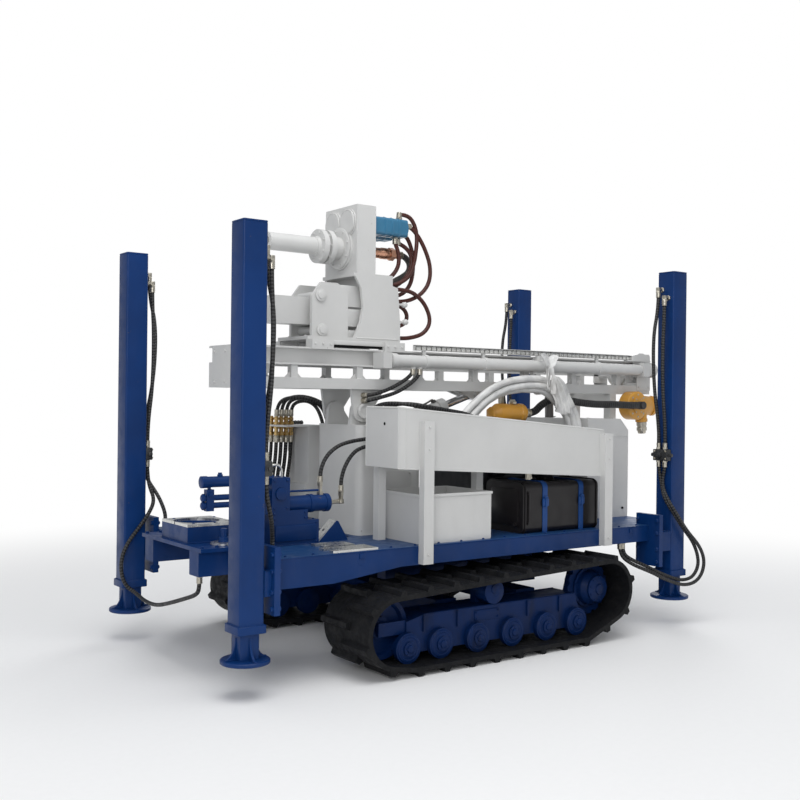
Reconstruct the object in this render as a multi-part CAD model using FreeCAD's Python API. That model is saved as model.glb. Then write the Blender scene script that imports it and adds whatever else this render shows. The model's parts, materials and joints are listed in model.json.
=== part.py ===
import FreeCAD, Part
import math
import os

from FreeCAD import Vector

os.makedirs("parts", exist_ok=True)

# Water well drilling rig on rubber tracks, in millimetres.
# X points to the drilling end, Y to the machine's left side, Z up from the ground.

# Levelling legs
leg_front_x = 1669.0
leg_rear_x = -1387.0
leg_y = 730.0
leg_side = 130.0
leg_wall = 10.0
leg_bottom_z = 310.0
leg_top_z = 2265.0
leg_cap_thick = 10.0
collar_side = 150.0
collar_height = 40.0
slide_gap = 0.3
inner_side = 100.0
inner_wall = 10.0
inner_length = 1750.0
foot_underside_z = 165.0
foot_radius = 120.0
foot_thick = 20.0
gusset_reach = 60.0
gusset_height = 105.0
gusset_thick = 12.0

# Deck
deck_top_z = 645.0
deck_plate_thick = 5.0
deck_depth = 100.0
deck_front_depth = 150.0
deck_taper_start_x = 760.0
deck_taper_end_x = 1180.0
deck_half_width = 735.0
side_beam_width = 80.0
front_flange_x = 1551.0
rear_flange_x = -1189.0
flange_thick = 16.0
flange_half_width = 95.0
flange_low_z = 390.0
flange_high_z = 715.0
stub_height = 120.0
stub_low_z = 480.0
cross_beam_width = 70.0
cross_beams_x = (-1120.0, -560.0, 60.0, 560.0, 1200.0, 1400.0)
front_beam_x = 1500.0
deck_rear_x = -1450.0
deck_rear_gap = 5.0
well_front_x = 1155.0
well_rear_x = 735.0
well_half_width = 230.0

# Running gear
track_half_gauge = 690.0
track_width = 420.0
belt_thick = 25.0
lug_height = 25.0
lug_root = 48.0
lug_tip = 26.0
lug_count = 48
lug_overlap = 35.0
idler_x = 885.0
idler_z = 235.0
sprocket_x = -655.0
sprocket_z = 300.0
end_wheel_radius = 165.0
roller_radius = 80.0
rollers_x = (766.0, 548.0, 293.0, 41.0, -219.0, -462.0)
carrier_x = 168.0
carrier_radius = 68.0
carrier_lift = 3.0
wheel_gap = 0.3
frame_half_width = 95.0
frame_low_z = 175.0
frame_high_z = 292.0
frame_front_x = 800.0
frame_rear_x = -560.0
axle_radius = 22.0
sprocket_teeth = 15
sprocket_hub_radius = 95.0
under_beams_x = (-250.0, 350.0)
under_beam_width = 140.0
under_beam_low_z = 215.0
under_beam_high_z = 310.0
under_rail_y = 350.0
under_rail_width = 80.0
under_rail_rear_x = -520.0
under_rail_front_x = 620.0

# Mast, lying level, and its stand
pivot_x = 638.0
pivot_z = 1355.0
pivot_pin_radius = 30.0
pivot_gap = 0.05
mast_half_width = 200.0
mast_rise = 125.0
mast_low_z = pivot_z + mast_rise
mast_depth = 230.0
mast_top_z = mast_low_z + mast_depth
mast_front_x = 1431.0
lower_rail_width = 60.0
lower_rail_height = 60.0
upper_rail_width = 50.0
upper_rail_height = 100.0
upper_rail_web = 10.0
post_width = 40.0
post_pitch = 430.0
tie_width = 60.0
tie_thick = 20.0
end_plate = 12.0
end_box_length = 110.0
bracket_plate_y = 150.0
bracket_plate_thick = 20.0
bracket_radius = 62.0
stand_ear_y = 112.0
stand_ear_thick = 30.0
stand_front_x = 705.0
stand_rear_x = 250.0
stand_half_width = 230.0
stand_top_z = 1275.0
stand_corner = 45.0
stand_slot_half = 80.0
stand_slot_floor_z = 1100.0
stand_slot_front_x = 640.0

# Lift cylinder of the mast
lift_base_x = 533.0
lift_base_z = 1179.0
lift_eye_x = -320.0
lift_eye_z = 1465.0
lift_barrel_radius = 45.0
lift_rod_radius = 24.0
lift_barrel_length = 640.0
lift_rod_start = 320.0
lift_eye_radius = 42.0
lift_eye_half_width = 26.0
lift_pin_radius = 20.0
lift_side_gap = 6.0
lift_ear_thick = 16.0

# Feed cylinder and chain on the mast
feed_y = 262.0
feed_z = 1648.0
feed_radius = 36.0
feed_rear_x = -1700.0
feed_front_x = 560.0
feed_lug_length = 60.0
feed_step = 14.0
chain_width = 36.0
chain_thick = 16.0
chain_top_z = 1700.0
sheave_radius = 70.0
sheave_width = 30.0
sheave_inset = 130.0
sheave_axle_radius = 20.0

# Drill head and its carriage
carriage_rear_x = 379.0
carriage_length = 632.0
carriage_front_x = carriage_rear_x + carriage_length
shoe_height = 45.0
carriage_plate_thick = 20.0
carriage_top_set_back = 57.0
carriage_front_margin = 19.0
carriage_middle_reach = 60.0
carriage_half_width = 170.0
shoe_gap = 0.3
shoe_length = 140.0
shoe_lip = 20.0
gearbox_rear_x = 561.0
gearbox_length = 130.0
gearbox_front_x = gearbox_rear_x + gearbox_length
gearbox_half_width = 170.0
gearbox_low_z = 2150.0
gearbox_height = 395.0
gearbox_top_z = gearbox_low_z + gearbox_height
gearbox_cover_radius = 82.0
gearbox_cover_thick = 8.0
cover_y = 78.0
cover_drop = 97.0
cover_z = gearbox_top_z - cover_drop
spindle_rise = 155.0
spindle_z = gearbox_low_z + spindle_rise
spindle_radius = 50.0
spindle_bore_radius = 24.0
spindle_bore_depth = 120.0
neck_radius = 66.0
flange_disc_radius = 98.0
neck_length = 84.0
flange_disc_rear_x = gearbox_front_x + neck_length
spindle_length = 406.0
spindle_tip_x = flange_disc_rear_x + spindle_length
flange_disc_thick = 32.0
flange_disc_space = 18.0
bearing_ring_radius = 128.0
bearing_ring_thick = 14.0
motor_length = 260.0
motor_side = 105.0
motor_flange_side = 130.0
motor_flange_thick = 20.0
swivel_radius = 30.0
swivel_length = 270.0
lobe_plate_y = 128.0
lobe_plate_thick = 24.0
lobe_rear_x = 690.0
lobe_length = 270.0
lobe_front_x = lobe_rear_x + lobe_length
lobe_top_z = 2085.0
lobe_pins = ((905.0, 2010.0), (895.0, 1815.0))
lobe_pin_radius = 24.0
arm_half_width = 55.0
arm_low_z = 1845.0
arm_depth = 155.0
arm_top_z = arm_low_z + arm_depth
arm_reach = 210.0
arm_front_x = lobe_front_x + arm_reach

# Breakout clamp at the front of the deck
drill_axis_x = pivot_x + spindle_z - pivot_z
clamp_table_rear_x = 1440.0
clamp_table_length = 300.0
clamp_table_front_x = clamp_table_rear_x + clamp_table_length
clamp_table_half_width = 380.0
clamp_table_thick = 20.0
clamp_bore_radius = 110.0
clamp_bore_gap = 15.0
clamp_box_x = (1430.0, 1715.0)
clamp_box_half_width = 165.0
clamp_box_height = 85.0
clamp_beam_y = 290.0
clamp_beam_width = 110.0
clamp_beam_low_z = 520.0
clamp_side_y = 300.0
clamp_half_width = 60.0
clamp_blocks = (
    (1041.0, 1330.0, 645.0, 774.0),
    (1111.0, 1330.0, 774.0, 830.0),
    (1222.0, 1330.0, 830.0, 1005.0),
)
clamp_cylinder_radius = 45.0
clamp_cylinder_z = 856.0
clamp_cylinder_rear_x = 952.0
clamp_cylinder_length = 393.0
clamp_cylinder_front_x = clamp_cylinder_rear_x + clamp_cylinder_length
clamp_pipe_z = 925.0
clamp_pipe_radius = 6.0
clamp_port_x = 1001.0
clamp_port_top_z = 960.0
clamp_port_radius = 13.0
clamp_end_port_x = 865.0
clamp_end_port_top_z = 905.0
clamp_end_port_radius = 10.0
upper_cylinder_radius = 28.0
upper_cylinder_z = 993.0
upper_cylinder_x = (1300.0, 1705.0)
twin_bar_radius = 15.0
twin_bars_z = (912.0, 873.0)
twin_bar_front_x = 1685.0
twin_head_x = (1330.0, 1375.0)
twin_head_half_width = 45.0
twin_head_z = (815.0, 940.0)
eye_plate_x = (1640.0, 1680.0)
eye_plate_z = (845.0, 955.0)
eye_plate_half_width = 18.0
eye_link_radius = 9.0
table_disc_place = (1560.0, 270.0)
table_disc_radius = 70.0
table_disc_thick = 12.0
table_pin_radius = 18.0
table_pin_height = 70.0
jaw_plate_thick = 14.0
jaw_plate_split = 10.0
jaw_hole_gap = 12.0
jaw_slots = ((1446.0, 95.0), (1446.0, -95.0), (1555.0, 140.0), (1670.0, 125.0), (1670.0, -125.0))
jaw_slot_reach = 24.0
jaw_slot_half = 7.0
wrench_plates = (
    (905.0, 1180.0, 590.0, 728.0),
    (940.0, 1130.0, 430.0, 560.0),
)
wrench_thick = 12.0
wedge_x = (835.0, 1024.0)
wedge_top_x = (898.0, 914.0)
wedge_height = 108.0
wedge_y = (270.0, 330.0)
wedge_face_thick = 10.0
wedge_slot_radius = 9.0

# Tray on the left side with its two posts
tray_front_x = 791.0
tray_length = 1550.0
tray_rear_x = tray_front_x - tray_length
tray_outer_y = 735.0
tray_width = 300.0
tray_inner_y = tray_outer_y - tray_width
tray_wall = 6.0
tray_front_top_z = 1380.0
tray_rear_top_z = 1250.0
tray_front_low_z = 1060.0
tray_rear_low_z = 970.0
tray_posts = ((616.0, 1310.0), (-759.0, 1230.0))
tray_post_width = 66.0
tray_post_depth = 45.0
tray_post_low_z = 550.0
tray_inner_posts_x = (680.0, -25.0)

# Boxes and tanks on the deck
toolbox_rear_x = 116.0
toolbox_length = 494.0
toolbox_front_x = toolbox_rear_x + toolbox_length
toolbox_outer_y = 700.0
toolbox_width = 400.0
toolbox_inner_y = toolbox_outer_y - toolbox_width
toolbox_height = 268.0
toolbox_wall = 5.0
rim_width = 7.0
rim_height = 14.0
fuel_front_x = -167.0
fuel_length = 623.0
fuel_rear_x = fuel_front_x - fuel_length
fuel_outer_y = 660.0
fuel_width = 330.0
fuel_inner_y = fuel_outer_y - fuel_width
fuel_height = 298.0
fuel_corner = 35.0
fuel_straps_x = (-340.0, -640.0)
strap_width = 38.0
strap_thick = 4.0
fuel_cap_x = -500.0
fuel_cap_radius = 42.0
fuel_cap_height = 26.0
engine_front_x = -280.0
engine_length = 720.0
engine_rear_x = engine_front_x - engine_length
engine_half_width = 200.0
engine_low_z = 700.0
engine_height = 480.0
engine_top_z = engine_low_z + engine_height
radiator_x = -190.0
radiator_thick = 70.0
radiator_half_width = 260.0
radiator_height = 470.0
hood_rear_x = -1450.0
hood_length = 390.0
hood_front_x = hood_rear_x + hood_length
hood_half_width = 310.0
hood_top_z = 1310.0
hood_chamfer = 76.0
hood_wall = 5.0
console_x = (560.0, 720.0)
console_y = (-620.0, -330.0)
console_low_z = 900.0
console_shelf_z = 1250.0
console_shelf_front_x = 862.0
console_shelf_thick = 10.0
bank_columns_x = (728.0, 762.0, 796.0, 830.0)
bank_rows_y = (-565.0, -500.0)
bank_fitting_radius = 12.0
bank_fitting_rise = 52.0
bank_fitting_drop = 58.0
bank_hose_radius = 11.0
lever_count = 6
lever_pitch = 22.0
lever_radius = 5.0

# Rest for the level mast on the engine hood
rest_x = (-1446.0, -1390.0)
rest_half_width = 200.0
rest_leg_width = 60.0
rest_beam_height = 50.0

# Hoses and line lubricators
clamp_hose_radius = 11.0
head_hose_radius = 11.0
elbow_hose_radius = 19.0
mast_hose_radius = 11.0
air_hose_radius = 24.0
drum_centre = (-1560.0, 1400.0)
drum_y = (203.0, 300.0)
drum_radius = 98.0
drum_tail_x = -1782.0
drum_tail_radius = 76.0
spout_x = -1645.0
spout_low_z = 1205.0
spout_radius = 34.0
air_elbow_radius = 27.0
air_elbow_y = 352.0
lubricator_x = (-548.0, -262.0)
lubricator_y = 250.0
lubricator_z = 1346.0
lubricator_radius = 60.0
lubricator_bevel = 26.0
lubricator_plug_x = -445.0
lubricator_arm_x = (-420.0, -380.0)
lubricator_arm_y = (185.0, 200.0)

# Derived levels and places
deck_under_z = deck_top_z - deck_plate_thick
beam_low_z = deck_top_z - deck_depth
deck_rear_half_width = leg_y - flange_half_width - deck_rear_gap
carriage_base_z = mast_top_z + shoe_height
mast_rear_x = -(leg_front_x + foot_radius)
lift_angle = math.atan2(lift_eye_z - lift_base_z, lift_eye_x - lift_base_x)
lift_length = math.hypot(lift_eye_z - lift_base_z, lift_eye_x - lift_base_x)
belt_inner_z = belt_thick + lug_height
roller_z = belt_inner_z + roller_radius + wheel_gap


def box(x, y, z):
    """Block between two limits on each axis."""
    corner = Vector(min(x), min(y), min(z))
    return Part.makeBox(abs(x[1] - x[0]), abs(y[1] - y[0]), abs(z[1] - z[0]), corner)


def rod(start, end, radius):
    """Round bar between two points."""
    line = end - start
    return Part.makeCylinder(radius, line.Length, start, line)


def plate_xz(points, y):
    """Flat plate with its outline in X and Z, between two limits in Y."""
    ring = [Vector(px, min(y), pz) for px, pz in points]
    face = Part.Face(Part.makePolygon(ring + ring[:1]))
    return face.extrude(Vector(0, abs(y[1] - y[0]), 0))


def plate_yz(points, x):
    """Flat plate with its outline in Y and Z, between two limits in X."""
    ring = [Vector(min(x), py, pz) for py, pz in points]
    face = Part.Face(Part.makePolygon(ring + ring[:1]))
    return face.extrude(Vector(abs(x[1] - x[0]), 0, 0))


def rounded_box(x, y, z, radius, axis):
    """Block whose edges along one axis are rounded."""
    body = box(x, y, z)
    along = [edge for edge in body.Edges if abs(edge.tangentAt(edge.FirstParameter).dot(axis)) > 0.99]
    return body.makeFillet(radius, along)


def joined(shapes):
    """One solid from pieces that overlap or share faces."""
    first = shapes[0]
    return first.multiFuse(shapes[1:]).removeSplitter()


def left_and_right(shape):
    """The shape and its mirror image across the machine's middle plane."""
    return [shape, shape.mirror(Vector(0, 0, 0), Vector(0, 1, 0))]


def hose(points, radius):
    """Hose along straight runs joined by arcs as large as the runs allow."""
    knots = [Vector(*point) for point in points]
    edges = []
    start = knots[0]
    for index in range(1, len(knots) - 1):
        before = knots[index - 1] - knots[index]
        after = knots[index + 1] - knots[index]
        turn = math.pi - before.getAngle(after)
        bend = 0.45 * min(before.Length, after.Length) / math.tan(turn / 2)
        reach = bend * math.tan(turn / 2)
        before.normalize()
        after.normalize()
        entry = knots[index] + before * reach
        leave = knots[index] + after * reach
        inward = before + after
        inward.normalize()
        middle = knots[index] + inward * (bend / math.cos(turn / 2) - bend)
        print("hose radius %.0f bend %.0f" % (radius, bend))
        edges.append(Part.LineSegment(start, entry).toShape())
        edges.append(Part.Arc(entry, middle, leave).toShape())
        start = leave
    edges.append(Part.LineSegment(start, knots[-1]).toShape())
    path = Part.Wire(edges)
    ring = Part.Wire(Part.makeCircle(radius, knots[0], knots[1] - knots[0]))
    return path.makePipeShell([ring], True, False)


def save(name, shapes):
    """Write the solids of one sub-part to its own file."""
    solids = []
    for shape in shapes:
        solids.extend(shape.Solids)
    body = solids[0] if len(solids) == 1 else Part.makeCompound(solids)
    body.exportStep("parts/" + name + ".step")


def leg_places():
    """Name and centre of each of the four legs."""
    places = []
    for end, x in (("front", leg_front_x), ("rear", leg_rear_x)):
        for side, y in (("left", leg_y), ("right", -leg_y)):
            places.append((end, side, x, y))
    return places


def square_tube(x, y, z, side, wall):
    """Upright square tube around a centre line."""
    outer = box((x - side / 2, x + side / 2), (y - side / 2, y + side / 2), z)
    clear = side / 2 - wall
    return outer.cut(box((x - clear, x + clear), (y - clear, y + clear), z))


def build_legs():
    """Outer tubes of the levelling legs with their caps and guide collars."""
    legs = []
    for end, side, x, y in leg_places():
        tube = square_tube(x, y, (leg_bottom_z, leg_top_z), leg_side, leg_wall)
        half = leg_side / 2
        cap = box((x - half, x + half), (y - half, y + half), (leg_top_z - leg_cap_thick, leg_top_z))
        guide_wall = (collar_side - inner_side) / 2 - slide_gap
        collar_z = (leg_bottom_z, leg_bottom_z + collar_height)
        collar = square_tube(x, y, collar_z, collar_side, guide_wall)
        legs.append(joined([tube, cap, collar]))
    save("leg_tubes", legs)


def build_feet():
    """Sliding inner tubes of the legs, each with gussets and a round foot."""
    for end, side, x, y in leg_places():
        base_z = foot_underside_z + foot_thick
        tube = square_tube(x, y, (base_z, base_z + inner_length), inner_side, inner_wall)
        disc = rod(Vector(x, y, foot_underside_z), Vector(x, y, base_z), foot_radius)
        half = inner_side / 2
        gusset_z = base_z + gusset_height
        outline = (
            (half, base_z),
            (half + gusset_reach, base_z),
            (half, gusset_z),
        )
        ring = [Vector(x + reach, y - gusset_thick / 2, z) for reach, z in outline]
        face = Part.Face(Part.makePolygon(ring + ring[:1]))
        gusset = face.extrude(Vector(0, gusset_thick, 0))
        pieces = [tube, disc]
        for quarter in range(4):
            turned = gusset.copy()
            turned.rotate(Vector(x, y, 0), Vector(0, 0, 1), 90 * quarter)
            pieces.append(turned)
        save("foot_" + end + "_" + side, [joined(pieces)])


def build_deck():
    """Side beams, cross beams, leg flanges and the deck plate."""
    rear_x = rear_flange_x + flange_thick
    front_x = front_flange_x - flange_thick
    low_front_z = deck_top_z - deck_front_depth
    outline = (
        (rear_x, beam_low_z),
        (deck_taper_start_x, beam_low_z),
        (deck_taper_end_x, low_front_z),
        (front_x, low_front_z),
        (front_x, deck_under_z),
        (rear_x, deck_under_z),
    )
    outer_y = deck_half_width
    inner_y = deck_half_width - side_beam_width
    save("side_beams", left_and_right(plate_xz(outline, (inner_y, outer_y))))

    beams = []
    for x in cross_beams_x:
        span = (x - cross_beam_width / 2, x + cross_beam_width / 2)
        beams.append(box(span, (-inner_y, inner_y), (beam_low_z, deck_under_z)))
    rear_span = (deck_rear_x, deck_rear_x + cross_beam_width)
    rear_beam = box(rear_span, (-deck_rear_half_width, deck_rear_half_width), (beam_low_z, deck_under_z))
    inner_x = cross_beams_x[0] - cross_beam_width / 2
    rails = []
    for y in (-deck_rear_half_width, deck_rear_half_width - cross_beam_width):
        rails.append(box((deck_rear_x, inner_x), (y, y + cross_beam_width), (beam_low_z, deck_under_z)))
    beams[0] = joined([beams[0], rear_beam] + rails)
    span = (front_beam_x - cross_beam_width / 2, front_beam_x + cross_beam_width / 2)
    outboard = (clamp_beam_y + clamp_beam_width / 2, inner_y)
    beams.extend(left_and_right(box(span, outboard, (beam_low_z, deck_under_z))))
    save("cross_beams", beams)

    plate = box((rear_x, front_x), (-outer_y, outer_y), (deck_under_z, deck_top_z))
    tail_y = (-deck_rear_half_width, deck_rear_half_width)
    tail = box((deck_rear_x, rear_x), tail_y, (deck_under_z, deck_top_z))
    well = box((well_rear_x, well_front_x), (-well_half_width, well_half_width), (0, deck_top_z + 1))
    notch_radius = clamp_bore_radius + clamp_bore_gap
    notch = rod(Vector(drill_axis_x, 0, 0), Vector(drill_axis_x, 0, deck_top_z + 1), notch_radius)
    save("deck_plate", [joined([plate, tail]).cut(well).cut(notch)])


def build_leg_flanges():
    """Bolted flange pairs and stub beams that carry the legs on the deck."""
    pieces = []
    ends = (
        (front_flange_x, leg_front_x - leg_side / 2, 1),
        (rear_flange_x, leg_rear_x + leg_side / 2, -1),
    )
    half = flange_half_width
    for flange_x, leg_face_x, sign in ends:
        plate_y = (leg_y - half, leg_y + half)
        plate_z = (flange_low_z, flange_high_z)
        deck_plate = box((flange_x - sign * flange_thick, flange_x), plate_y, plate_z)
        leg_plate = box((flange_x, flange_x + sign * flange_thick), plate_y, plate_z)
        stub_y = (leg_y - leg_side / 2, leg_y + leg_side / 2)
        stub_z = (stub_low_z, stub_low_z + stub_height)
        stub = box((flange_x + sign * flange_thick, leg_face_x), stub_y, stub_z)
        pieces.extend(left_and_right(joined([deck_plate, leg_plate, stub])))
    save("leg_flanges", pieces)


def tangent_loop():
    """Closed path of the belt's inner face round the wheels, as lines and arcs."""
    carrier_z = carrier_height()
    wheels = (
        (sprocket_x, sprocket_z, end_wheel_radius),
        (rollers_x[-1], roller_z, roller_radius + wheel_gap),
        (rollers_x[0], roller_z, roller_radius + wheel_gap),
        (idler_x, idler_z, end_wheel_radius),
        (carrier_x, carrier_z, carrier_radius + wheel_gap),
    )
    normals = []
    for index, (x1, z1, r1) in enumerate(wheels):
        x2, z2, r2 = wheels[(index + 1) % len(wheels)]
        course = math.atan2(z2 - z1, x2 - x1)
        distance = math.hypot(x2 - x1, z2 - z1)
        normals.append(course - math.acos((r1 - r2) / distance))
    path = []
    for index, (x, z, r) in enumerate(wheels):
        first = normals[index - 1]
        last = normals[index]
        while last < first:
            last += 2 * math.pi
        x2, z2, r2 = wheels[(index + 1) % len(wheels)]
        path.append(("arc", x, z, r, first, last))
        start = (x + r * math.cos(last), z + r * math.sin(last))
        end = (x2 + r2 * math.cos(last), z2 + r2 * math.sin(last))
        path.append(("line", start, end, last))
    return path


def carrier_height():
    """Level of the carrier roller, just proud of the line between the end wheels."""
    share = (idler_x - carrier_x) / (idler_x - sprocket_x)
    line_z = idler_z + end_wheel_radius + share * (sprocket_z - idler_z)
    return line_z + carrier_lift - carrier_radius


def piece_length(piece):
    """Length of one line or arc of the belt's path."""
    if piece[0] == "arc":
        return piece[3] * (piece[5] - piece[4])
    return math.dist(piece[1], piece[2])


def belt_place(path, distance):
    """Point on the belt's path and its outward angle."""
    for piece in path:
        length = piece_length(piece)
        if distance <= length:
            break
        distance -= length
    share = min(distance / length, 1.0)
    if piece[0] == "arc":
        angle = piece[4] + share * (piece[5] - piece[4])
        return piece[1] + piece[3] * math.cos(angle), piece[2] + piece[3] * math.sin(angle), angle
    (x1, z1), (x2, z2) = piece[1], piece[2]
    return x1 + share * (x2 - x1), z1 + share * (z2 - z1), piece[3]


def belt_face(path, offset):
    """Closed face whose edge follows the belt's path at a distance."""
    edges = []
    for piece in path:
        if piece[0] == "arc":
            kind, x, z, r, first, last = piece
            circle = [
                Vector(x + (r + offset) * math.cos(angle), 0, z + (r + offset) * math.sin(angle))
                for angle in (first, (first + last) / 2, last)
            ]
            edges.append(Part.Arc(*circle).toShape())
        else:
            kind, start, end, angle = piece
            shift = Vector(offset * math.cos(angle), 0, offset * math.sin(angle))
            first = Vector(start[0], 0, start[1]) + shift
            last = Vector(end[0], 0, end[1]) + shift
            edges.append(Part.LineSegment(first, last).toShape())
    return Part.Face(Part.Wire(Part.__sortEdges__(edges)))


def build_tracks():
    """Rubber tracks: a belt round the wheels with staggered lugs."""
    path = tangent_loop()
    total = sum(piece_length(piece) for piece in path)
    half = track_width / 2
    ring = belt_face(path, belt_thick).cut(belt_face(path, 0))
    belt = ring.extrude(Vector(0, track_width, 0))
    belt.translate(Vector(0, track_half_gauge - half, 0))
    lugs = []
    for index in range(lug_count):
        x, z, angle = belt_place(path, total * (index + 0.5) / lug_count)
        low = belt_thick - 3
        high = belt_thick + lug_height
        outline = ((low, lug_root / 2), (high, lug_tip / 2), (high, -lug_tip / 2), (low, -lug_root / 2))
        if index % 2:
            span = (track_half_gauge - half, track_half_gauge + lug_overlap)
        else:
            span = (track_half_gauge - lug_overlap, track_half_gauge + half)
        points = []
        for out, along in outline:
            px = x + out * math.cos(angle) - along * math.sin(angle)
            pz = z + out * math.sin(angle) + along * math.cos(angle)
            points.append((px, pz))
        lugs.append(plate_xz(points, span))
    ground = box((-3000, 3000), (0, 2 * track_half_gauge), (-100, 0))
    left = joined([belt] + lugs).cut(ground)
    for side, shape in zip(("left", "right"), left_and_right(left)):
        save("track_" + side, [shape])


def wheel(x, z, outline):
    """Solid of revolution about a wheel's axle from pairs of Y and radius."""
    points = [Vector(x, y, z + r) for y, r in outline]
    face = Part.Face(Part.makePolygon(points + points[:1]))
    return face.revolve(Vector(x, 0, z), Vector(0, 1, 0), 360)


def build_wheels():
    """Track rollers, carrier rollers, idlers and sprockets with their axles."""
    gauge = track_half_gauge
    half = frame_half_width
    rollers = []
    for x in rollers_x:
        outline = (
            (gauge - half - 38, 0),
            (gauge - half - 38, 30),
            (gauge - half - 30, roller_radius),
            (gauge - half - 1, roller_radius),
            (gauge - half - 1, axle_radius),
            (gauge + half + 1, axle_radius),
            (gauge + half + 1, roller_radius),
            (gauge + half + 30, roller_radius),
            (gauge + half + 38, 30),
            (gauge + half + 38, 0),
        )
        rollers.append(wheel(x, roller_z, outline))
    carrier_z = carrier_height()
    outline = (
        (gauge - 30, 0),
        (gauge - 30, axle_radius),
        (gauge + 20, axle_radius),
        (gauge + 20, carrier_radius),
        (gauge + 110, carrier_radius),
        (gauge + 118, 30),
        (gauge + 118, 0),
    )
    rollers.append(wheel(carrier_x, carrier_z, outline))

    idler_outline = (
        (gauge - 85, 0),
        (gauge - 85, axle_radius),
        (gauge - 40, axle_radius),
        (gauge - 40, 60),
        (gauge - 22, 60),
        (gauge - 22, 130),
        (gauge - 45, 140),
        (gauge - 45, end_wheel_radius - wheel_gap),
        (gauge + 45, end_wheel_radius - wheel_gap),
        (gauge + 45, 140),
        (gauge + 22, 130),
        (gauge + 22, 60),
        (gauge + 40, 60),
        (gauge + 40, axle_radius),
        (gauge + 85, axle_radius),
        (gauge + 85, 0),
    )
    idler = wheel(idler_x, idler_z, idler_outline)

    tip = end_wheel_radius - wheel_gap
    outline = (
        (gauge - 60, 0),
        (gauge - 60, sprocket_hub_radius),
        (gauge - 18, sprocket_hub_radius),
        (gauge - 18, tip),
        (gauge + 18, tip),
        (gauge + 18, sprocket_hub_radius + 15),
        (gauge + 60, sprocket_hub_radius + 5),
        (gauge + 95, sprocket_hub_radius - 20),
        (gauge + 100, 40),
        (gauge + 100, 0),
    )
    sprocket = wheel(sprocket_x, sprocket_z, outline)
    notch_radius = 0.27 * 2 * math.pi * tip / sprocket_teeth
    notches = []
    for index in range(sprocket_teeth):
        angle = 2 * math.pi * (index + 0.5) / sprocket_teeth
        x = sprocket_x + (tip + 0.35 * notch_radius) * math.cos(angle)
        z = sprocket_z + (tip + 0.35 * notch_radius) * math.sin(angle)
        notches.append(rod(Vector(x, gauge - 19, z), Vector(x, gauge + 19, z), notch_radius))
    sprocket = sprocket.cut(Part.makeCompound(notches))

    wheels = []
    for shape in rollers + [idler]:
        wheels.extend(left_and_right(shape))
    save("track_rollers", wheels)
    save("sprockets", left_and_right(sprocket))


def build_track_frames():
    """Track frames with roller bores, idler forks and sprocket arms."""
    gauge = track_half_gauge
    half = frame_half_width
    outline = (
        (frame_rear_x, frame_low_z),
        (frame_rear_x, frame_high_z - 20),
        (frame_rear_x + 80, frame_high_z),
        (frame_front_x - 160, frame_high_z),
        (frame_front_x - 40, frame_high_z - 30),
        (frame_front_x - 40, frame_low_z + 10),
        (frame_front_x - 60, frame_low_z),
    )
    beam = plate_xz(outline, (gauge - half, gauge + half))
    skirt_low = roller_z - axle_radius - 12
    inner = half - 12
    hollow = box((frame_rear_x + 10, frame_front_x - 70), (gauge - inner, gauge + inner), (0, frame_low_z + 60))
    beam = beam.cut(hollow)
    skirts = []
    for y in (gauge - half, gauge + half - 12):
        skirts.append(box((rollers_x[-1] - 60, frame_front_x - 60), (y, y + 12), (skirt_low, frame_low_z)))
    fork = []
    for y in (gauge - half + 10, gauge + 63):
        fork.append(box((frame_front_x - 40, idler_x + 45), (y, y + 22), (idler_z - 35, idler_z + 35)))
    arm_y = (gauge - half, gauge - 62)
    arm_points = (
        (frame_rear_x, frame_low_z),
        (frame_rear_x, frame_high_z - 20),
        (sprocket_x + 60, sprocket_z + 90),
        (sprocket_x - 70, sprocket_z + 70),
        (sprocket_x - 90, sprocket_z - 40),
        (sprocket_x - 20, sprocket_z - 95),
    )
    arm = plate_xz(arm_points, arm_y)
    carrier_z = carrier_height()
    post = box((carrier_x - 40, carrier_x + 40), (gauge - 30 - 24, gauge - 6), (frame_high_z, carrier_z + 32))
    frame = joined([beam] + skirts + fork + [arm, post])
    bores = [rod(Vector(x, 0, roller_z), Vector(x, 2 * gauge, roller_z), axle_radius) for x in rollers_x]
    bores.append(rod(Vector(idler_x, 0, idler_z), Vector(idler_x, 2 * gauge, idler_z), axle_radius))
    bores.append(rod(Vector(carrier_x, gauge - 30, carrier_z), Vector(carrier_x, 2 * gauge, carrier_z), axle_radius))
    pocket = end_wheel_radius + 12
    for x, z, low_y, high_y in (
        (sprocket_x, sprocket_z, gauge - 61, gauge + half + 20),
        (idler_x, idler_z, gauge - 52, gauge + 52),
    ):
        bores.append(rod(Vector(x, low_y, z), Vector(x, high_y, z), pocket))
    frame = frame.cut(Part.makeCompound(bores))
    save("track_frames", left_and_right(frame))


def build_undercarriage():
    """Cross beams between the track frames and the rails that carry the deck."""
    reach = track_half_gauge - frame_half_width
    beams = []
    for x in under_beams_x:
        span = (x - under_beam_width / 2, x + under_beam_width / 2)
        beams.append(box(span, (-reach, reach), (under_beam_low_z, under_beam_high_z)))
    rail_y = (under_rail_y - under_rail_width / 2, under_rail_y + under_rail_width / 2)
    rail = box((under_rail_rear_x, under_rail_front_x), rail_y, (under_beam_high_z, beam_low_z))
    save("undercarriage", [joined(beams + left_and_right(rail))])


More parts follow.
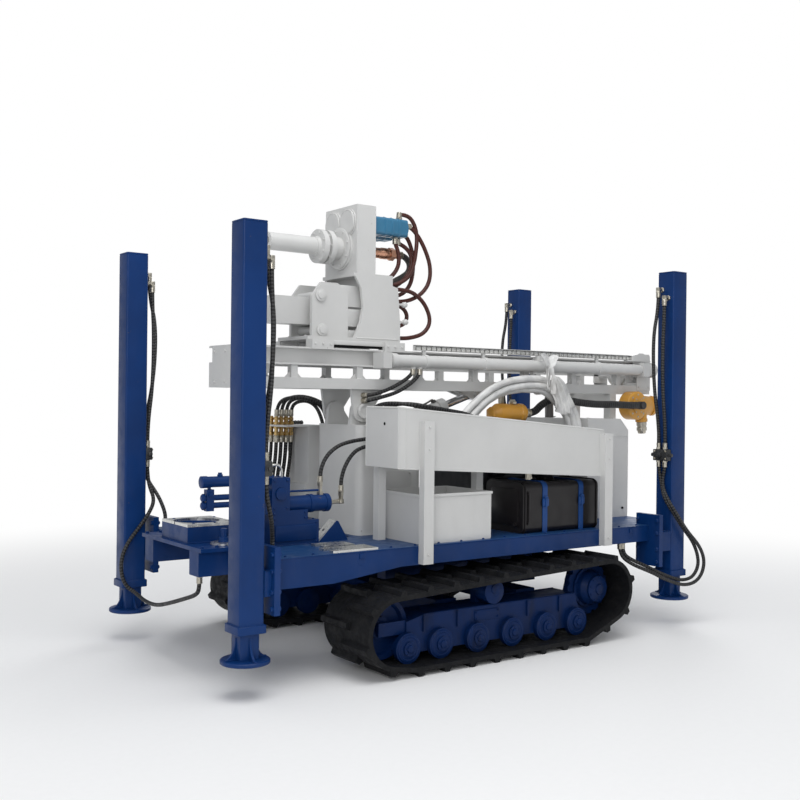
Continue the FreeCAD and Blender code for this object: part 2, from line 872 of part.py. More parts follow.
def build_stand():
    """Column under the mast pivot with its two ears and the stub pins."""
    span = (stand_rear_x, stand_front_x)
    width = (-stand_half_width, stand_half_width)
    body = rounded_box(span, width, (deck_top_z, stand_top_z), stand_corner, Vector(0, 0, 1))
    slot_x = (stand_rear_x - 1, stand_slot_front_x)
    slot = box(slot_x, (-stand_slot_half, stand_slot_half), (stand_slot_floor_z, stand_top_z + 1))
    body = body.cut(slot)
    ear_radius = bracket_radius - 8
    ears = []
    for y in (stand_ear_y, -stand_ear_y - stand_ear_thick):
        outline = (
            (pivot_x - 110, stand_top_z),
            (pivot_x - ear_radius, pivot_z),
            (pivot_x + ear_radius, pivot_z),
            (stand_front_x - 2, stand_top_z),
        )
        plate = plate_xz(outline, (y, y + stand_ear_thick))
        top = rod(Vector(pivot_x, y, pivot_z), Vector(pivot_x, y + stand_ear_thick, pivot_z), ear_radius)
        ears.append(plate.fuse(top))

    outer_y = bracket_plate_y + bracket_plate_thick
    pin = rod(
        Vector(pivot_x, stand_ear_y + stand_ear_thick, pivot_z),
        Vector(pivot_x, outer_y + 3, pivot_z),
        pivot_pin_radius - pivot_gap,
    )
    head = rod(Vector(pivot_x, outer_y + 3, pivot_z), Vector(pivot_x, outer_y + 15, pivot_z), pivot_pin_radius + 12)
    pins = left_and_right(joined([pin, head]))
    base = Vector(lift_base_x, 0, lift_base_z)
    half = stand_slot_half + 1
    pins.append(rod(base - Vector(0, half, 0), base + Vector(0, half, 0), lift_pin_radius))
    save("mast_stand", [joined([body] + ears + pins)])


def lift_axis():
    """Unit vector along the lift cylinder, from its base pin to its rod's eye."""
    return Vector(math.cos(lift_angle), 0, math.sin(lift_angle))


def build_lift_cylinder():
    """Lift cylinder: barrel with its base eye, and rod with its top eye."""
    base = Vector(lift_base_x, 0, lift_base_z)
    axis = lift_axis()
    side = Vector(0, lift_eye_half_width, 0)
    eye = rod(base - side, base + side, lift_eye_radius)
    tube_start = base + axis * (lift_eye_radius - 6)
    tube_end = base + axis * lift_barrel_length
    tube = rod(tube_start, tube_end, lift_barrel_radius)
    gland = rod(tube_end - axis * 30, tube_end + axis * 14, lift_barrel_radius + 6)
    barrel = joined([eye, tube, gland])
    barrel = barrel.cut(rod(base - side * 2, base + side * 2, lift_pin_radius + pivot_gap))
    bore_start = base + axis * (lift_rod_start - 20)
    bore = rod(bore_start, tube_end + axis * 20, lift_rod_radius + pivot_gap)
    save("lift_barrel", [barrel.cut(bore)])

    top = base + axis * lift_length
    bar = rod(base + axis * lift_rod_start, top - axis * (lift_eye_radius - 6), lift_rod_radius)
    eye = rod(top - side, top + side, lift_eye_radius)
    rod_piece = joined([bar, eye])
    save("lift_rod", [rod_piece.cut(rod(top - side * 2, top + side * 2, lift_pin_radius))])


def post_places():
    """Places of the upright spacers along the mast."""
    span = mast_front_x - end_box_length - mast_rear_x - end_plate
    count = int(span // post_pitch)
    return [mast_front_x - end_box_length - post_pitch * (index + 0.5) for index in range(count)]


def sheave_centres():
    """Centres of the rear and front chain sheaves."""
    z = chain_top_z - chain_thick - sheave_radius
    return Vector(mast_rear_x + sheave_inset, 0, z), Vector(mast_front_x - sheave_inset, 0, z)


def chain_sheaves():
    """Chain sheaves with the axles that cross between the upper rails."""
    sheaves = []
    reach = Vector(0, mast_half_width - upper_rail_width + 5, 0)
    half = Vector(0, sheave_width / 2, 0)
    for centre in sheave_centres():
        disc = rod(centre - half, centre + half, sheave_radius)
        sheaves.append(joined([disc, rod(centre - reach, centre + reach, sheave_axle_radius)]))
    return sheaves


def build_mast():
    """Mast frame: box rails below, channel rails above, spacers, ties and end box."""
    outer = mast_half_width
    low = (mast_low_z, mast_low_z + lower_rail_height)
    rail_x = (mast_rear_x, mast_front_x)
    lower = box(rail_x, (outer - lower_rail_width, outer), low)
    upper_low_z = mast_top_z - upper_rail_height
    inner = outer - upper_rail_width
    upper = box(rail_x, (inner, outer), (upper_low_z, mast_top_z))
    web = upper_rail_web
    groove_z = (upper_low_z + web, mast_top_z - web)
    groove = box((mast_rear_x - 1, mast_front_x + 1), (inner + web, outer + 1), groove_z)
    upper = upper.cut(groove)
    pieces = [lower, upper]
    for x in post_places():
        span = (x - post_width / 2, x + post_width / 2)
        pieces.append(box(span, (outer - upper_rail_width, outer - 6), (low[1], upper_low_z)))
    side = joined(pieces)
    sides = left_and_right(side)
    ties = []
    tie_y = (-(outer - lower_rail_width), outer - lower_rail_width)
    for x in post_places():
        if abs(x - lift_eye_x) < 200:
            continue
        span = (x - tie_width / 2, x + tie_width / 2)
        ties.append(box(span, tie_y, (mast_low_z, mast_low_z + tie_thick)))
    inside = (-inner, inner)
    height = (mast_low_z, mast_top_z)
    ends = [
        box((mast_rear_x, mast_rear_x + end_plate), inside, height),
        box((mast_front_x - end_plate, mast_front_x), inside, height),
        box((mast_front_x - end_box_length, mast_front_x), inside, (mast_top_z - web, mast_top_z)),
    ]
    side_box = box((mast_front_x - end_box_length, mast_front_x), (inner, outer), (low[1], upper_low_z))
    frame = joined(sides + ties + ends + left_and_right(side_box) + chain_sheaves())
    save("mast_frame", [frame])

    plates = []
    hole = Vector(pivot_x, 0, pivot_z)
    far = Vector(0, 2 * outer, 0)
    bore = rod(hole - far, hole + far, pivot_pin_radius)
    y = (bracket_plate_y, bracket_plate_y + bracket_plate_thick)
    outline = (
        (pivot_x - bracket_radius, pivot_z),
        (pivot_x + bracket_radius, pivot_z),
        (pivot_x + 80, mast_low_z),
        (pivot_x - 150, mast_low_z),
    )
    plate = plate_xz(outline, y)
    round_end = rod(Vector(pivot_x, y[0], pivot_z), Vector(pivot_x, y[1], pivot_z), bracket_radius)
    plates = left_and_right(joined([plate, round_end]).cut(bore))
    ear_y = lift_eye_half_width + lift_side_gap
    ears = []
    seat = (mast_low_z, mast_low_z + tie_thick)
    for x in (lift_eye_x - 150, lift_eye_x + 150):
        ears.append(box((x - 25, x + 25), tie_y, seat))
    outline = (
        (lift_eye_x - 175, mast_low_z),
        (lift_eye_x - 175, mast_low_z + 50),
        (lift_eye_x + 175, mast_low_z + 50),
        (lift_eye_x + 175, mast_low_z),
        (lift_eye_x + 40, lift_eye_z - 30),
        (lift_eye_x - 40, lift_eye_z - 30),
    )
    ear = plate_xz(outline, (ear_y, ear_y + lift_ear_thick))
    boss_y = ear_y + lift_ear_thick
    boss = rod(Vector(lift_eye_x, boss_y, lift_eye_z), Vector(lift_eye_x, boss_y + 14, lift_eye_z), lift_pin_radius + 8)
    ears.extend(left_and_right(joined([ear, boss])))
    save("mast_brackets", plates + [joined(ears)] + feed_brackets())


def feed_brackets():
    """Clamps that hold the feed cylinder on the mast's left rail."""
    brackets = []
    for x, radius in ((feed_rear_x + 60, feed_radius), (feed_front_x, feed_radius - feed_step)):
        level = (feed_z - feed_radius - 10, feed_z + feed_radius + 10)
        block = box((x - 30, x + 30), (mast_half_width, feed_y + feed_radius + 8), level)
        centre = Vector(x, feed_y, feed_z)
        reach = Vector(40, 0, 0)
        brackets.append(block.cut(rod(centre - reach, centre + reach, radius)))
    return brackets


def build_feed():
    """Feed cylinder beside the mast, and the chain round its two sheaves."""
    tube = rod(Vector(feed_rear_x, feed_y, feed_z), Vector(feed_front_x - feed_lug_length, feed_y, feed_z), feed_radius)
    cap = rod(Vector(feed_rear_x - 22, feed_y, feed_z), Vector(feed_rear_x, feed_y, feed_z), feed_radius + 6)
    neck_x = feed_front_x - feed_lug_length
    ram_end = Vector(feed_front_x + 30, feed_y, feed_z)
    ram = rod(Vector(neck_x, feed_y, feed_z), ram_end, feed_radius - feed_step)
    save("feed_cylinder", [joined([tube, cap, ram])])

    rear, front = sheave_centres()
    outer = sheave_radius + chain_thick
    loop = []
    for radius in (outer, sheave_radius):
        edges = [
            Part.LineSegment(rear + Vector(0, 0, radius), front + Vector(0, 0, radius)).toShape(),
            Part.Arc(
                front + Vector(0, 0, radius),
                front + Vector(radius, 0, 0),
                front - Vector(0, 0, radius),
            ).toShape(),
            Part.LineSegment(front - Vector(0, 0, radius), rear - Vector(0, 0, radius)).toShape(),
            Part.Arc(
                rear - Vector(0, 0, radius),
                rear - Vector(radius, 0, 0),
                rear + Vector(0, 0, radius),
            ).toShape(),
        ]
        loop.append(Part.Face(Part.Wire(edges)))
    band = loop[0].cut(loop[1]).extrude(Vector(0, chain_width, 0))
    band.translate(Vector(0, -chain_width / 2, 0))
    save("feed_chain", [band])


def build_carriage():
    """Carriage that slides on the mast: side plates, body, shoes and front bracket."""
    half = carriage_half_width
    thick = carriage_plate_thick
    top_z = gearbox_low_z
    base = box((carriage_rear_x, carriage_front_x), (-half, half), (carriage_base_z, carriage_base_z + thick))
    middle_x = gearbox_rear_x + carriage_middle_reach
    rear_top_x = carriage_rear_x + carriage_top_set_back
    outline = (
        (carriage_rear_x, carriage_base_z),
        (gearbox_front_x + carriage_front_margin, carriage_base_z),
        (middle_x + 40, carriage_base_z + 110),
        (middle_x + 22, carriage_base_z + 200),
        (middle_x + 36, carriage_base_z + 310),
        (gearbox_front_x + carriage_front_margin, top_z),
        (rear_top_x, top_z),
        (rear_top_x, top_z - 60),
        (rear_top_x - 38, top_z - 70),
        (carriage_rear_x, carriage_base_z + 120),
    )
    plate = plate_xz(outline, (half - thick, half))
    top = box((rear_top_x, gearbox_front_x + carriage_front_margin), (-half, half), (top_z - thick, top_z))
    body = box((rear_top_x + 20, middle_x), (-(half - thick), half - thick), (carriage_base_z + thick, top_z - thick))
    pieces = [base, top, body] + left_and_right(plate)
    rail_top = mast_top_z + shoe_gap
    outer = mast_half_width
    inner = outer - upper_rail_width
    for x in (carriage_rear_x, carriage_front_x - shoe_length):
        span = (x, x + shoe_length)
        pad = box(span, (inner, outer + shoe_gap + shoe_lip), (rail_top, carriage_base_z))
        lip_y = (outer + shoe_gap, outer + shoe_gap + shoe_lip)
        lip = box(span, lip_y, (mast_top_z - upper_rail_web, carriage_base_z))
        pieces.extend(left_and_right(joined([pad, lip])))

    outline = (
        (lobe_rear_x + 30, carriage_base_z + thick),
        (lobe_front_x, carriage_base_z + thick),
        (lobe_front_x, lobe_top_z - 80),
        (lobe_front_x - 60, lobe_top_z),
        (lobe_rear_x + 100, lobe_top_z),
        (lobe_rear_x + 30, lobe_top_z - 60),
    )
    lobe = plate_xz(outline, (lobe_plate_y - lobe_plate_thick, lobe_plate_y))
    pieces.extend(left_and_right(lobe))
    reach = lobe_plate_y + 14
    for x, z in lobe_pins:
        pieces.append(rod(Vector(x, -reach, z), Vector(x, reach, z), lobe_pin_radius))
    arm = box((lobe_rear_x + 60, arm_front_x), (-arm_half_width, arm_half_width), (arm_low_z, arm_top_z))
    save("carriage", [joined(pieces + [arm])])


def build_head():
    """Gearbox with its covers, the two drive motors, the swivel and the spindle."""
    span = (gearbox_rear_x, gearbox_front_x)
    width = (-gearbox_half_width, gearbox_half_width)
    case = box(span, width, (gearbox_low_z, gearbox_top_z))
    pieces = [case]
    face = gearbox_front_x
    for y in (cover_y, -cover_y):
        start = Vector(face, y, cover_z)
        pieces.append(rod(start, start + Vector(gearbox_cover_thick, 0, 0), gearbox_cover_radius))
    centre = Vector(face, 0, spindle_z)
    pieces.append(rod(centre, centre + Vector(bearing_ring_thick, 0, 0), bearing_ring_radius))
    bore = rod(centre, centre + Vector(40, 0, 0), neck_radius + pivot_gap)
    save("gearbox", [joined(pieces).cut(bore)])

    motors = []
    for y in (cover_y, -cover_y):
        rear = gearbox_rear_x
        side = motor_flange_side / 2
        flange = box((rear - motor_flange_thick, rear), (y - side, y + side), (cover_z - side, cover_z + side))
        side = motor_side / 2
        tube = rounded_box(
            (rear - motor_length, rear - motor_flange_thick),
            (y - side, y + side),
            (cover_z - side, cover_z + side),
            20,
            Vector(1, 0, 0),
        )
        motors.append(joined([flange, tube]))
    save("drive_motors", motors)

    disc_x = flange_disc_rear_x
    second_x = disc_x + flange_disc_thick + flange_disc_space
    profile = (
        (face, 0),
        (face, neck_radius),
        (disc_x, neck_radius),
        (disc_x, flange_disc_radius),
        (disc_x + flange_disc_thick, flange_disc_radius),
        (disc_x + flange_disc_thick, neck_radius + 8),
        (second_x, neck_radius + 8),
        (second_x, flange_disc_radius),
        (second_x + flange_disc_thick, flange_disc_radius),
        (second_x + flange_disc_thick, spindle_radius + 8),
        (second_x + flange_disc_thick + 20, spindle_radius),
        (spindle_tip_x, spindle_radius),
        (spindle_tip_x, spindle_bore_radius),
        (spindle_tip_x - spindle_bore_depth, spindle_bore_radius),
        (spindle_tip_x - spindle_bore_depth, 0),
    )
    points = [Vector(x, 0, spindle_z + r) for x, r in profile]
    shape = Part.Face(Part.makePolygon(points + points[:1]))
    save("spindle", [shape.revolve(Vector(0, 0, spindle_z), Vector(1, 0, 0), 360)])


def build_swivel():
    """Water swivel behind the gearbox, on the spindle's axis."""
    start = Vector(gearbox_rear_x, 0, spindle_z)
    tube = rod(start, start - Vector(swivel_length, 0, 0), swivel_radius)
    return joined([tube, rod(start, start - Vector(22, 0, 0), swivel_radius + 8)])


def clamp_table():
    """Clamp table on its two beams, with the low box round the drill pipe's bore."""
    table_top = deck_top_z + clamp_table_thick
    table_x = (clamp_table_rear_x, clamp_table_front_x)
    half = clamp_table_half_width
    pieces = [box(table_x, (-half, half), (deck_top_z, table_top))]
    box_top = table_top + clamp_box_height
    half = clamp_box_half_width
    pieces.append(box(clamp_box_x, (-half, half), (table_top, box_top)))
    rear_x = cross_beams_x[-1] + cross_beam_width / 2
    front_x = clamp_table_front_x - 5
    packer_rear_x = front_flange_x - flange_thick
    for y in (clamp_beam_y, -clamp_beam_y):
        width = (y - clamp_beam_width / 2, y + clamp_beam_width / 2)
        pieces.append(box((rear_x, front_x), width, (clamp_beam_low_z, deck_under_z)))
        pieces.append(box((packer_rear_x, front_x), width, (deck_under_z, deck_top_z)))
    x, y = table_disc_place
    base = Vector(x, y, table_top)
    pieces.append(rod(base, base + Vector(0, 0, table_disc_thick), table_disc_radius))
    pieces.append(rod(base, base + Vector(0, 0, table_pin_height), table_pin_radius))
    axis = Vector(drill_axis_x, 0, 0)
    bore = rod(axis, axis + Vector(0, 0, box_top + 1), clamp_bore_radius)
    return joined(pieces).cut(bore)


def build_clamp():
    """Breakout clamp: its table, the side unit with its cylinders, and the bright plates."""
    side = (clamp_side_y - clamp_half_width, clamp_side_y + clamp_half_width)
    blocks = [box((rear, front), side, (low, high)) for rear, front, low, high in clamp_blocks]
    y = clamp_side_y
    tube = rod(
        Vector(clamp_cylinder_rear_x, y, clamp_cylinder_z),
        Vector(clamp_cylinder_front_x, y, clamp_cylinder_z),
        clamp_cylinder_radius,
    )
    upper = rod(
        Vector(upper_cylinder_x[0], y, upper_cylinder_z),
        Vector(upper_cylinder_x[1], y, upper_cylinder_z),
        upper_cylinder_radius,
    )
    head_y = (y - twin_head_half_width, y + twin_head_half_width)
    head = box(twin_head_x, head_y, twin_head_z)
    bars = [
        rod(Vector(twin_head_x[1] - 5, y, z), Vector(twin_bar_front_x, y, z), twin_bar_radius)
        for z in twin_bars_z
    ]
    eye_y = (y - eye_plate_half_width, y + eye_plate_half_width)
    eye = box(eye_plate_x, eye_y, eye_plate_z)
    link_x = (eye_plate_x[0] + eye_plate_x[1]) / 2
    link = rod(Vector(link_x, y, eye_plate_z[1] - 5), Vector(link_x, y, upper_cylinder_z), eye_link_radius)
    cylinders = joined([tube, upper, head, eye, link] + bars)

    wedge_points = (
        (wedge_x[0], deck_top_z),
        (wedge_x[1], deck_top_z),
        (wedge_top_x[1], deck_top_z + wedge_height),
        (wedge_top_x[0], deck_top_z + wedge_height),
    )
    wedge = plate_xz(wedge_points, wedge_y)
    save("clamp_frame", [clamp_table(), joined(blocks).cut(cylinders), wedge])
    save("clamp_cylinders", [cylinders])
    save_clamp_plates()


def save_clamp_plates():
    """Bright slotted plates: two on the clamp box, one on the wedge, two on the deck."""
    low = deck_top_z + clamp_table_thick + clamp_box_height
    high = low + jaw_plate_thick
    half = clamp_box_half_width
    hole_radius = clamp_bore_radius + jaw_hole_gap
    hole = rod(Vector(drill_axis_x, 0, low - 1), Vector(drill_axis_x, 0, high + 1), hole_radius)
    slots = []
    for x, y in jaw_slots:
        slots.append(box((x - jaw_slot_reach, x + jaw_slot_reach), (y - jaw_slot_half, y + jaw_slot_half), (low, high)))
    cuts = Part.makeCompound([hole] + slots)
    plates = []
    split = jaw_plate_split / 2
    for y in ((split, half), (-half, -split)):
        plates.append(box(clamp_box_x, y, (low, high)).cut(cuts))
    for rear, front, inner, outer in wrench_plates:
        plate = box((rear, front), (inner, outer), (deck_top_z, deck_top_z + wrench_thick))
        middle = (inner + outer) / 2
        opening = (middle - (outer - inner) / 5, middle + (outer - inner) / 5)
        mouth = box((front - (front - rear) / 3, front), opening, (deck_top_z, deck_top_z + wrench_thick))
        plates.append(plate.cut(mouth))
    foot = Vector(wedge_x[1], 0, deck_top_z)
    top = Vector(wedge_top_x[1], 0, deck_top_z + wedge_height)
    slope = (top - foot).normalize()
    out = Vector(slope.z, 0, -slope.x) * wedge_face_thick
    points = [(point.x, point.z) for point in (foot, foot + out, top + out, top)]
    face = plate_xz(points, wedge_y)
    middle = (foot + top) * 0.5 + Vector(0, (wedge_y[0] + wedge_y[1]) / 2, 0)
    eye = rod(middle - out, middle + out * 2, wedge_slot_radius)
    plates.append(face.cut(eye))
    save("slotted_plates", plates)


def tray_level(x, front_z, rear_z):
    """Level of the tray's sloping edge at a place along it."""
    share = (tray_front_x - x) / (tray_front_x - tray_rear_x)
    return front_z + share * (rear_z - front_z)


def build_tray():
    """Sloping tray on the left side, and the two posts that carry it."""
    outline = (
        (tray_front_x, tray_front_low_z),
        (tray_front_x, tray_front_top_z),
        (tray_rear_x, tray_rear_top_z),
        (tray_rear_x, tray_rear_low_z),
    )
    outer = plate_xz(outline, (tray_inner_y, tray_outer_y))
    wall = tray_wall
    rise = wall
    hollow = (
        (tray_front_x - wall, tray_front_low_z + rise),
        (tray_front_x - wall, tray_front_top_z + 50),
        (tray_rear_x + wall, tray_rear_top_z + 50),
        (tray_rear_x + wall, tray_rear_low_z + rise),
    )
    save("side_tray", [outer.cut(plate_xz(hollow, (tray_inner_y + wall, tray_outer_y - wall)))])
    posts = []
    for x, top_z in tray_posts:
        span = (x - tray_post_width / 2, x + tray_post_width / 2)
        width = (tray_outer_y, tray_outer_y + tray_post_depth)
        post = box(span, width, (tray_post_low_z, top_z))
        groove = box(
            (x - tray_post_width / 2 + 8, x + tray_post_width / 2 - 8),
            (tray_outer_y - 1, tray_outer_y + tray_post_depth - 8),
            (tray_post_low_z - 1, top_z - 8),
        )
        posts.append(post.cut(groove))
    inner = []
    for x in tray_inner_posts_x:
        low = tray_level(x + 25, tray_front_low_z, tray_rear_low_z)
        high = tray_level(x - 25, tray_front_low_z, tray_rear_low_z)
        level = min(low, high)
        width = (tray_inner_y - 50, tray_inner_y)
        inner.append(box((x - 25, x + 25), width, (deck_top_z, level + 60)))
    save("tray_posts", posts + inner)


def mast_rest():
    """Two posts and a beam on the engine hood, which the level mast lies on."""
    top = mast_low_z - slide_gap
    half = rest_half_width
    beam = box(rest_x, (-half, half), (top - rest_beam_height, top))
    leg = box(rest_x, (half - rest_leg_width, half), (hood_top_z - hood_chamfer, top - rest_beam_height))
    return [beam] + left_and_right(leg)


def build_boxes():
    """Open toolbox, fuel tank with its straps, engine, radiator and hood."""
    wall = toolbox_wall
    top_z = deck_top_z + toolbox_height
    x = (toolbox_rear_x, toolbox_front_x)
    y = (toolbox_inner_y, toolbox_outer_y)
    shell = box(x, y, (deck_top_z, top_z))
    inside = box(
        (x[0] + wall, x[1] - wall),
        (y[0] + wall, y[1] - wall),
        (deck_top_z + wall, top_z + 1),
    )
    rim_x = (x[0] - rim_width, x[1] + rim_width)
    rim_y = (y[0] - rim_width, y[1] + rim_width)
    rim = box(rim_x, rim_y, (top_z - rim_height, top_z))
    save("toolbox", [joined([shell, rim]).cut(inside)])

    x = (fuel_rear_x, fuel_front_x)
    y = (fuel_inner_y, fuel_outer_y)
    top_z = deck_top_z + fuel_height
    tank = rounded_box(x, y, (deck_top_z, top_z), fuel_corner, Vector(1, 0, 0))
    cap_base = Vector(fuel_cap_x, (fuel_inner_y + fuel_outer_y) / 2, top_z)
    cap = rod(cap_base, cap_base + Vector(0, 0, fuel_cap_height), fuel_cap_radius)
    save("fuel_tank", [joined([tank, cap])])
    straps = []
    thick = strap_thick
    for place in fuel_straps_x:
        span = (place - strap_width / 2, place + strap_width / 2)
        low_z = deck_top_z - 2 * fuel_corner
        outer_y = (y[0] - thick, y[1] + thick)
        outer = rounded_box(span, outer_y, (low_z, top_z + thick), fuel_corner + thick, Vector(1, 0, 0))
        inner = rounded_box(span, y, (low_z, top_z), fuel_corner, Vector(1, 0, 0))
        straps.append(outer.cut(inner).cut(box(span, outer_y, (low_z, deck_top_z))))
    save("fuel_straps", straps)

    span = (engine_rear_x, engine_front_x)
    engine = box(span, (-engine_half_width, engine_half_width), (engine_low_z, engine_top_z))
    feet = []
    for place in (engine_rear_x + 60, engine_front_x - 60):
        for y_place in (-engine_half_width + 40, engine_half_width - 40):
            foot_x = (place - 40, place + 40)
            feet.append(box(foot_x, (y_place - 40, y_place + 40), (deck_top_z, engine_low_z)))
    half = radiator_thick / 2
    core_x = (radiator_x - half, radiator_x + half)
    core = box(core_x, (-radiator_half_width, radiator_half_width), (deck_top_z, deck_top_z + radiator_height))
    save("engine", [joined([engine] + feet), core])

    slope = hood_chamfer
    outline = (
        (hood_rear_x, deck_top_z),
        (hood_front_x, deck_top_z),
        (hood_front_x, hood_top_z),
        (hood_rear_x + slope, hood_top_z),
        (hood_rear_x, hood_top_z - slope),
    )
    outer = plate_xz(outline, (-hood_half_width, hood_half_width))
    wall = hood_wall
    inner_outline = (
        (hood_rear_x + wall, deck_top_z - 1),
        (hood_front_x - wall, deck_top_z - 1),
        (hood_front_x - wall, hood_top_z - wall),
        (hood_rear_x + slope + wall * 0.41, hood_top_z - wall),
        (hood_rear_x + wall, hood_top_z - slope - wall * 0.41),
    )
    inner = plate_xz(inner_outline, (-hood_half_width + wall, hood_half_width - wall))
    save("engine_hood", [joined([outer] + mast_rest()).cut(inner)])


def build_console():
    """Control console on the right side with its hose shelf and levers."""
    cabinet = box(console_x, console_y, (deck_top_z, console_low_z))
    block_y = (console_y[0] + 40, console_y[1])
    block = box((console_x[0], console_x[1] - 20), block_y, (console_low_z, console_shelf_z))
    shelf_z = (console_shelf_z, console_shelf_z + console_shelf_thick)
    shelf = box((console_x[0], console_shelf_front_x), block_y, shelf_z)
    pieces = [cabinet, block, shelf]
    for index in range(lever_count):
        x = console_x[0] + lever_pitch * (index + 0.5)
        start = Vector(x, block_y[0], console_shelf_z - 90)
        pieces.append(rod(start, start + Vector(0, -60, 110), lever_radius))
    save("control_console", [joined(pieces)])


# Hose routes, as places chosen along each hose
head_hose_routes = (
    ((301, 100, 2468), (262, 100, 2468), (205, 102, 2420), (150, 104, 2340), (108, 105, 2240),
     (112, 102, 2140), (170, 98, 2065), (260, 92, 2020), (350, 90, 2008), (456, 90, 2008)),
    ((301, 60, 2420), (270, 60, 2420), (232, 55, 2380), (205, 52, 2310), (198, 50, 2220),
     (215, 50, 2130), (270, 50, 2065), (350, 50, 2042), (456, 50, 2042)),
    ((456, 122, 2078), (400, 122, 2078), (330, 120, 2080), (243, 118, 2070), (150, 114, 2004),
     (105, 112, 1901), (160, 115, 1825), (260, 118, 1795), (350, 122, 1788), (456, 122, 1788)),
    ((456, 20, 2000), (400, 20, 2000), (330, 20, 2006), (250, 20, 1985), (215, 20, 1935),
     (240, 20, 1882), (310, 20, 1862), (385, 20, 1856), (456, 20, 1856)),
)
elbow_route = ((291, 0, 2305), (262, 0, 2305), (225, 0, 2298), (188, 0, 2262), (192, 0, 2210),
               (240, 0, 2175), (300, 0, 2145), (370, 0, 2108), (456, 0, 2108))
mast_hose_routes = (
    ((300, 262, 1611.7), (300, 262, 1580), (325, 258, 1545), (385, 252, 1500), (460, 245, 1462),
     (540, 240, 1440), (600, 236, 1425), (640, 212, 1415), (640, 170.3, 1415)),
    ((350, 262, 1611.7), (350, 262, 1585), (375, 256, 1555), (430, 250, 1520), (490, 245, 1490),
     (550, 240, 1468), (605, 230, 1452), (640, 206, 1446), (640, 170.3, 1446)),
)
air_hose_route = (
    (-1560, 326, 1402), (-1440, 326, 1402), (-1320, 308, 1407), (-1180, 282, 1405), (-1030, 262, 1416),
    (-900, 250, 1436), (-790, 250, 1440), (-690, 250, 1400), (-630, 250, 1346), (-548.2, 250, 1346),
)
clamp_hose_routes = (
    ((600, 230.3, 1205), (600, 275, 1205), (700, 300, 1200), (801, 300, 1188), (880, 300, 1168),
     (943, 300, 1128), (981, 300, 1078), (1001, 300, 1020), (1001, 300, 960.2)),
    ((600, 230.3, 1160), (600, 280, 1160), (694, 300, 1160), (760, 300, 1141), (805, 300, 1103),
     (840, 300, 1050), (858, 300, 1001), (865, 300, 965), (865, 300, 905.2)),
)
bank_hose_routes = (
    ((728, -500, 1312.2), (728, -500, 1370), (700, -470, 1405), (660, -410, 1410), (640, -340, 1375),
     (632, -290, 1300), (632, -270, 1240), (632, -230.2, 1240)),
    ((762, -500, 1312.2), (762, -500, 1380), (730, -460, 1425), (670, -390, 1425), (610, -330, 1380),
     (594, -292, 1300), (594, -270, 1215), (594, -230.2, 1215)),
    ((796, -500, 1312.2), (796, -500, 1375), (775, -450, 1432), (700, -370, 1440), (600, -310, 1395),
     (556, -292, 1300), (556, -270, 1190), (556, -230.2, 1190)),
    ((830, -500, 1312.2), (830, -500, 1370), (815, -440, 1425), (740, -350, 1432), (600, -330, 1390),
     (518, -300, 1290), (518, -270, 1165), (518, -230.2, 1165)),
)
bank_drop_bend = (18.0, -20.0, 260.0)
coil_route = (
    (-489, 1541), (-320, 1520), (-190, 1474), (-75, 1400), (30, 1300), (70, 1180), (-20, 1080),
    (-250, 1030), (-520, 1020), (-780, 1060), (-905, 1180), (-885, 1330), (-770, 1450), (-640, 1528),
)
coil_y = 342.0
coil_hose_radius = 30.0
coil_tie_low_z = 1494.0
coil_tie_width = 24.0
coil_tie_thick = 4.0
tie_gap = 0.2
leg_hose_radius = 11.0
leg_ports_z = (2150.0, 2095.0)
leg_port_step = 50.0
leg_valve_top_z = 1123.0
leg_valve_height = 72.0
leg_valve_depth = 42.0
leg_valve_half_width = 58.0
elbow_reach = 42.0
elbow_radius = 12.0
# Lower leg hoses as steps from the leg's centre: towards the machine's middle, outwards, and height
loop_steps = (
    (86, 0, 900), (125, 55, 815), (95, 101, 730), (0, 102, 625), (-118, 100, 517), (-170, 98, 405),
    (-150, 98, 336), (-90, 98, 292), (10, 98, 288), (110, 98, 318), (215, 98, 355), (310, 90, 398),
    (398, 20, 445), (407, -35, 480), (407, -35, 544.8),
)
loop_shift = (
    (0, 0, 0), (-4, 24, -8), (-6, 26, -12), (-14, 26, -22), (-22, 26, -14), (-26, 26, 0),
    (-22, 26, -20), (-6, 26, -26), (4, 26, -26), (4, 26, -28), (2, 26, -28), (0, 26, -28),
    (26, 30, -24), (28, 0, -10), (28, 0, 0),
)
front_loop = (
    (1574, -700, 900), (1555, -650, 815), (1602, -634, 733), (1662, -636, 656), (1721, -640, 580),
    (1757, -640, 503), (1763, -640, 415), (1736, -640, 330), (1680, -610, 285), (1684, -470, 262),
    (1700, -270, 272), (1712, -60, 322), (1715, 140, 378), (1706, 268, 418), (1703, 290, 458), (1703, 290, 519.8),
)
front_right_drop = ((1566, -745, 930), (1530, -660, 840), (1507, -615, 750), (1505, -610, 700), (1505, -610, 645.2))
front_left_drops = (
    ((1566, 705, 930), (1545, 655, 840), (1522, 605, 750), (1520, 600, 700), (1520, 600, 645.2)),
    ((1566, 745, 930), (1530, 720, 840), (1484, 648, 750), (1480, 640, 700), (1480, 640, 645.2)),
)


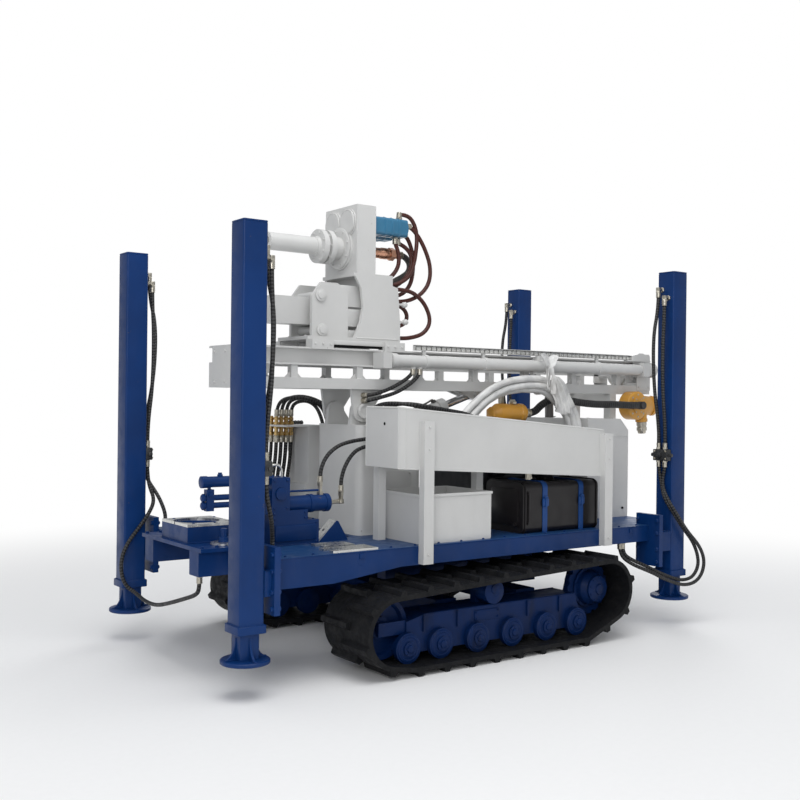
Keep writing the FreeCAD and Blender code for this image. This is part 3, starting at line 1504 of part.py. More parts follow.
def leg_loops(end, side, x, y, sign):
    """Lower hose routes of one leg, each from the lock valve to the chassis."""
    low_z = leg_valve_top_z - leg_valve_height
    valve_x = x + sign * (leg_side + leg_valve_depth) / 2
    outward = 1 if y > 0 else -1
    starts = [(valve_x, y + outward * leg_port_step * (index - 0.5), low_z) for index in (0, 1)]
    if end == "rear":
        routes = []
        for index, start in enumerate(starts):
            route = [start, (start[0], start[1], low_z - leg_valve_depth)]
            for step, shift in zip(loop_steps, loop_shift):
                along, out, level = (step[axis] + index * shift[axis] for axis in range(3))
                route.append((x + sign * along, y + outward * out, level))
            routes.append(route)
        return routes
    if side == "right":
        drops = (front_loop, front_right_drop)
    else:
        drops = front_left_drops
    depth = leg_valve_depth
    return [[start, (start[0], start[1], low_z - depth)] + list(drop) for start, drop in zip(starts, drops)]


def build_leg_hoses():
    """Hoses of each leg, with their elbows and the lock valve on its inner face."""
    hoses = []
    fittings = []
    for end, side, x, y in leg_places():
        sign = -1 if end == "front" else 1
        face_x = x + sign * leg_side / 2
        valve_x = (face_x, face_x + sign * leg_valve_depth)
        valve_z = (leg_valve_top_z - leg_valve_height, leg_valve_top_z)
        fittings.append(box(valve_x, (y - leg_valve_half_width, y + leg_valve_half_width), valve_z))
        for index, top_z in enumerate(leg_ports_z):
            place_y = y + leg_port_step * (index - 0.5)
            reach = elbow_reach
            out_x = face_x + sign * reach
            port = Vector(face_x, place_y, top_z)
            fittings.append(rod(port, port + Vector(sign * (reach + elbow_radius), 0, 0), elbow_radius))
            bulge = 48 - 36 * index
            drop = top_z - leg_valve_top_z
            end_x = face_x + sign * leg_valve_depth / 2
            points = (
                (out_x, place_y, top_z - elbow_radius),
                (out_x, place_y, top_z - 0.12 * drop),
                (out_x + sign * bulge, place_y, top_z - 0.3 * drop),
                (out_x + sign * bulge * 0.7, place_y, top_z - 0.62 * drop),
                (end_x, place_y, top_z - 0.86 * drop),
                (end_x, place_y, leg_valve_top_z),
            )
            hoses.append(hose(points, leg_hose_radius))
        for route in leg_loops(end, side, x, y, sign):
            hoses.append(hose(route, leg_hose_radius))
    return hoses, fittings


def build_bank():
    """Brass fittings through the console's shelf, with the hoses above and below it."""
    hoses = [hose(route, bank_hose_radius) for route in bank_hose_routes]
    top = console_shelf_z + console_shelf_thick
    fittings = []
    for x in bank_columns_x:
        for y in bank_rows_y:
            place = Vector(x, y, 0)
            fittings.append(
                rod(place + Vector(0, 0, top), place + Vector(0, 0, top + bank_fitting_rise), bank_fitting_radius)
            )
            low_z = console_shelf_z - bank_fitting_drop
            fittings.append(rod(place + Vector(0, 0, low_z), place + Vector(0, 0, console_shelf_z), bank_fitting_radius))
            out, along, rise = bank_drop_bend
            route = (
                (x, y, low_z),
                (x, y, low_z - 120),
                (x + out, y + along, deck_top_z + rise),
                (x + out / 2, y + along, deck_top_z + rise / 2),
                (x + out / 2, y + along, deck_top_z),
            )
            hoses.append(hose(route, bank_hose_radius))
    return hoses, fittings


def clamp_ports():
    """Pipe above the clamp cylinder and the two ports that its hoses end in."""
    y = clamp_side_y
    top = clamp_cylinder_z + clamp_cylinder_radius
    port = rod(Vector(clamp_port_x, y, top - 2), Vector(clamp_port_x, y, clamp_port_top_z), clamp_port_radius)
    pipe = rod(
        Vector(clamp_port_x, y, clamp_pipe_z),
        Vector(clamp_blocks[2][0], y, clamp_pipe_z),
        clamp_pipe_radius,
    )
    level = clamp_cylinder_z
    radius = clamp_end_port_radius
    nipple = rod(Vector(clamp_end_port_x, y, level), Vector(clamp_cylinder_rear_x, y, level), radius)
    rise = rod(
        Vector(clamp_end_port_x, y, level - radius),
        Vector(clamp_end_port_x, y, clamp_end_port_top_z),
        radius + 1,
    )
    seat = rod(
        Vector(clamp_cylinder_rear_x, y, level),
        Vector(clamp_cylinder_front_x, y, level),
        clamp_cylinder_radius,
    )
    return [joined([port, pipe]).cut(seat), joined([nipple, rise])]


def build_hoses():
    """Hydraulic hoses of the legs, the clamp, the console, the drill head and the mast."""
    hoses, fittings = build_leg_hoses()
    bank_hoses, bank_fittings = build_bank()
    hoses.extend(bank_hoses)
    hoses.extend(hose(route, clamp_hose_radius) for route in clamp_hose_routes)
    save("deck_hoses", hoses)
    save("hose_fittings", fittings + clamp_ports())
    save("shelf_fittings", bank_fittings)
    save("head_hoses", [hose(route, head_hose_radius) for route in head_hose_routes])
    save("swivel", [build_swivel(), hose(elbow_route, elbow_hose_radius)])
    mast_hoses = [hose(route, mast_hose_radius) for route in mast_hose_routes]
    x, y, z = air_hose_route[0]
    elbow = rod(Vector(x, drum_y[1], z), Vector(x, air_elbow_y, z), air_elbow_radius)
    save("mast_hoses", mast_hoses + [joined([hose(air_hose_route, air_hose_radius), elbow])])


def build_coil():
    """Wrapped hose coil tied to the feed cylinder, one closed loop."""
    curve = Part.BSplineCurve()
    curve.interpolate([Vector(x, coil_y, z) for x, z in coil_route], PeriodicFlag=True)
    edge = curve.toShape()
    start = edge.valueAt(edge.FirstParameter)
    ring = Part.Wire(Part.makeCircle(coil_hose_radius, start, edge.tangentAt(edge.FirstParameter)))
    coil = Part.Wire(edge).makePipeShell([ring], True, False)
    tie_x = coil_route[-1][0]
    span = (tie_x - coil_tie_width / 2, tie_x + coil_tie_width / 2)
    inside_y = (feed_y - feed_radius - tie_gap, coil_y + coil_hose_radius - 1)
    inside_z = (coil_tie_low_z, feed_z + feed_radius + tie_gap)
    thick = coil_tie_thick
    outer_y = (inside_y[0] - thick, inside_y[1] + thick)
    outer_z = (inside_z[0] - thick, inside_z[1] + thick)
    tie = box(span, outer_y, outer_z).cut(box(span, inside_y, inside_z))
    save("hose_coil", [joined([coil, tie])])


def build_lubricators():
    """Drum at the mast's rear end with its spout, and the small lubricator ahead of it."""
    x, z = drum_centre
    back_y, front_y = drum_y
    middle_y = (back_y + front_y) / 2
    drum = rod(Vector(x, back_y, z), Vector(x, front_y, z), drum_radius)
    tail = rod(Vector(x, middle_y, z), Vector(drum_tail_x, middle_y, z), drum_tail_radius)
    tail = tail.common(box((drum_tail_x - 1, x), (back_y + 4, front_y - 4), (z - drum_radius, z + drum_radius)))
    lean = Vector(spout_x - 12, middle_y, spout_low_z)
    spout = rod(Vector(spout_x, middle_y, z - 20), lean, spout_radius)
    neck = box((x - 60, x), (back_y - 48, back_y + 10), (z + 20, mast_low_z))
    large = joined([drum, tail, spout, neck])

    y = lubricator_y
    rear_x, front_x = lubricator_x
    radius = lubricator_radius
    bevel = lubricator_bevel
    profile = (
        (rear_x, 0),
        (rear_x, radius - bevel),
        (rear_x + bevel, radius),
        (front_x - 2 * bevel, radius),
        (front_x, radius - bevel),
        (front_x, 0),
    )
    points = [Vector(px, y, lubricator_z + r) for px, r in profile]
    body = Part.Face(Part.makePolygon(points + points[:1])).revolve(Vector(0, y, lubricator_z), Vector(1, 0, 0), 360)
    plug_z = lubricator_z + radius
    plug = rod(Vector(lubricator_plug_x, y, plug_z - 10), Vector(lubricator_plug_x, y, plug_z + 16), 20)
    arm = box(lubricator_arm_x, lubricator_arm_y, (lubricator_z, mast_low_z))
    save("lubricators", [large, joined([body, plug, arm])])


build_legs()
build_feet()
build_deck()
build_leg_flanges()
build_tracks()
build_wheels()
build_track_frames()
build_undercarriage()
build_stand()
build_lift_cylinder()
build_mast()
build_feed()
build_carriage()
build_head()
build_clamp()
build_tray()
build_boxes()
build_console()
build_hoses()
build_coil()
build_lubricators()
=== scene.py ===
"""Looks of the tracked water well drilling rig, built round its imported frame."""

import json
import logging
import math
from collections.abc import Sequence
from dataclasses import dataclass, field
from enum import Enum
from itertools import product

import bmesh
import bpy
import numpy as np
from mathutils import Matrix, Vector


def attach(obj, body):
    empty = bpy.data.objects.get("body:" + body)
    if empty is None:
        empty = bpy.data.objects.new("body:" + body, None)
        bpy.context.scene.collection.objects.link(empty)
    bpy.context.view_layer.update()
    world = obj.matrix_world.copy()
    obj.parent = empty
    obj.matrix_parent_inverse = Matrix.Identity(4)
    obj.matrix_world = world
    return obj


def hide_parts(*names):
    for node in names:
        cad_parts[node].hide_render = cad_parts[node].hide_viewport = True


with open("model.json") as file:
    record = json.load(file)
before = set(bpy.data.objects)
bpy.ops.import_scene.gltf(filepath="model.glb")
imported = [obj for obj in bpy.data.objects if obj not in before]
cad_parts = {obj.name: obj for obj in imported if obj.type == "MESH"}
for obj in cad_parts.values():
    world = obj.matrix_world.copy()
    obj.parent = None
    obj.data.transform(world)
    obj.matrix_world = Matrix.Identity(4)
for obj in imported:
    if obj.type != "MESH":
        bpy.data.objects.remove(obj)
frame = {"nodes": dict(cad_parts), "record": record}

logging.basicConfig(level=logging.INFO, format="%(message)s")
log = logging.getLogger("rig")

Colour = tuple[float, float, float]
Point = tuple[float, float, float]
Profile = Sequence[tuple[float, float]]
Route = Sequence[Point]
Socket = bpy.types.NodeSocket

MM = 0.001
WHITE = (1.0, 1.0, 1.0, 1.0)
AHEAD, BACK = (1, 0, 0), (-1, 0, 0)
LEFT, RIGHT = (0, 1, 0), (0, -1, 0)
UP, DOWN = (0, 0, 1), (0, 0, -1)
SIDES = (1, -1)
MIRROR = (1, -1, 1)

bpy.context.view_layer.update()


class Axis(Enum):
    """Direction that a piece is carried along."""

    X = 0
    Y = 1
    Z = 2


# Node graphs

class Graph:
    """Node graph of a material or of the world, written as short calls."""

    def __init__(self, name: str, world: bpy.types.World | None = None) -> None:
        """Start an empty graph.

        Args:
            name: the name of the material that it makes.
            world: the world that it is for, where it makes no material.
        """
        self.owner = world or bpy.data.materials.new(name)
        self.owner.use_nodes = True
        self.tree = self.owner.node_tree
        self.tree.nodes.clear()

    def add(self, kind: str, inputs: dict, **settings: str) -> bpy.types.Node:
        """Add a node.

        Args:
            kind: its type, without the word ShaderNode.
            inputs: what goes into its inputs, by name or number: a socket to join or a value.
            settings: its own options.

        Returns:
            The node.
        """
        node = self.tree.nodes.new("ShaderNode" + kind)
        for name, value in settings.items():
            setattr(node, name, value)
        for name, value in inputs.items():
            if isinstance(value, Socket):
                self.tree.links.new(value, node.inputs[name])
            else:
                node.inputs[name].default_value = value
        return node

    def spot(self) -> Socket:
        """Object coordinates of the surface."""
        return self.add("TexCoord", {}).outputs["Object"]

    def height(self) -> Socket:
        """Height of the surface above the ground at rest."""
        return self.add("SeparateXYZ", {0: self.spot()}).outputs["Z"]

    def noise(self, scale: float, detail: float = 3.0, rough: float = 0.55,
              stretch: Point = (1, 1, 1)) -> Socket:
        """Cloudy pattern between 0 and 1.

        Args:
            scale: how many clouds to a metre.
            detail: how many finer layers.
            rough: how strong the finer layers are.
            stretch: the scale on each axis.

        Returns:
            The pattern's value.
        """
        place = self.add("Mapping", {"Vector": self.spot(), "Scale": stretch}).outputs[0]
        inputs = {"Vector": place, "Scale": scale, "Detail": detail, "Roughness": rough}
        return self.add("TexNoise", inputs).outputs["Fac"]

    def threads(self, scale: float) -> Socket:
        """Even level bands between 0 and 1, as close as the scale says."""
        inputs = {"Vector": self.spot(), "Scale": scale}
        return self.add("TexWave", inputs, bands_direction="Z").outputs["Fac"]

    def rings(self, count: float) -> Socket:
        """Rings along a hose, so many to a metre: the sine of its length, brought between 0 and 1."""
        along = self.add("Attribute", {}, attribute_name="along").outputs["Fac"]
        return self.band(self.maths("SINE", self.times(along, count * 2 * math.pi)), -1.0, 1.0)

    def band(self, value: Socket, low: float, high: float, to_low: float = 0.0,
             to_high: float = 1.0) -> Socket:
        """A value stretched smoothly from the span low to high onto the span to_low to to_high."""
        inputs = {"Value": value, "From Min": low, "From Max": high, "To Min": to_low, "To Max": to_high}
        return self.add("MapRange", inputs, interpolation_type="SMOOTHSTEP").outputs["Result"]

    def maths(self, operation: str, *values: Socket | float) -> Socket:
        """Result of one operation on its values."""
        return self.add("Math", dict(enumerate(values)), operation=operation).outputs[0]

    def times(self, first: Socket, second: Socket | float) -> Socket:
        """Product of a value and another value or number."""
        return self.maths("MULTIPLY", first, second)

    def mixed(self, share: Socket, first: Socket | Colour, second: Socket | Colour) -> Socket:
        """Colour between two colours or sockets, the first at share 0 and the second at share 1."""
        ends = [(*end, 1.0) if isinstance(end, tuple) else end for end in (first, second)]
        return self.add("Mix", {"Factor": share, 6: ends[0], 7: ends[1]}, data_type="RGBA").outputs[2]

    def bump(self, height: Socket, depth: float, before: Socket | None = None) -> Socket:
        """Normal raised by a pattern, so many metres deep, and laid over another one if it is given."""
        under = {} if before is None else {"Normal": before}
        return self.add("Bump", {"Strength": 1.0, "Distance": depth, "Height": height, **under}).outputs[0]

    def shader(self, colour: Socket, rough: Socket, normal: Socket, metallic: float = 0.0,
               coat: float = 0.0, gloss: float = 0.5) -> Socket:
        """Surface shader that the patterns go into.

        Args:
            colour: the surface's colour.
            rough: its roughness.
            normal: its normal.
            metallic: 1 for bare metal.
            coat: how strong the clear coat is.
            gloss: how strongly the surface mirrors, 0.5 for plain enamel.

        Returns:
            The shader.
        """
        inputs = {"Base Color": colour, "Roughness": rough, "Normal": normal, "Metallic": metallic,
                  "Coat Weight": coat, "Coat Roughness": 0.12, "Specular IOR Level": gloss}
        return self.add("BsdfPrincipled", inputs).outputs[0]

    def show(self, shader: Socket) -> bpy.types.Material | bpy.types.World:
        """Send a shader to the output.

        Args:
            shader: the shader.

        Returns:
            The material or world that shows it.
        """
        kind = "World" if isinstance(self.owner, bpy.types.World) else "Material"
        self.add("Output" + kind, {"Surface": shader})
        return self.owner


# Finishes

@dataclass(frozen=True)
class Paint:
    """Sprayed enamel with orange peel, tone drift, settled dust and scuffs.

    Args:
        name: the material's name.
        colour: the paint's colour.
        drift: how much its tone drifts.
        dust: the colour of the dust.
        dusty: how thick the dust lies low on the machine.
        rough: the roughness of clean paint.
        chips: how many scuffs it has.
        bare: the colour that shows through a scuff.
        gloss: how strongly it mirrors.
        coat: how strong its clear coat is.
    """

    name: str
    colour: Colour
    drift: float = 0.12
    dust: Colour = (0.30, 0.27, 0.23)
    dusty: float = 0.3
    rough: float = 0.32
    chips: float = 0.5
    bare: Colour = (0.10, 0.075, 0.06)
    gloss: float = 0.5
    coat: float = 0.25

    def make(self) -> bpy.types.Material:
        """Build the enamel's node graph.

        Returns:
            The material.
        """
        graph = Graph(self.name)
        low = tuple(part * (1 - self.drift) for part in self.colour)
        high = tuple(min(part * (1 + self.drift), 1.0) for part in self.colour)
        tone = graph.mixed(graph.band(graph.noise(2.2, 4), 0.32, 0.68), low, high)
        runs = graph.band(graph.noise(9.0, 5, 0.6, (1, 1, 0.22)), 0.50, 0.78)
        # Dust lies thicker lower down; where the dust colour is near black, as in the darker running-gear
        # blue, this is painted shade, darker towards the bottom.
        low_down = graph.band(graph.height(), 0.15, 1.1, 1.0, 0.12)
        settled = graph.times(graph.times(runs, low_down), self.dusty)
        dusted = graph.mixed(settled, tone, self.dust)
        spots = graph.band(graph.noise(38.0, 4, 0.7), 0.69 - 0.05 * self.chips, 0.72)
        patches = graph.band(graph.noise(5.0, 2), 0.50, 0.66)
        scuffed = graph.mixed(graph.times(graph.times(spots, patches), 0.8), dusted, self.bare)
        rough = graph.band(graph.noise(14.0, 4), 0.3, 0.75, self.rough, self.rough + 0.18)
        peel = graph.bump(graph.noise(420.0, 2), 0.00012)
        wavy = graph.bump(graph.noise(11.0, 2), 0.0009, peel)
        return graph.show(graph.shader(scuffed, rough, wavy, coat=self.coat, gloss=self.gloss))


@dataclass(frozen=True)
class Metal:
    """Bare or plated metal with turning marks and stains.

    Args:
        name: the material's name.
        colour: the metal's colour.
        stain: the colour of its stains.
        stained: how many stains it has.
        rough: its roughness.
        marks: how close its fine marks are.
        metallic: 1 for bare metal.
    """

    name: str
    colour: Colour
    stain: Colour = (0.12, 0.09, 0.07)
    stained: float = 0.4
    rough: float = 0.28
    marks: float = 600.0
    metallic: float = 1.0

    def make(self) -> bpy.types.Material:
        """Build the metal's node graph.

        Returns:
            The material.
        """
        graph = Graph(self.name)
        stain = graph.times(graph.band(graph.noise(24.0, 5, 0.65), 0.52, 0.75), self.stained)
        colour = graph.mixed(stain, self.colour, self.stain)
        rough = graph.band(graph.noise(60.0, 3), 0.3, 0.7, self.rough * 0.8, self.rough * 1.5)
        scratch = graph.bump(graph.noise(self.marks, 2, 0.5, (0.05, 1, 1)), 0.00005)
        dented = graph.bump(graph.noise(45.0, 3), 0.0002, scratch)
        return graph.show(graph.shader(colour, rough, dented, metallic=self.metallic))


@dataclass(frozen=True)
class Rubber:
    """Moulded rubber with grey bloom and caked dust.

    Args:
        name: the material's name.
        colour: the rubber's colour.
        bloom: the colour of its worn places.
        caked: how much of it is dusty.
        rough: its roughness.
        grain: the size of its grain in metres.
        gloss: how strongly it mirrors.
    """

    name: str
    colour: Colour
    bloom: Colour = (0.09, 0.085, 0.08)
    caked: float = 0.6
    rough: float = 0.6
    grain: float = 0.0006
    gloss: float = 0.35

    def make(self) -> bpy.types.Material:
        """Build the rubber's node graph.

        Returns:
            The material.
        """
        graph = Graph(self.name)
        worn = graph.times(graph.band(graph.noise(13.0, 6, 0.65), 0.45, 0.72), self.caked)
        low = graph.mixed(worn, self.colour, self.bloom)
        fine = graph.band(graph.noise(90.0, 4), 0.35, 0.65, 0.0, 0.35)
        colour = graph.mixed(fine, low, tuple(part * 0.6 for part in self.colour))
        rough = graph.band(graph.noise(30.0, 4), 0.3, 0.7, self.rough - 0.12, self.rough + 0.2)
        bump = graph.bump(graph.noise(260.0, 4, 0.6), self.grain, graph.bump(graph.noise(28.0, 4), 0.0012))
        return graph.show(graph.shader(colour, rough, bump, gloss=self.gloss))


@dataclass(frozen=True)
class Sleeve:
    """Hose cover with a spiral wrap, read from the length along the hose.

    Args:
        name: the material's name.
        colour: the cover's colour, taken by the wrap's ridges, lighter than the grooves as a painted
            highlight.
        groove: the colour between the turns, darker as painted shade.
        turns: how many turns of the wrap to a metre.
        depth: the wrap's depth in metres.
        rough: its roughness.
        dust: the colour of the dust on it.
    """

    name: str
    colour: Colour
    groove: Colour
    turns: float = 110.0
    depth: float = 0.0009
    rough: float = 0.42
    dust: Colour = (0.16, 0.14, 0.12)

    def make(self) -> bpy.types.Material:
        """Build the sleeve's node graph.

        Returns:
            The material.
        """
        graph = Graph(self.name)
        turn = graph.rings(self.turns)
        ridge = graph.band(turn, 0.15, 0.75)
        dusty = graph.band(graph.noise(16.0, 4), 0.42, 0.72, 0.0, 0.45)
        # Painted light: the ridges take the lighter colour as a highlight, and the grooves the darker one as
        # shade.
        base = graph.mixed(ridge, self.groove, self.colour)
        colour = graph.mixed(dusty, base, self.dust)
        rough = graph.band(graph.noise(40.0, 3), 0.3, 0.7, self.rough - 0.08, self.rough + 0.18)
        return graph.show(graph.shader(colour, rough, graph.bump(ridge, self.depth)))


@dataclass(frozen=True)
class Film:
    """Woven bag film wrapped round a hose coil, pale and creased, with painted shade in its creases.

    Args:
        name: the material's name.
        colour: the film's colour.
        shade: the colour in its creases, painted shade.
        weave: how many threads to a metre.
    """

    name: str
    colour: Colour
    shade: Colour
    weave: float = 700.0

    def make(self) -> bpy.types.Material:
        """Build the film's node graph.

        Returns:
            The material.
        """
        graph = Graph(self.name)
        crease = graph.band(graph.noise(11.0, 4, 0.55, (1, 2.4, 1)), 0.30, 0.58)
        # Painted shade: the creases take the darker shade colour, on top of their bump.
        colour = graph.mixed(crease, self.shade, self.colour)
        grime = graph.times(graph.band(graph.noise(7.0, 4), 0.5, 0.8), 0.4)
        tone = graph.mixed(grime, colour, (0.32, 0.29, 0.25))
        rough = graph.band(graph.noise(50.0, 3), 0.3, 0.7, 0.34, 0.6)
        threads = graph.bump(graph.threads(self.weave), 0.0001, graph.bump(crease, 0.0012))
        return graph.show(graph.shader(tone, rough, threads))


FINISHES: dict[str, object] = {
    "blue_paint": Paint("blue_enamel", (0.0025, 0.029, 0.130), dusty=0.05, rough=0.34, chips=0.4, gloss=0.2,
                        coat=0.06),
    "deck_paint": Paint("deck_enamel", (0.008, 0.050, 0.16), dusty=0.3, rough=0.42, chips=1.0, gloss=0.3,
                        coat=0.1),
    "light_paint": Paint("pale_grey_enamel", (0.585, 0.585, 0.575), drift=0.04, dust=(0.36, 0.34, 0.31),
                         dusty=0.22, rough=0.36, chips=0.25, bare=(0.22, 0.19, 0.16)),
    "polished_rod": Metal("chromed_rod", (0.72, 0.72, 0.73), stained=0.1, rough=0.1),
    "track_rubber": Rubber("track_rubber", (0.007, 0.0075, 0.009), bloom=(0.022, 0.021, 0.021), caked=0.5,
                           gloss=0.2),
    "tank_paint": Paint("black_tank_enamel", (0.010, 0.0085, 0.0095), dust=(0.06, 0.05, 0.05), dusty=0.2,
                        rough=0.3, chips=0.4, bare=(0.09, 0.08, 0.075), gloss=0.3, coat=0.1),
    "strap_paint": Paint("strap_enamel", (0.006, 0.050, 0.20), dusty=0.2, gloss=0.25, coat=0.1),
    "engine_paint": Paint("cast_engine_enamel", (0.035, 0.037, 0.04), dusty=0.5, rough=0.5),
    "chain_steel": Metal("oiled_chain_steel", (0.48, 0.47, 0.44), stained=0.45, rough=0.36),
    "motor_paint": Paint("motor_enamel", (0.035, 0.165, 0.29), rough=0.3, gloss=0.35),
    "copper_fitting": Metal("copper_plated_fitting", (0.62, 0.33, 0.22), stained=0.5, rough=0.3),
    # Ridge and groove colours are set far apart as painted highlight and shade on the wrap.
    "hose_rubber": Sleeve("guarded_hose_rubber", (0.036, 0.036, 0.038), (0.001, 0.001, 0.001), turns=58.0,
                          depth=0.005, rough=0.5, dust=(0.04, 0.038, 0.036)),
    "red_hose": Rubber("red_brown_hose_rubber", (0.070, 0.018, 0.013), bloom=(0.06, 0.045, 0.04), caked=0.3,
                       rough=0.38, grain=0.0003),
    # The second colour is painted shade in the film's creases.
    "wrapped_hose": Film("wrapping_film", (0.70, 0.70, 0.69), (0.54, 0.54, 0.54)),
    "yellow_paint": Paint("amber_enamel", (0.60, 0.29, 0.035), dusty=0.2, rough=0.34, chips=0.8),
    "fitting_steel": Metal("zinc_plated_fitting", (0.50, 0.47, 0.40), stained=0.5, rough=0.32),
}

EXTRA_FINISHES: dict[str, object] = {
    "zinc_plate": Metal("bright_zinc_plate", (0.66, 0.66, 0.64), stained=0.25, rough=0.3),
    "dark_bolt": Metal("blackened_bolt_steel", (0.16, 0.155, 0.15), stained=0.6, rough=0.38),
    "brass_union": Metal("brass_union", (0.66, 0.46, 0.20), stained=0.5, rough=0.3),
    "dark_casting": Paint("dark_cast_enamel", (0.022, 0.023, 0.025), dusty=0.4, rough=0.4),
    # Near black fill; in slots, holes and gaps it is painted shade.
    "slot_shade_black": Paint("slot_shade", (0.008, 0.008, 0.009), dusty=0.1, rough=0.7, gloss=0.1, coat=0.0),
    # Painted shade: a darker copy of the blue paint for the running gear under the deck; its near black dust
    # makes it darker still towards the bottom.
    "shade_darkened_blue": Paint("shade_darkened_blue_enamel", (0.002, 0.017, 0.082), dust=(0.009, 0.010, 0.016), dusty=0.7,
                         rough=0.4, gloss=0.15, coat=0.03),
    "gauge_face": Paint("gauge_face", (0.62, 0.62, 0.60), drift=0.03, dusty=0.1, rough=0.12, chips=0.0),
    # The second colour is painted shade in the rag's creases.
    "rag_cloth": Film("rag_cloth", (0.68, 0.68, 0.67), (0.50, 0.50, 0.50), weave=420.0),
    "braided_hose": Sleeve("braided_sleeve", (0.05, 0.048, 0.045), (0.012, 0.012, 0.012)),
}

MATERIALS: dict[str, bpy.types.Material] = {
    slot: finish.make() for slot, finish in {**FINISHES, **EXTRA_FINISHES}.items()
}


def linked(name: str, data: bpy.types.ID) -> bpy.types.Object:
    """New object of the scene.

    Args:
        name: its name.
        data: the mesh, lamp or camera that it shows.

    Returns:
        The object.
    """
    thing = bpy.data.objects.new(name, data)
    bpy.context.scene.collection.objects.link(thing)
    return thing


@dataclass
class Studio:
    """Camera at the photograph's angle, pale floor and soft lamps.

    Args:
        lens: focal length in millimetres for a 36 mm sensor.
        eye: where the camera stands.
        yaw: its turn from facing -Y towards -X, in degrees.
        pitch: how far it looks down, in degrees.
        roll: its roll, in degrees.
        floor_reach: half the floor's width.
        fade: where the floor starts to fade to white and where it ends.
        lamps: each lamp's name, place, aim, width in metres and power in watts.
    """

    lens: float = 46.75
    eye: Point = (3.971, 5.156, 1.423)
    yaw: float = 35.806
    pitch: float = 0.018
    roll: float = 0.639
    floor_reach: float = 40.0
    fade: tuple[float, float] = (2.4, 6.5)
    lamps: Sequence[tuple[str, Point, Point, float, float]] = (
        ("lamp_over", (1.5, 2.0, 6.5), (0, 0, 1.0), 5.0, 225),
        ("lamp_camera_side", (6.0, 6.5, 3.6), (0, 0, 1.1), 3.5, 175),
        ("lamp_behind", (-5.5, -4.5, 4.5), (0, 0, 1.2), 3.5, 150),
    )

    def camera(self) -> None:
        """Stand the camera where the photograph was taken."""
        yaw, pitch, roll = (math.radians(angle) for angle in (self.yaw, self.pitch, self.roll))
        look = Vector((-math.sin(yaw) * math.cos(pitch), -math.cos(yaw) * math.cos(pitch), -math.sin(pitch)))
        right = look.cross(Vector(UP)).normalized()
        up = right.cross(look)
        side = right * math.cos(roll) + up * math.sin(roll)
        top = up * math.cos(roll) - right * math.sin(roll)
        data = bpy.data.cameras.new("camera")
        data.lens, data.sensor_width, data.clip_end = self.lens, 36.0, 200.0
        camera = linked("camera", data)
        turn = Matrix((side, top, -look)).transposed()
        camera.matrix_world = Matrix.Translation(Vector(self.eye)) @ turn.to_4x4()
        bpy.context.scene.camera = camera

    def floor(self) -> None:
        """Lay a pale floor that fades to white far from the machine."""
        reach = self.floor_reach
        mesh = bpy.data.meshes.new("floor")
        corners = [(x * reach, y * reach, 0) for x, y in ((-1, -1), (1, -1), (1, 1), (-1, 1))]
        mesh.from_pydata(corners, [], [(0, 1, 2, 3)])
        graph = Graph("pale_floor")
        colour = graph.mixed(graph.noise(30.0, 3), (0.86, 0.86, 0.86), (0.89, 0.89, 0.89))
        rough = graph.band(graph.noise(12.0), 0, 1, 0.75, 0.9)
        pale = graph.shader(colour, rough, graph.bump(graph.noise(300.0, 2), 0.0001))
        glow = graph.add("Emission", {"Color": WHITE}).outputs[0]
        distance = graph.add("VectorMath", {0: graph.spot()}, operation="LENGTH").outputs["Value"]
        rays = graph.add("LightPath", {}).outputs
        seen = graph.maths("MAXIMUM", rays["Is Camera Ray"], rays["Is Glossy Ray"])
        share = graph.times(graph.band(distance, *self.fade), seen)
        mesh.materials.append(graph.show(graph.add("MixShader", {0: share, 1: pale, 2: glow}).outputs[0]))
        linked("floor", mesh)

    def light(self) -> None:
        """Light the machine softly from above, from the camera's side and from behind."""
        for name, place, aim, size, power in self.lamps:
            data = bpy.data.lights.new(name, "AREA")
            data.shape, data.size, data.energy = "SQUARE", size, power
            turn = (Vector(aim) - Vector(place)).to_track_quat("-Z", "Y").to_matrix().to_4x4()
            linked(name, data).matrix_world = Matrix.Translation(Vector(place)) @ turn
        graph = Graph("", bpy.data.worlds.new("soft_world"))
        shown = graph.add("Background", {"Color": WHITE}).outputs[0]
        ambient = graph.add("Background", {"Color": (0.95, 0.97, 1.0, 1.0), "Strength": 0.50}).outputs[0]
        seen = graph.add("LightPath", {}).outputs["Is Camera Ray"]
        light = graph.add("MixShader", {0: seen, 1: ambient, 2: shown}).outputs[0]
        bpy.context.scene.world = graph.show(light)
        bpy.context.scene.view_settings.view_transform = "Standard"

    def build(self) -> None:
        """Make the camera, the floor and the lamps."""
        self.camera()
        self.floor()
        self.light()


# Surfaces

def basis(direction: Point) -> np.ndarray:
    """Three unit columns of which the last lies along a direction.

    Args:
        direction: the direction, of any length.

    Returns:
        The 3 x 3 turn.
    """
    ahead = np.array(direction, float) / np.linalg.norm(direction)
    helper = np.array((0.0, 0.0, 1.0)) if abs(ahead[2]) < 0.9 else np.array((1.0, 0.0, 0.0))
    across = np.cross(helper, ahead)
    across /= np.linalg.norm(across)
    return np.stack((across, np.cross(ahead, across), ahead), axis=1)


def turned(profile: Profile, columns: int = 24) -> np.ndarray:
    """Round piece: each (height, radius) becomes a ring x = r cos a, y = r sin a, z = height.

    Args:
        profile: heights and radii in millimetres, from one end to the other.
        columns: how many points a ring has.

    Returns:
        Rings of points.
    """
    height, radius = np.array(profile, float).T
    angle = np.arange(columns) * (2 * np.pi / columns)
    level = np.repeat(height[:, None], columns, axis=1)
    return np.stack((radius[:, None] * np.cos(angle), radius[:, None] * np.sin(angle), level), axis=-1)


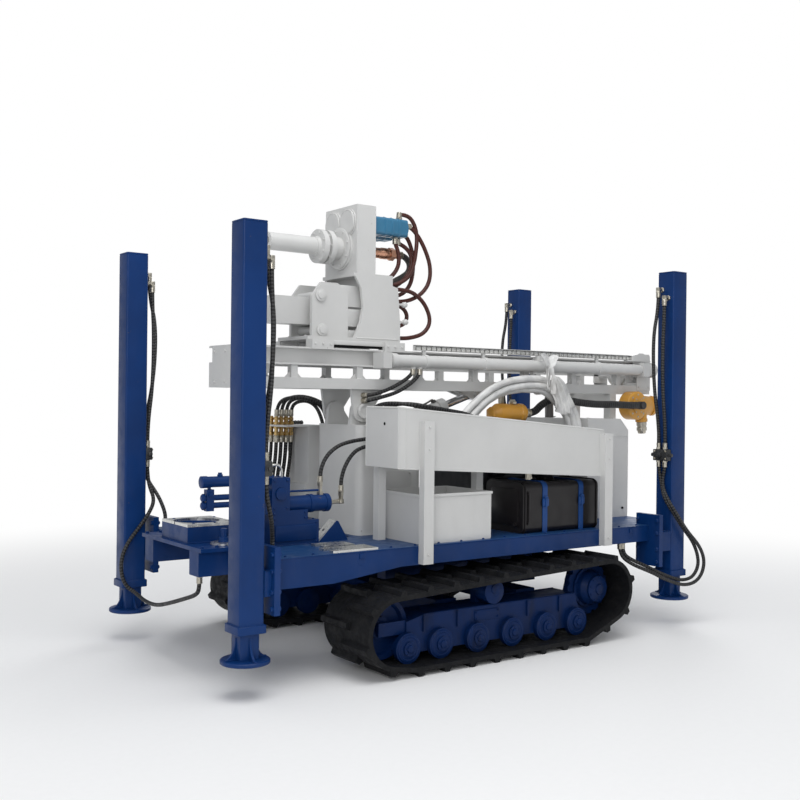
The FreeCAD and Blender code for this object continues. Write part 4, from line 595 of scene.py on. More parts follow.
def hexagonal(profile: Profile) -> np.ndarray:
    """Hexagon piece: a radius is the flat's distance over the cosine of the turn from the nearest flat.

    Args:
        profile: (height, distance of the flats) in millimetres.

    Returns:
        Rings of twelve points, a corner and a middle of a flat in turn.
    """
    angle = np.arange(12) * (np.pi / 6)
    stretch = 1 / np.cos((angle + np.pi / 6) % (np.pi / 3) - np.pi / 6)
    rings = turned(profile, 12)
    rings[..., :2] *= stretch[None, :, None]
    return rings


def bolt(size: float) -> np.ndarray:
    """Bolt head on its washer: two round rings, then hexagon rings, drawn in at the top.

    Args:
        size: the washer's radius in millimetres.

    Returns:
        Rings of points, standing along Z.
    """
    washer = turned(((0.0, size), (0.16 * size, size), (0.18 * size, 0.74 * size)), 12)
    head = hexagonal(((0.18 * size, 0.68 * size), (0.62 * size, 0.68 * size), (0.74 * size, 0.56 * size)))
    return np.concatenate((washer, head))


def rounded(width: float, depth: float, radius: float, steps: int = 3) -> np.ndarray:
    """Outline of a rectangle whose corners are quarter circles.

    Args:
        width: its size along the first axis.
        depth: its size along the second axis.
        radius: the corners' radius.
        steps: points on each corner.

    Returns:
        The outline's points.
    """
    radius = max(min(radius, width / 2 - 0.01, depth / 2 - 0.01), 0.01)
    angle = (np.arange(4)[:, None] + np.linspace(0, 1, steps)) * (np.pi / 2)
    corner = np.array(((1, 1), (-1, 1), (-1, -1), (1, -1)), float)
    middle = corner * (width / 2 - radius, depth / 2 - radius)
    points = middle[:, None] + radius * np.stack((np.cos(angle), np.sin(angle)), axis=-1)
    return points.reshape(-1, 2)


def ordered(points: np.ndarray, axis: Axis) -> np.ndarray:
    """Points built along Z, turned so that they stand along another axis."""
    order = {Axis.X: (2, 0, 1), Axis.Y: (0, 2, 1), Axis.Z: (0, 1, 2)}[axis]
    return points[..., order]


def block(low: Point, high: Point, edge: float = 3.0, axis: Axis = Axis.Z, corner: float = 0.0) -> np.ndarray:
    """Box with soft edges: outlines carried up, drawn in at both ends on a quarter circle.

    Args:
        low: its lowest corner in millimetres.
        high: its highest corner.
        edge: the radius of the edges at its ends.
        axis: the direction that the outlines are carried along.
        corner: the outline's corner radius, or 0 for the edge's.

    Returns:
        Rings of points.
    """
    around = [index for index in (0, 1, 2) if index != axis.value]
    span = np.array(high, float) - np.array(low, float)
    middle = (np.array(high, float) + np.array(low, float)) / 2
    edge = min(edge, span.min() * 0.45)
    turn = np.array((0.0, np.pi / 4, np.pi / 2))
    inset = edge * (1 - np.sin(turn))
    level = edge * (1 - np.cos(turn))
    inset = np.concatenate((inset, inset[::-1]))
    level = np.concatenate((level, (span[axis.value] - level)[::-1]))
    radius = corner or edge
    rings = [rounded(span[around[0]] - 2 * i, span[around[1]] - 2 * i, max(radius - i, 0.4)) for i in inset]
    points = np.empty((len(level), rings[0].shape[0], 3))
    points[..., around] = np.stack(rings) + middle[around]
    points[..., axis.value] = low[axis.value] + level[:, None]
    return points


def slab(outline: Sequence[Sequence[float]], low: float, high: float, axis: Axis,
         edge: float = 2.0) -> np.ndarray:
    """Plate from an outline: the outline at four levels, drawn in along its mitres at the outer two.

    Args:
        outline: the plate's corners on the two axes across its thickness.
        low: where its thickness starts.
        high: where it ends.
        axis: the direction of its thickness.
        edge: the width of its worn edge.

    Returns:
        Rings of points.
    """
    flat = np.array(outline, float)
    ahead = np.roll(flat, -1, axis=0) - flat
    ahead /= np.linalg.norm(ahead, axis=1, keepdims=True)
    area = np.sum(flat[:, 0] * np.roll(flat[:, 1], -1) - np.roll(flat[:, 0], -1) * flat[:, 1])
    normal = np.stack((-ahead[:, 1], ahead[:, 0]), axis=1) * np.sign(area)
    before = np.roll(normal, 1, axis=0)
    mitre = (normal + before) / np.maximum(1 + np.sum(normal * before, axis=1, keepdims=True), 0.3)
    edge = min(edge, (high - low) * 0.45)
    rings = np.stack((flat + mitre * edge, flat, flat, flat + mitre * edge))
    level = np.array((low, low + edge, high - edge, high))
    around = [index for index in (0, 1, 2) if index != axis.value]
    points = np.empty((4, len(flat), 3))
    points[..., around] = rings
    points[..., axis.value] = level[:, None]
    return points


def ring_of(radius: float, columns: int) -> np.ndarray:
    """Points on a circle, as a section to carry along a path."""
    angle = np.arange(columns) * (2 * np.pi / columns)
    return radius * np.stack((np.cos(angle), np.sin(angle)), axis=1)


LOOKS = np.array([look for look in product((-1, 0, 1), repeat=3) if look > (0, 0, 0)], float)
LOOKS /= np.linalg.norm(LOOKS, axis=1, keepdims=True)


def carried(path: np.ndarray, section: np.ndarray, scale: np.ndarray | float = 1.0,
            closed: bool = False) -> np.ndarray:
    """A section carried along a path, square to it.

    The section's first axis at each place is the cross product of the path's direction with one look
    direction, the one of thirteen that the path is least in line with. The second is square to both.

    Args:
        path: the path's points.
        section: the section's points on its two axes.
        scale: the section's scale at each point of the path.
        closed: true where the path's end joins its start.

    Returns:
        Rings of points.
    """
    if closed:
        ahead = np.roll(path, -1, axis=0) - np.roll(path, 1, axis=0)
    else:
        ahead = np.gradient(path, axis=0)
    ahead /= np.linalg.norm(ahead, axis=1, keepdims=True)
    look = LOOKS[np.abs(ahead @ LOOKS.T).max(axis=0).argmin()]
    first = np.cross(ahead, look)
    first /= np.linalg.norm(first, axis=1, keepdims=True)
    second = np.cross(ahead, first)
    grown = section[None] * np.broadcast_to(np.asarray(scale, float), (len(path),))[:, None, None]
    return path[:, None] + grown[..., :1] * first[:, None] + grown[..., 1:] * second[:, None]


def smooth_line(route: Route, steps: int = 6) -> np.ndarray:
    """Smooth line through a route's bends, a spline of order three that the route's points control.

    Args:
        route: the route's points in millimetres.
        steps: how finely each bend is divided.

    Returns:
        The line's points.
    """
    curve = bpy.data.curves.new("route", "CURVE")
    curve.dimensions = "3D"
    spline = curve.splines.new("NURBS")
    spline.points.add(len(route) - 1)
    spline.points.foreach_set("co", np.hstack((np.array(route, float), np.ones((len(route), 1)))).ravel())
    spline.order_u = 3
    spline.use_endpoint_u = True
    spline.resolution_u = steps
    line = bpy.data.objects.new("route", curve)
    mesh = bpy.data.meshes.new_from_object(line)
    points = np.empty(len(mesh.vertices) * 3)
    mesh.vertices.foreach_get("co", points)
    bpy.data.meshes.remove(mesh)
    bpy.data.objects.remove(line)
    bpy.data.curves.remove(curve)
    return points.reshape(-1, 3)


def weld(first: Point, last: Point, size: float = 4.0) -> np.ndarray:
    """Weld bead: a tube whose radius swells and shrinks every six millimetres, as laid ripples do.

    Args:
        first: where the bead starts.
        last: where it ends.
        size: its radius.

    Returns:
        Rings of points.
    """
    length = float(np.linalg.norm(np.array(last, float) - np.array(first, float)))
    count = max(int(length / 3.0), 3)
    path = np.linspace(first, last, count)
    ripple = 1 + 0.16 * np.cos(np.arange(count) * np.pi) + 0.05 * np.sin(np.arange(count) * 1.7)
    ripple[0] = ripple[-1] = 0.5
    return carried(path, ring_of(size, 6), ripple)


def ferrule(radius: float) -> np.ndarray:
    """Crimped hose end: a barrel with three pressed grooves, then a collar.

    Args:
        radius: the hose's radius.

    Returns:
        Rings of points, with the hose's end at height 0.
    """
    wide, slim = radius + 4.5, radius + 2.6
    profile = [(8, radius * 0.8), (8, wide), (13, wide)]
    for start in (13, 22, 31):
        profile += [(start, slim), (start + 4, slim), (start + 4, wide), (start + 9, wide)]
    return turned(profile + [(42, radius + 1)], 16)


def coupling(radius: float) -> np.ndarray:
    """Hexagon nut of a hose end, with both rims drawn in, for a hose of this radius."""
    flat = radius + 3.5
    return hexagonal(((-2, flat * 0.8), (-1, flat * 0.94), (1, flat), (11, flat), (13, flat * 0.9)))


@dataclass
class Surface:
    """Rings of points in millimetres, joined into one mesh that rides on one body.

    Args:
        name: the piece's name.
        body: the body that it rides on.
        finish: its finish's name.
        slot: the record's slot, where it isn't the finish's name; not used.
        stands_for: the CAD node that isn't shown because of this piece.
        sharp: the angle in degrees past which an edge stays sharp.
        points: the points so far.
        quads: the faces so far, as numbers of points.
        caps: the faces over open ends.
        along: each point's distance along its own shape, in metres.
        count: how many points there are.
    """

    name: str
    body: str
    finish: str
    slot: str = ""
    stands_for: str = ""
    sharp: float = 38.0
    points: list[np.ndarray] = field(default_factory=list)
    quads: list[np.ndarray] = field(default_factory=list)
    caps: list[np.ndarray] = field(default_factory=list)
    along: list[np.ndarray] = field(default_factory=list)
    count: int = 0

    def add(self, rings: np.ndarray, closed: bool = False) -> None:
        """Join rings into faces: each face spans two rings and two neighbours on them.

        Args:
            rings: rings of points, one after another.
            closed: true where the last ring joins the first, and false for a face over each end.
        """
        rows, columns = rings.shape[:2]
        index = self.count + np.arange(rows * columns).reshape(rows, columns)
        ahead = np.roll(index, -1, axis=0)
        start = index
        if not closed:
            ahead, start = ahead[:-1], index[:-1]
            self.caps.extend((index[0], index[-1]))
        quads = np.stack((start, np.roll(start, -1, axis=1), np.roll(ahead, -1, axis=1), ahead), axis=-1)
        self.quads.append(quads.reshape(-1, 4))
        step = np.linalg.norm(np.diff(rings.mean(axis=1), axis=0), axis=1)
        self.along.append(np.repeat(np.concatenate(((0.0,), np.cumsum(step))) * MM, columns))
        self.points.append(rings.reshape(-1, 3))
        self.count += rows * columns

    def place(self, rings: np.ndarray, places: Route, toward: Point = UP) -> None:
        """Add copies of rings built along Z, each at a place and pointing one way.

        Args:
            rings: the rings of one copy.
            places: where the copies stand.
            toward: the direction that they point in.
        """
        turned_rings = rings @ basis(toward).T
        for place in places:
            self.add(turned_rings + np.array(place, float))

    def lathe(self, profile: Profile, columns: int, places: Route, toward: Point = UP) -> None:
        """Add round pieces, as turned() makes them, at some places."""
        self.place(turned(profile, columns), places, toward)

    def nut(self, profile: Profile, places: Route, toward: Point = UP) -> None:
        """Add hexagon pieces at some places."""
        self.place(hexagonal(profile), places, toward)

    def bolts(self, size: float, places: Route, toward: Point = UP) -> None:
        """Add bolts of one size at some places."""
        self.place(bolt(size), places, toward)

    def box(self, low: Point, high: Point, edge: float = 3.0, axis: Axis = Axis.Z,
            corner: float = 0.0) -> None:
        """Add a box with soft edges, as block() makes it."""
        self.add(block(low, high, edge, axis, corner))

    def bead(self, first: Point, last: Point, size: float = 4.0) -> None:
        """Add a weld bead between two places."""
        self.add(weld(first, last, size))

    def tube(self, path: Route, radius: float, columns: int, closed: bool = False) -> None:
        """Add a round tube along a path, closed where the path's end joins its start."""
        self.add(carried(np.array(path, float), ring_of(radius, columns), closed=closed), closed)

    def both(self, rings: np.ndarray) -> None:
        """Add rings and their mirror image on the machine's other side."""
        self.add(rings)
        self.add(rings * MIRROR)

    def make(self) -> None:
        """Make the mesh, turn its faces outwards and hang it on its body."""
        faces = np.concatenate(self.quads).tolist() + [cap.tolist() for cap in self.caps]
        mesh = bpy.data.meshes.new(self.name)
        mesh.from_pydata(np.concatenate(self.points) * MM, [], faces)
        built = bmesh.new()
        built.from_mesh(mesh)
        bmesh.ops.recalc_face_normals(built, faces=built.faces)
        built.to_mesh(mesh)
        built.free()
        along = mesh.attributes.new("along", "FLOAT", "POINT")
        along.data.foreach_set("value", np.concatenate(self.along).astype(np.float32))
        mesh.shade_smooth()
        mesh.set_sharp_from_angle(angle=math.radians(self.sharp))
        mesh.materials.append(MATERIALS[self.finish])
        piece = linked(self.name, mesh)
        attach(piece, self.body)
        if self.stands_for:
            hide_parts(self.stands_for)
        log.info("made %s, %d faces", self.name, len(mesh.polygons))


def started(*values: str | float) -> Surface:
    """Field of a sub-assembly that holds an empty piece, given the piece's own values."""
    return field(default_factory=lambda: Surface(*values))


class Assembly:
    """Sub-assembly whose fields hold its sizes and, after them, its pieces."""

    def make(self) -> None:
        """Make every piece that it holds."""
        for value in vars(self).values():
            if isinstance(value, Surface):
                value.make()


def grid(*spans: float | Sequence[float]) -> np.ndarray:
    """Every place whose x, y and z come from one number or a list of numbers each."""
    levels = np.meshgrid(*(np.atleast_1d(np.array(span, float)) for span in spans), indexing="ij")
    return np.stack(levels, axis=-1).reshape(-1, 3)


def looped(corners: Sequence[Point]) -> zip:
    """Each corner with the next one, and the last with the first."""
    return zip(corners, [*corners[1:], corners[0]])


def circle(centre: Point, radius: float, count: int, axis: Axis, start: float = 0.0) -> np.ndarray:
    """Places evenly spaced on a circle round an axis.

    Args:
        centre: the circle's centre.
        radius: its radius.
        count: how many places.
        axis: the axis that it goes round.
        start: the angle of the first place in turns.

    Returns:
        The places.
    """
    angle = (np.arange(count) / count + start) * 2 * np.pi
    flat = np.stack((radius * np.cos(angle), radius * np.sin(angle), 0 * angle), axis=1)
    return ordered(flat, axis) + np.array(centre, float)


def mirrored(places: Route) -> np.ndarray:
    """Places and their mirror images on the machine's other side."""
    points = np.array(places, float)
    return np.concatenate((points, points * MIRROR))


# Sub-assemblies

@dataclass
class Hoses(Assembly):
    """Hydraulic hoses with crimped ends and hexagon nuts.

    Args:
        deck: routes of the clamp's, the console's and the tray's hoses.
        mast: routes of the hoses between stand and feed cylinder.
        head: routes of the drill head's hoses.
        air: route of the air hose under the mast.
        elbow: route of the braided elbow at the swivel.
        steps: a rear leg's lower hose, as steps inwards, outwards and height.
        shifts: what the second hose adds to those steps.
        front_drops: routes of the front legs' lower hoses from below the valve, the right leg's two first.
        drop_start: place of the first hose below the console's shelf.
        drop_pitch: distance between those hoses.
        drop_rows: their rows across the machine.
        slim: radius of the hydraulic hoses.
        head_radius: radius of the drill head's hoses.
        thick: radius of the air hose.
    """

    deck: Sequence[Route] = (
        ((600, 230.3, 1205), (600, 275, 1205), (700, 300, 1200), (801, 300, 1188), (880, 300, 1168),
         (943, 300, 1128), (981, 300, 1078), (1001, 300, 1020), (1001, 300, 960.2)),
        ((600, 230.3, 1160), (600, 280, 1160), (694, 300, 1160), (760, 300, 1141), (805, 300, 1103),
         (840, 300, 1050), (858, 300, 1001), (865, 300, 965), (865, 300, 905.2)),
        ((728, -500, 1312.2), (728, -500, 1370), (700, -470, 1405), (660, -410, 1410), (640, -340, 1375),
         (632, -290, 1300), (632, -270, 1240), (632, -230.2, 1240)),
        ((762, -500, 1312.2), (762, -500, 1380), (730, -460, 1425), (670, -390, 1425), (610, -330, 1380),
         (594, -292, 1300), (594, -270, 1215), (594, -230.2, 1215)),
        ((796, -500, 1312.2), (796, -500, 1375), (775, -450, 1432), (700, -370, 1440), (600, -310, 1395),
         (556, -292, 1300), (556, -270, 1190), (556, -230.2, 1190)),
        ((830, -500, 1312.2), (830, -500, 1370), (815, -440, 1425), (740, -350, 1432), (600, -330, 1390),
         (518, -300, 1290), (518, -270, 1165), (518, -230.2, 1165)),
        ((600, 190, 1275), (600, 190, 1330), (604, 240, 1382), (590, 340, 1404), (520, 432, 1400),
         (400, 456, 1377), (260, 458, 1360), (110, 462, 1340), (10, 490, 1300), (-70, 550, 1220),
         (-170, 596, 1165), (-250, 600, 1130), (-270, 600, 1060), (-270, 600, 1000), (-270, 600, 962)),
        ((560, 190, 1275), (560, 190, 1320), (566, 240, 1362), (560, 330, 1390), (500, 420, 1404),
         (390, 482, 1384), (250, 484, 1364), (100, 490, 1342), (20, 530, 1290), (-50, 590, 1210),
         (-130, 632, 1160), (-200, 640, 1120), (-220, 640, 1050), (-220, 640, 1000), (-220, 640, 962)),
    )
    mast: Sequence[Route] = (
        ((300, 262, 1611.7), (300, 262, 1580), (325, 258, 1545), (385, 252, 1500), (460, 245, 1462),
         (540, 240, 1440), (600, 236, 1425), (640, 212, 1415), (640, 170.3, 1415)),
        ((350, 262, 1611.7), (350, 262, 1585), (375, 256, 1555), (430, 250, 1520), (490, 245, 1490),
         (550, 240, 1468), (605, 230, 1452), (640, 206, 1446), (640, 170.3, 1446)),
    )
    head: Sequence[Route] = (
        ((301, 100, 2468), (262, 100, 2468), (205, 102, 2420), (150, 104, 2340), (108, 105, 2240),
         (112, 102, 2140), (170, 98, 2065), (260, 92, 2020), (350, 90, 2008), (456, 90, 2008)),
        ((301, 60, 2420), (270, 60, 2420), (232, 55, 2380), (205, 52, 2310), (198, 50, 2220),
         (215, 50, 2130), (270, 50, 2065), (350, 50, 2042), (456, 50, 2042)),
        ((456, 122, 2078), (400, 122, 2078), (330, 120, 2080), (243, 118, 2070), (150, 114, 2004),
         (105, 112, 1901), (160, 115, 1825), (260, 118, 1795), (350, 122, 1788), (456, 122, 1788)),
        ((456, 20, 2000), (400, 20, 2000), (330, 20, 2006), (250, 20, 1985), (215, 20, 1935),
         (240, 20, 1882), (310, 20, 1862), (385, 20, 1856), (456, 20, 1856)),
        ((350, 104, 2501), (349, 104, 2529), (310, 104, 2532), (262, 104, 2520), (226, 103, 2470),
         (212, 102, 2410), (214, 101, 2345), (226, 99, 2260), (252, 94, 2175), (310, 82, 2128),
         (380, 74, 2104), (456, 74, 2098)),
        ((368, 92, 2394), (368, 92, 2360), (346, 91, 2318), (334, 90, 2270), (340, 88, 2218), (372, 84, 2170),
         (410, 80, 2140), (456, 76, 2132)),
        ((330, 62, 2394), (326, 62, 2366), (276, 64, 2350), (230, 66, 2310), (222, 68, 2250), (250, 66, 2180),
         (310, 62, 2120), (380, 60, 2088), (456, 58, 2078)),
    )
    air: Route = (
        (-1560, 326, 1402), (-1440, 326, 1402), (-1320, 308, 1407), (-1180, 282, 1405), (-1030, 262, 1416),
        (-900, 250, 1436), (-790, 250, 1440), (-690, 250, 1400), (-630, 250, 1346), (-548.2, 250, 1346),
    )
    elbow: Route = ((291, 0, 2305), (262, 0, 2305), (225, 0, 2298), (188, 0, 2262), (192, 0, 2210),
                    (240, 0, 2175), (300, 0, 2145), (370, 0, 2108), (456, 0, 2108))
    steps: Route = (
        (86, 0, 900), (125, 55, 815), (95, 101, 730), (0, 102, 625), (-118, 100, 517), (-170, 98, 405),
        (-150, 98, 336), (-90, 98, 292), (10, 98, 288), (110, 98, 318), (215, 98, 355), (310, 90, 398),
        (398, 20, 445), (407, -35, 480), (407, -35, 544.8),
    )
    shifts: Route = (
        (0, 0, 0), (-4, 24, -8), (-6, 26, -12), (-14, 26, -22), (-22, 26, -14), (-26, 26, 0),
        (-22, 26, -20), (-6, 26, -26), (4, 26, -26), (4, 26, -28), (2, 26, -28), (0, 26, -28),
        (26, 30, -24), (28, 0, -10), (28, 0, 0),
    )
    front_drops: Sequence[Route] = (
        ((1574, -700, 900), (1555, -650, 815), (1602, -634, 733), (1662, -636, 656), (1721, -640, 580),
         (1757, -640, 503), (1763, -640, 415), (1736, -640, 330), (1680, -610, 285), (1684, -470, 262),
         (1700, -270, 272), (1712, -60, 322), (1715, 140, 378), (1706, 268, 418), (1703, 290, 458),
         (1703, 290, 519.8)),
        ((1566, -745, 930), (1530, -660, 840), (1507, -615, 750), (1505, -610, 700), (1505, -610, 645.2)),
        ((1566, 705, 930), (1545, 655, 840), (1522, 605, 750), (1520, 600, 700), (1520, 600, 645.2)),
        ((1566, 745, 930), (1530, 720, 840), (1484, 648, 750), (1480, 640, 700), (1480, 640, 645.2)),
    )
    drop_start: float = 728.0
    drop_pitch: float = 17.0
    drop_rows: tuple[float, float, float] = (-565.0, -532.0, -500.0)
    slim: float = 11.0
    head_radius: float = 12.5
    thick: float = 24.0
    deck_runs: Surface = started("deck_hose_runs", "root", "hose_rubber", "", "deck_hoses")
    deck_ends: Surface = started("deck_hose_ends", "root", "fitting_steel")
    mast_runs: Surface = started("mast_hose_runs", "mast", "hose_rubber", "", "mast_hoses")
    mast_ends: Surface = started("mast_hose_ends", "mast", "fitting_steel")
    head_runs: Surface = started("head_hose_runs", "carriage", "red_hose", "", "head_hoses")
    head_ends: Surface = started("head_hose_ends", "carriage", "fitting_steel")
    swivel: Surface = started("swivel_body", "carriage", "copper_fitting", "", "swivel")
    braid: Surface = started("swivel_elbow", "carriage", "braided_hose", "copper_fitting")
    braid_ends: Surface = started("swivel_elbow_ends", "carriage", "fitting_steel")

    def leg_routes(self, leg: "Leg") -> list[Route]:
        """Routes of one leg's hoses, two above its lock valve and two below it.

        Args:
            leg: the leg that they hang on.

        Returns:
            The four routes.
        """
        low, high = leg.valve_z
        out = leg.inner_face + leg.inward * leg.valve_depth
        end = leg.inner_face + leg.inward * leg.valve_depth / 2
        routes: list[Route] = []
        for index, top in enumerate(leg.ports_z):
            y = leg.y + leg.hose_gap * (index - 0.5)
            drop = top - high
            bulge = leg.inward * (48 - 36 * index)
            routes.append(((out, y, top - 12), (out, y, top - 0.12 * drop),
                           (out + bulge, y, top - 0.3 * drop), (out + bulge * 0.7, y, top - 0.62 * drop),
                           (end, y, top - 0.86 * drop), (end, y, high)))
        for index in (0, 1):
            y = leg.y + leg.outward * leg.hose_gap * (index - 0.5)
            if leg.front:
                path = self.front_drops[index + (2 if leg.outward > 0 else 0)]
            else:
                steps = np.array(self.steps, float) + index * np.array(self.shifts, float)
                path = steps * (leg.inward, leg.outward, 1) + (leg.x, leg.y, 0)
            routes.append(((end, y, low), (end, y, low - leg.valve_depth), *path))
        return routes

    def drops(self) -> list[Route]:
        """Routes of the hoses from the console's shelf into the deck, in staggered rows.

        Returns:
            The eleven routes.
        """
        routes = []
        for index in range(7):
            x = self.drop_start + self.drop_pitch * index
            for y in self.drop_rows[1:2] if index % 2 else self.drop_rows[::2]:
                routes.append(((x, y, 1192), (x, y, 1072), (x + 18, y - 20, 905), (x + 9, y - 20, 775),
                               (x + 9, y - 20, 645)))
        return routes

    def lay(self, runs: Surface, fittings: Surface, routes: Sequence[Route], radius: float,
            ends: Sequence[int] = (0, -1)) -> None:
        """Lay hoses along smooth lines and fit their ends.

        Args:
            runs: the piece that the hoses join.
            fittings: the piece that their ends join.
            routes: their routes.
            radius: their radius.
            ends: which ends have a fitting, 0 for the start and -1 for the end.
        """
        for route in routes:
            line = smooth_line(route)
            runs.tube(line, radius, 14)
            for end in ends:
                way = line[-2] - line[-1] if end else line[1] - line[0]
                fittings.place(ferrule(radius), [line[end]], way)
                fittings.place(coupling(radius), [line[end]], way)

    def build(self, legs: Sequence["Leg"]) -> None:
        """Make every hose, grouped by the body that it rides on.

        Args:
            legs: the four legs.
        """
        for leg in legs:
            self.lay(self.deck_runs, self.deck_ends, self.leg_routes(leg), self.slim)
        self.lay(self.deck_runs, self.deck_ends, self.deck, self.slim)
        self.lay(self.deck_runs, self.deck_ends, self.drops(), self.slim, (0,))
        grommet = ((0, 13), (0, 20), (5, 20), (8, 15), (8, 13))
        self.deck_runs.lathe(grommet, 20, [(-270, 600, 1004), (-220, 640, 1007)])
        self.lay(self.mast_runs, self.mast_ends, self.mast, self.slim)
        self.lay(self.mast_runs, self.mast_ends, [self.air], self.thick, (-1,))
        self.mast_runs.lathe(((0, 20), (0, 27), (52, 27), (56, 22)), 20, [(-1560, 300, 1402)], LEFT)
        self.lay(self.head_runs, self.head_ends, self.head, self.head_radius)
        rings = ((0, 38), (22, 38), (24, 31), (70, 31), (72, 35), (84, 35), (86, 31), (150, 31), (154, 34),
                 (196, 34), (200, 30), (228, 30), (232, 25), (270, 25))
        self.swivel.lathe(rings, 28, [(561, 0, 2305)], BACK)
        self.swivel.nut(((0, 30), (2, 34), (36, 34), (38, 30)), [(352, 0, 2305)], BACK)
        self.lay(self.braid, self.braid_ends, [self.elbow], 19)
        self.make()


@dataclass
class Leg:
    """One levelling leg: outer tube, guide collar, sliding foot, valve and bolts.

    Args:
        x: its centre along the machine.
        y: its centre across the machine.
        side: the outer tube's width.
        collar: the guide collar's width.
        low: where the outer tube starts.
        top: where it ends.
        inner_side: the inner tube's width.
        foot_z: the foot plate's underside.
        foot_radius: the foot plate's radius.
        gusset_reach: how far a gusset reaches over the plate.
        gusset_height: how high it stands.
        flanges: the middles of the front and the rear flange joints.
        ports_z: heights of its two upper ports.
        valve_z: the lock valve's underside and top.
        valve_depth: how far the valve stands off the tube.
        hose_gap: the distance between its two hoses.
    """

    x: float
    y: float
    side: float = 130.0
    collar: float = 150.0
    low: float = 310.0
    top: float = 2265.0
    inner_side: float = 100.0
    foot_z: float = 165.0
    foot_radius: float = 120.0
    gusset_reach: float = 58.0
    gusset_height: float = 100.0
    flanges: tuple[float, float] = (1551.0, -1189.0)
    ports_z: tuple[float, float] = (2150.0, 2095.0)
    valve_z: tuple[float, float] = (1051.0, 1123.0)
    valve_depth: float = 42.0
    hose_gap: float = 50.0

    @property
    def front(self) -> bool:
        """Whether it is a leg of the drilling end."""
        return self.x > 0

    @property
    def inward(self) -> int:
        """Sign of the direction towards the machine's middle."""
        return -1 if self.front else 1

    @property
    def outward(self) -> int:
        """Sign of the direction away from the machine across it."""
        return 1 if self.y > 0 else -1

    @property
    def inner_face(self) -> float:
        """Place of the tube's face towards the machine's middle."""
        return self.x + self.inward * self.side / 2

    @property
    def name(self) -> str:
        """Its name by end and side."""
        return ("front" if self.front else "rear") + ("_left" if self.y > 0 else "_right")

    def square(self, *levels: Point) -> np.ndarray:
        """Rings of a square tube, one for each level's width, height and corner radius."""
        flats = [(rounded(wide, wide, corner, 4) + (self.x, self.y), z) for wide, z, corner in levels]
        return np.stack([np.column_stack((flat, np.full(len(flat), z))) for flat, z in flats])

    def tube(self, paint: Surface) -> None:
        """Add the outer tube with its cap plate, collar and weld, its lower end open round the inner tube.

        Args:
            paint: the piece that it joins.
        """
        side, collar, low, top = self.side, self.collar, self.low, self.top
        inner = self.inner_side + 0.6
        paint.add(self.square((inner, low + 60, 4), (inner, low, 4), (side, low, 9), (side, top - 12, 9),
                              (side - 3, top - 11, 9), (side - 3, top - 9.5, 9), (side, top - 8.5, 9),
                              (side, top - 1.5, 9), (side - 3, top, 8)))
        paint.add(self.square((collar - 4, low, 9), (collar, low + 2, 9), (collar, low + 38, 9),
                              (collar - 4, low + 40, 9)))
        ways = ((1, 1), (-1, 1), (-1, -1), (1, -1))
        corners = [(self.x + a * side / 2, self.y + b * side / 2, low + 41) for a, b in ways]
        for first, last in looped(corners):
            paint.bead(first, last, 3.5)

    def foot(self) -> None:
        """Make inner tube, foot plate and four gussets; a gusset's edge is a hollow quarter ellipse."""
        body = f"foot_{self.name}"
        paint = Surface(f"{body}_plates", body, "blue_paint", "", body)
        base, rim = self.foot_z, self.foot_radius
        paint.add(self.square((self.inner_side, base + 15, 7), (self.inner_side, base + 1760, 7)))
        plate = ((base, rim - 4), (base + 3, rim), (base + 16, rim), (base + 20, rim - 5))
        paint.add(turned(plate, 48) + (self.x, self.y, 0))
        half, reach, rise = self.inner_side / 2 - 2, self.gusset_reach, self.gusset_height
        turn = np.linspace(0, np.pi / 2, 9)
        across, up = half + 6 + reach * (1 - np.sin(turn)), base + 24 + rise * (1 - np.cos(turn))
        outline = [(half, base + 18), (half + 6 + reach, base + 18), *zip(across, up),
                   (half, base + 24 + rise)]
        shapes = [slab(outline, -6, 6, Axis.Y, 1.2)]
        for y in (-6, 6):
            shapes.append(weld((half + 2, y, base + 22), (half + reach - 4, y, base + 22), 3))
        for cosine, sine in ((1, 0), (0, 1), (-1, 0), (0, -1)):
            spin = np.array(((cosine, sine, 0), (-sine, cosine, 0), (0, 0, 1)))
            for rings in shapes:
                paint.add(rings @ spin + (self.x, self.y, 0))
        paint.make()

    def valve(self, cast: Surface, steel: Surface) -> None:
        """Add the lock valve on the inner face, with its cartridges, and the two port elbows above.

        Args:
            cast: the piece of dark castings.
            steel: the piece of plated fittings.
        """
        face, toward, half = self.inner_face, (self.inward, 0, 0), 58
        out = face + self.inward * self.valve_depth
        low, high = self.valve_z
        middle = (low + high) / 2
        cast.box((min(face, out), self.y - half, low), (max(face, out), self.y + half, high), 4, Axis.Z, 6)
        cast.nut(((0, 14), (12, 14), (14, 11)), [(out, self.y, middle)], toward)
        for side in SIDES:
            place = ((face + out) / 2, self.y + side * half, middle)
            cast.lathe(((0, 17), (5, 17), (6, 12), (22, 12), (24, 9)), 16, [place], (0, side, 0))
        steel.bolts(8, grid(out, (self.y - 44, self.y + 44), (middle - 24, middle + 24)), toward)
        for index, top in enumerate(self.ports_z):
            y = self.y + self.hose_gap * (index - 0.5)
            steel.nut(((0, 14), (9, 14), (11, 12), (11, 9), (34, 9)), [(face, y, top)], toward)
            steel.add(block((-13, -13, -13), (13, 13, 13), 4, Axis.Z, 6) + (out, y, top))

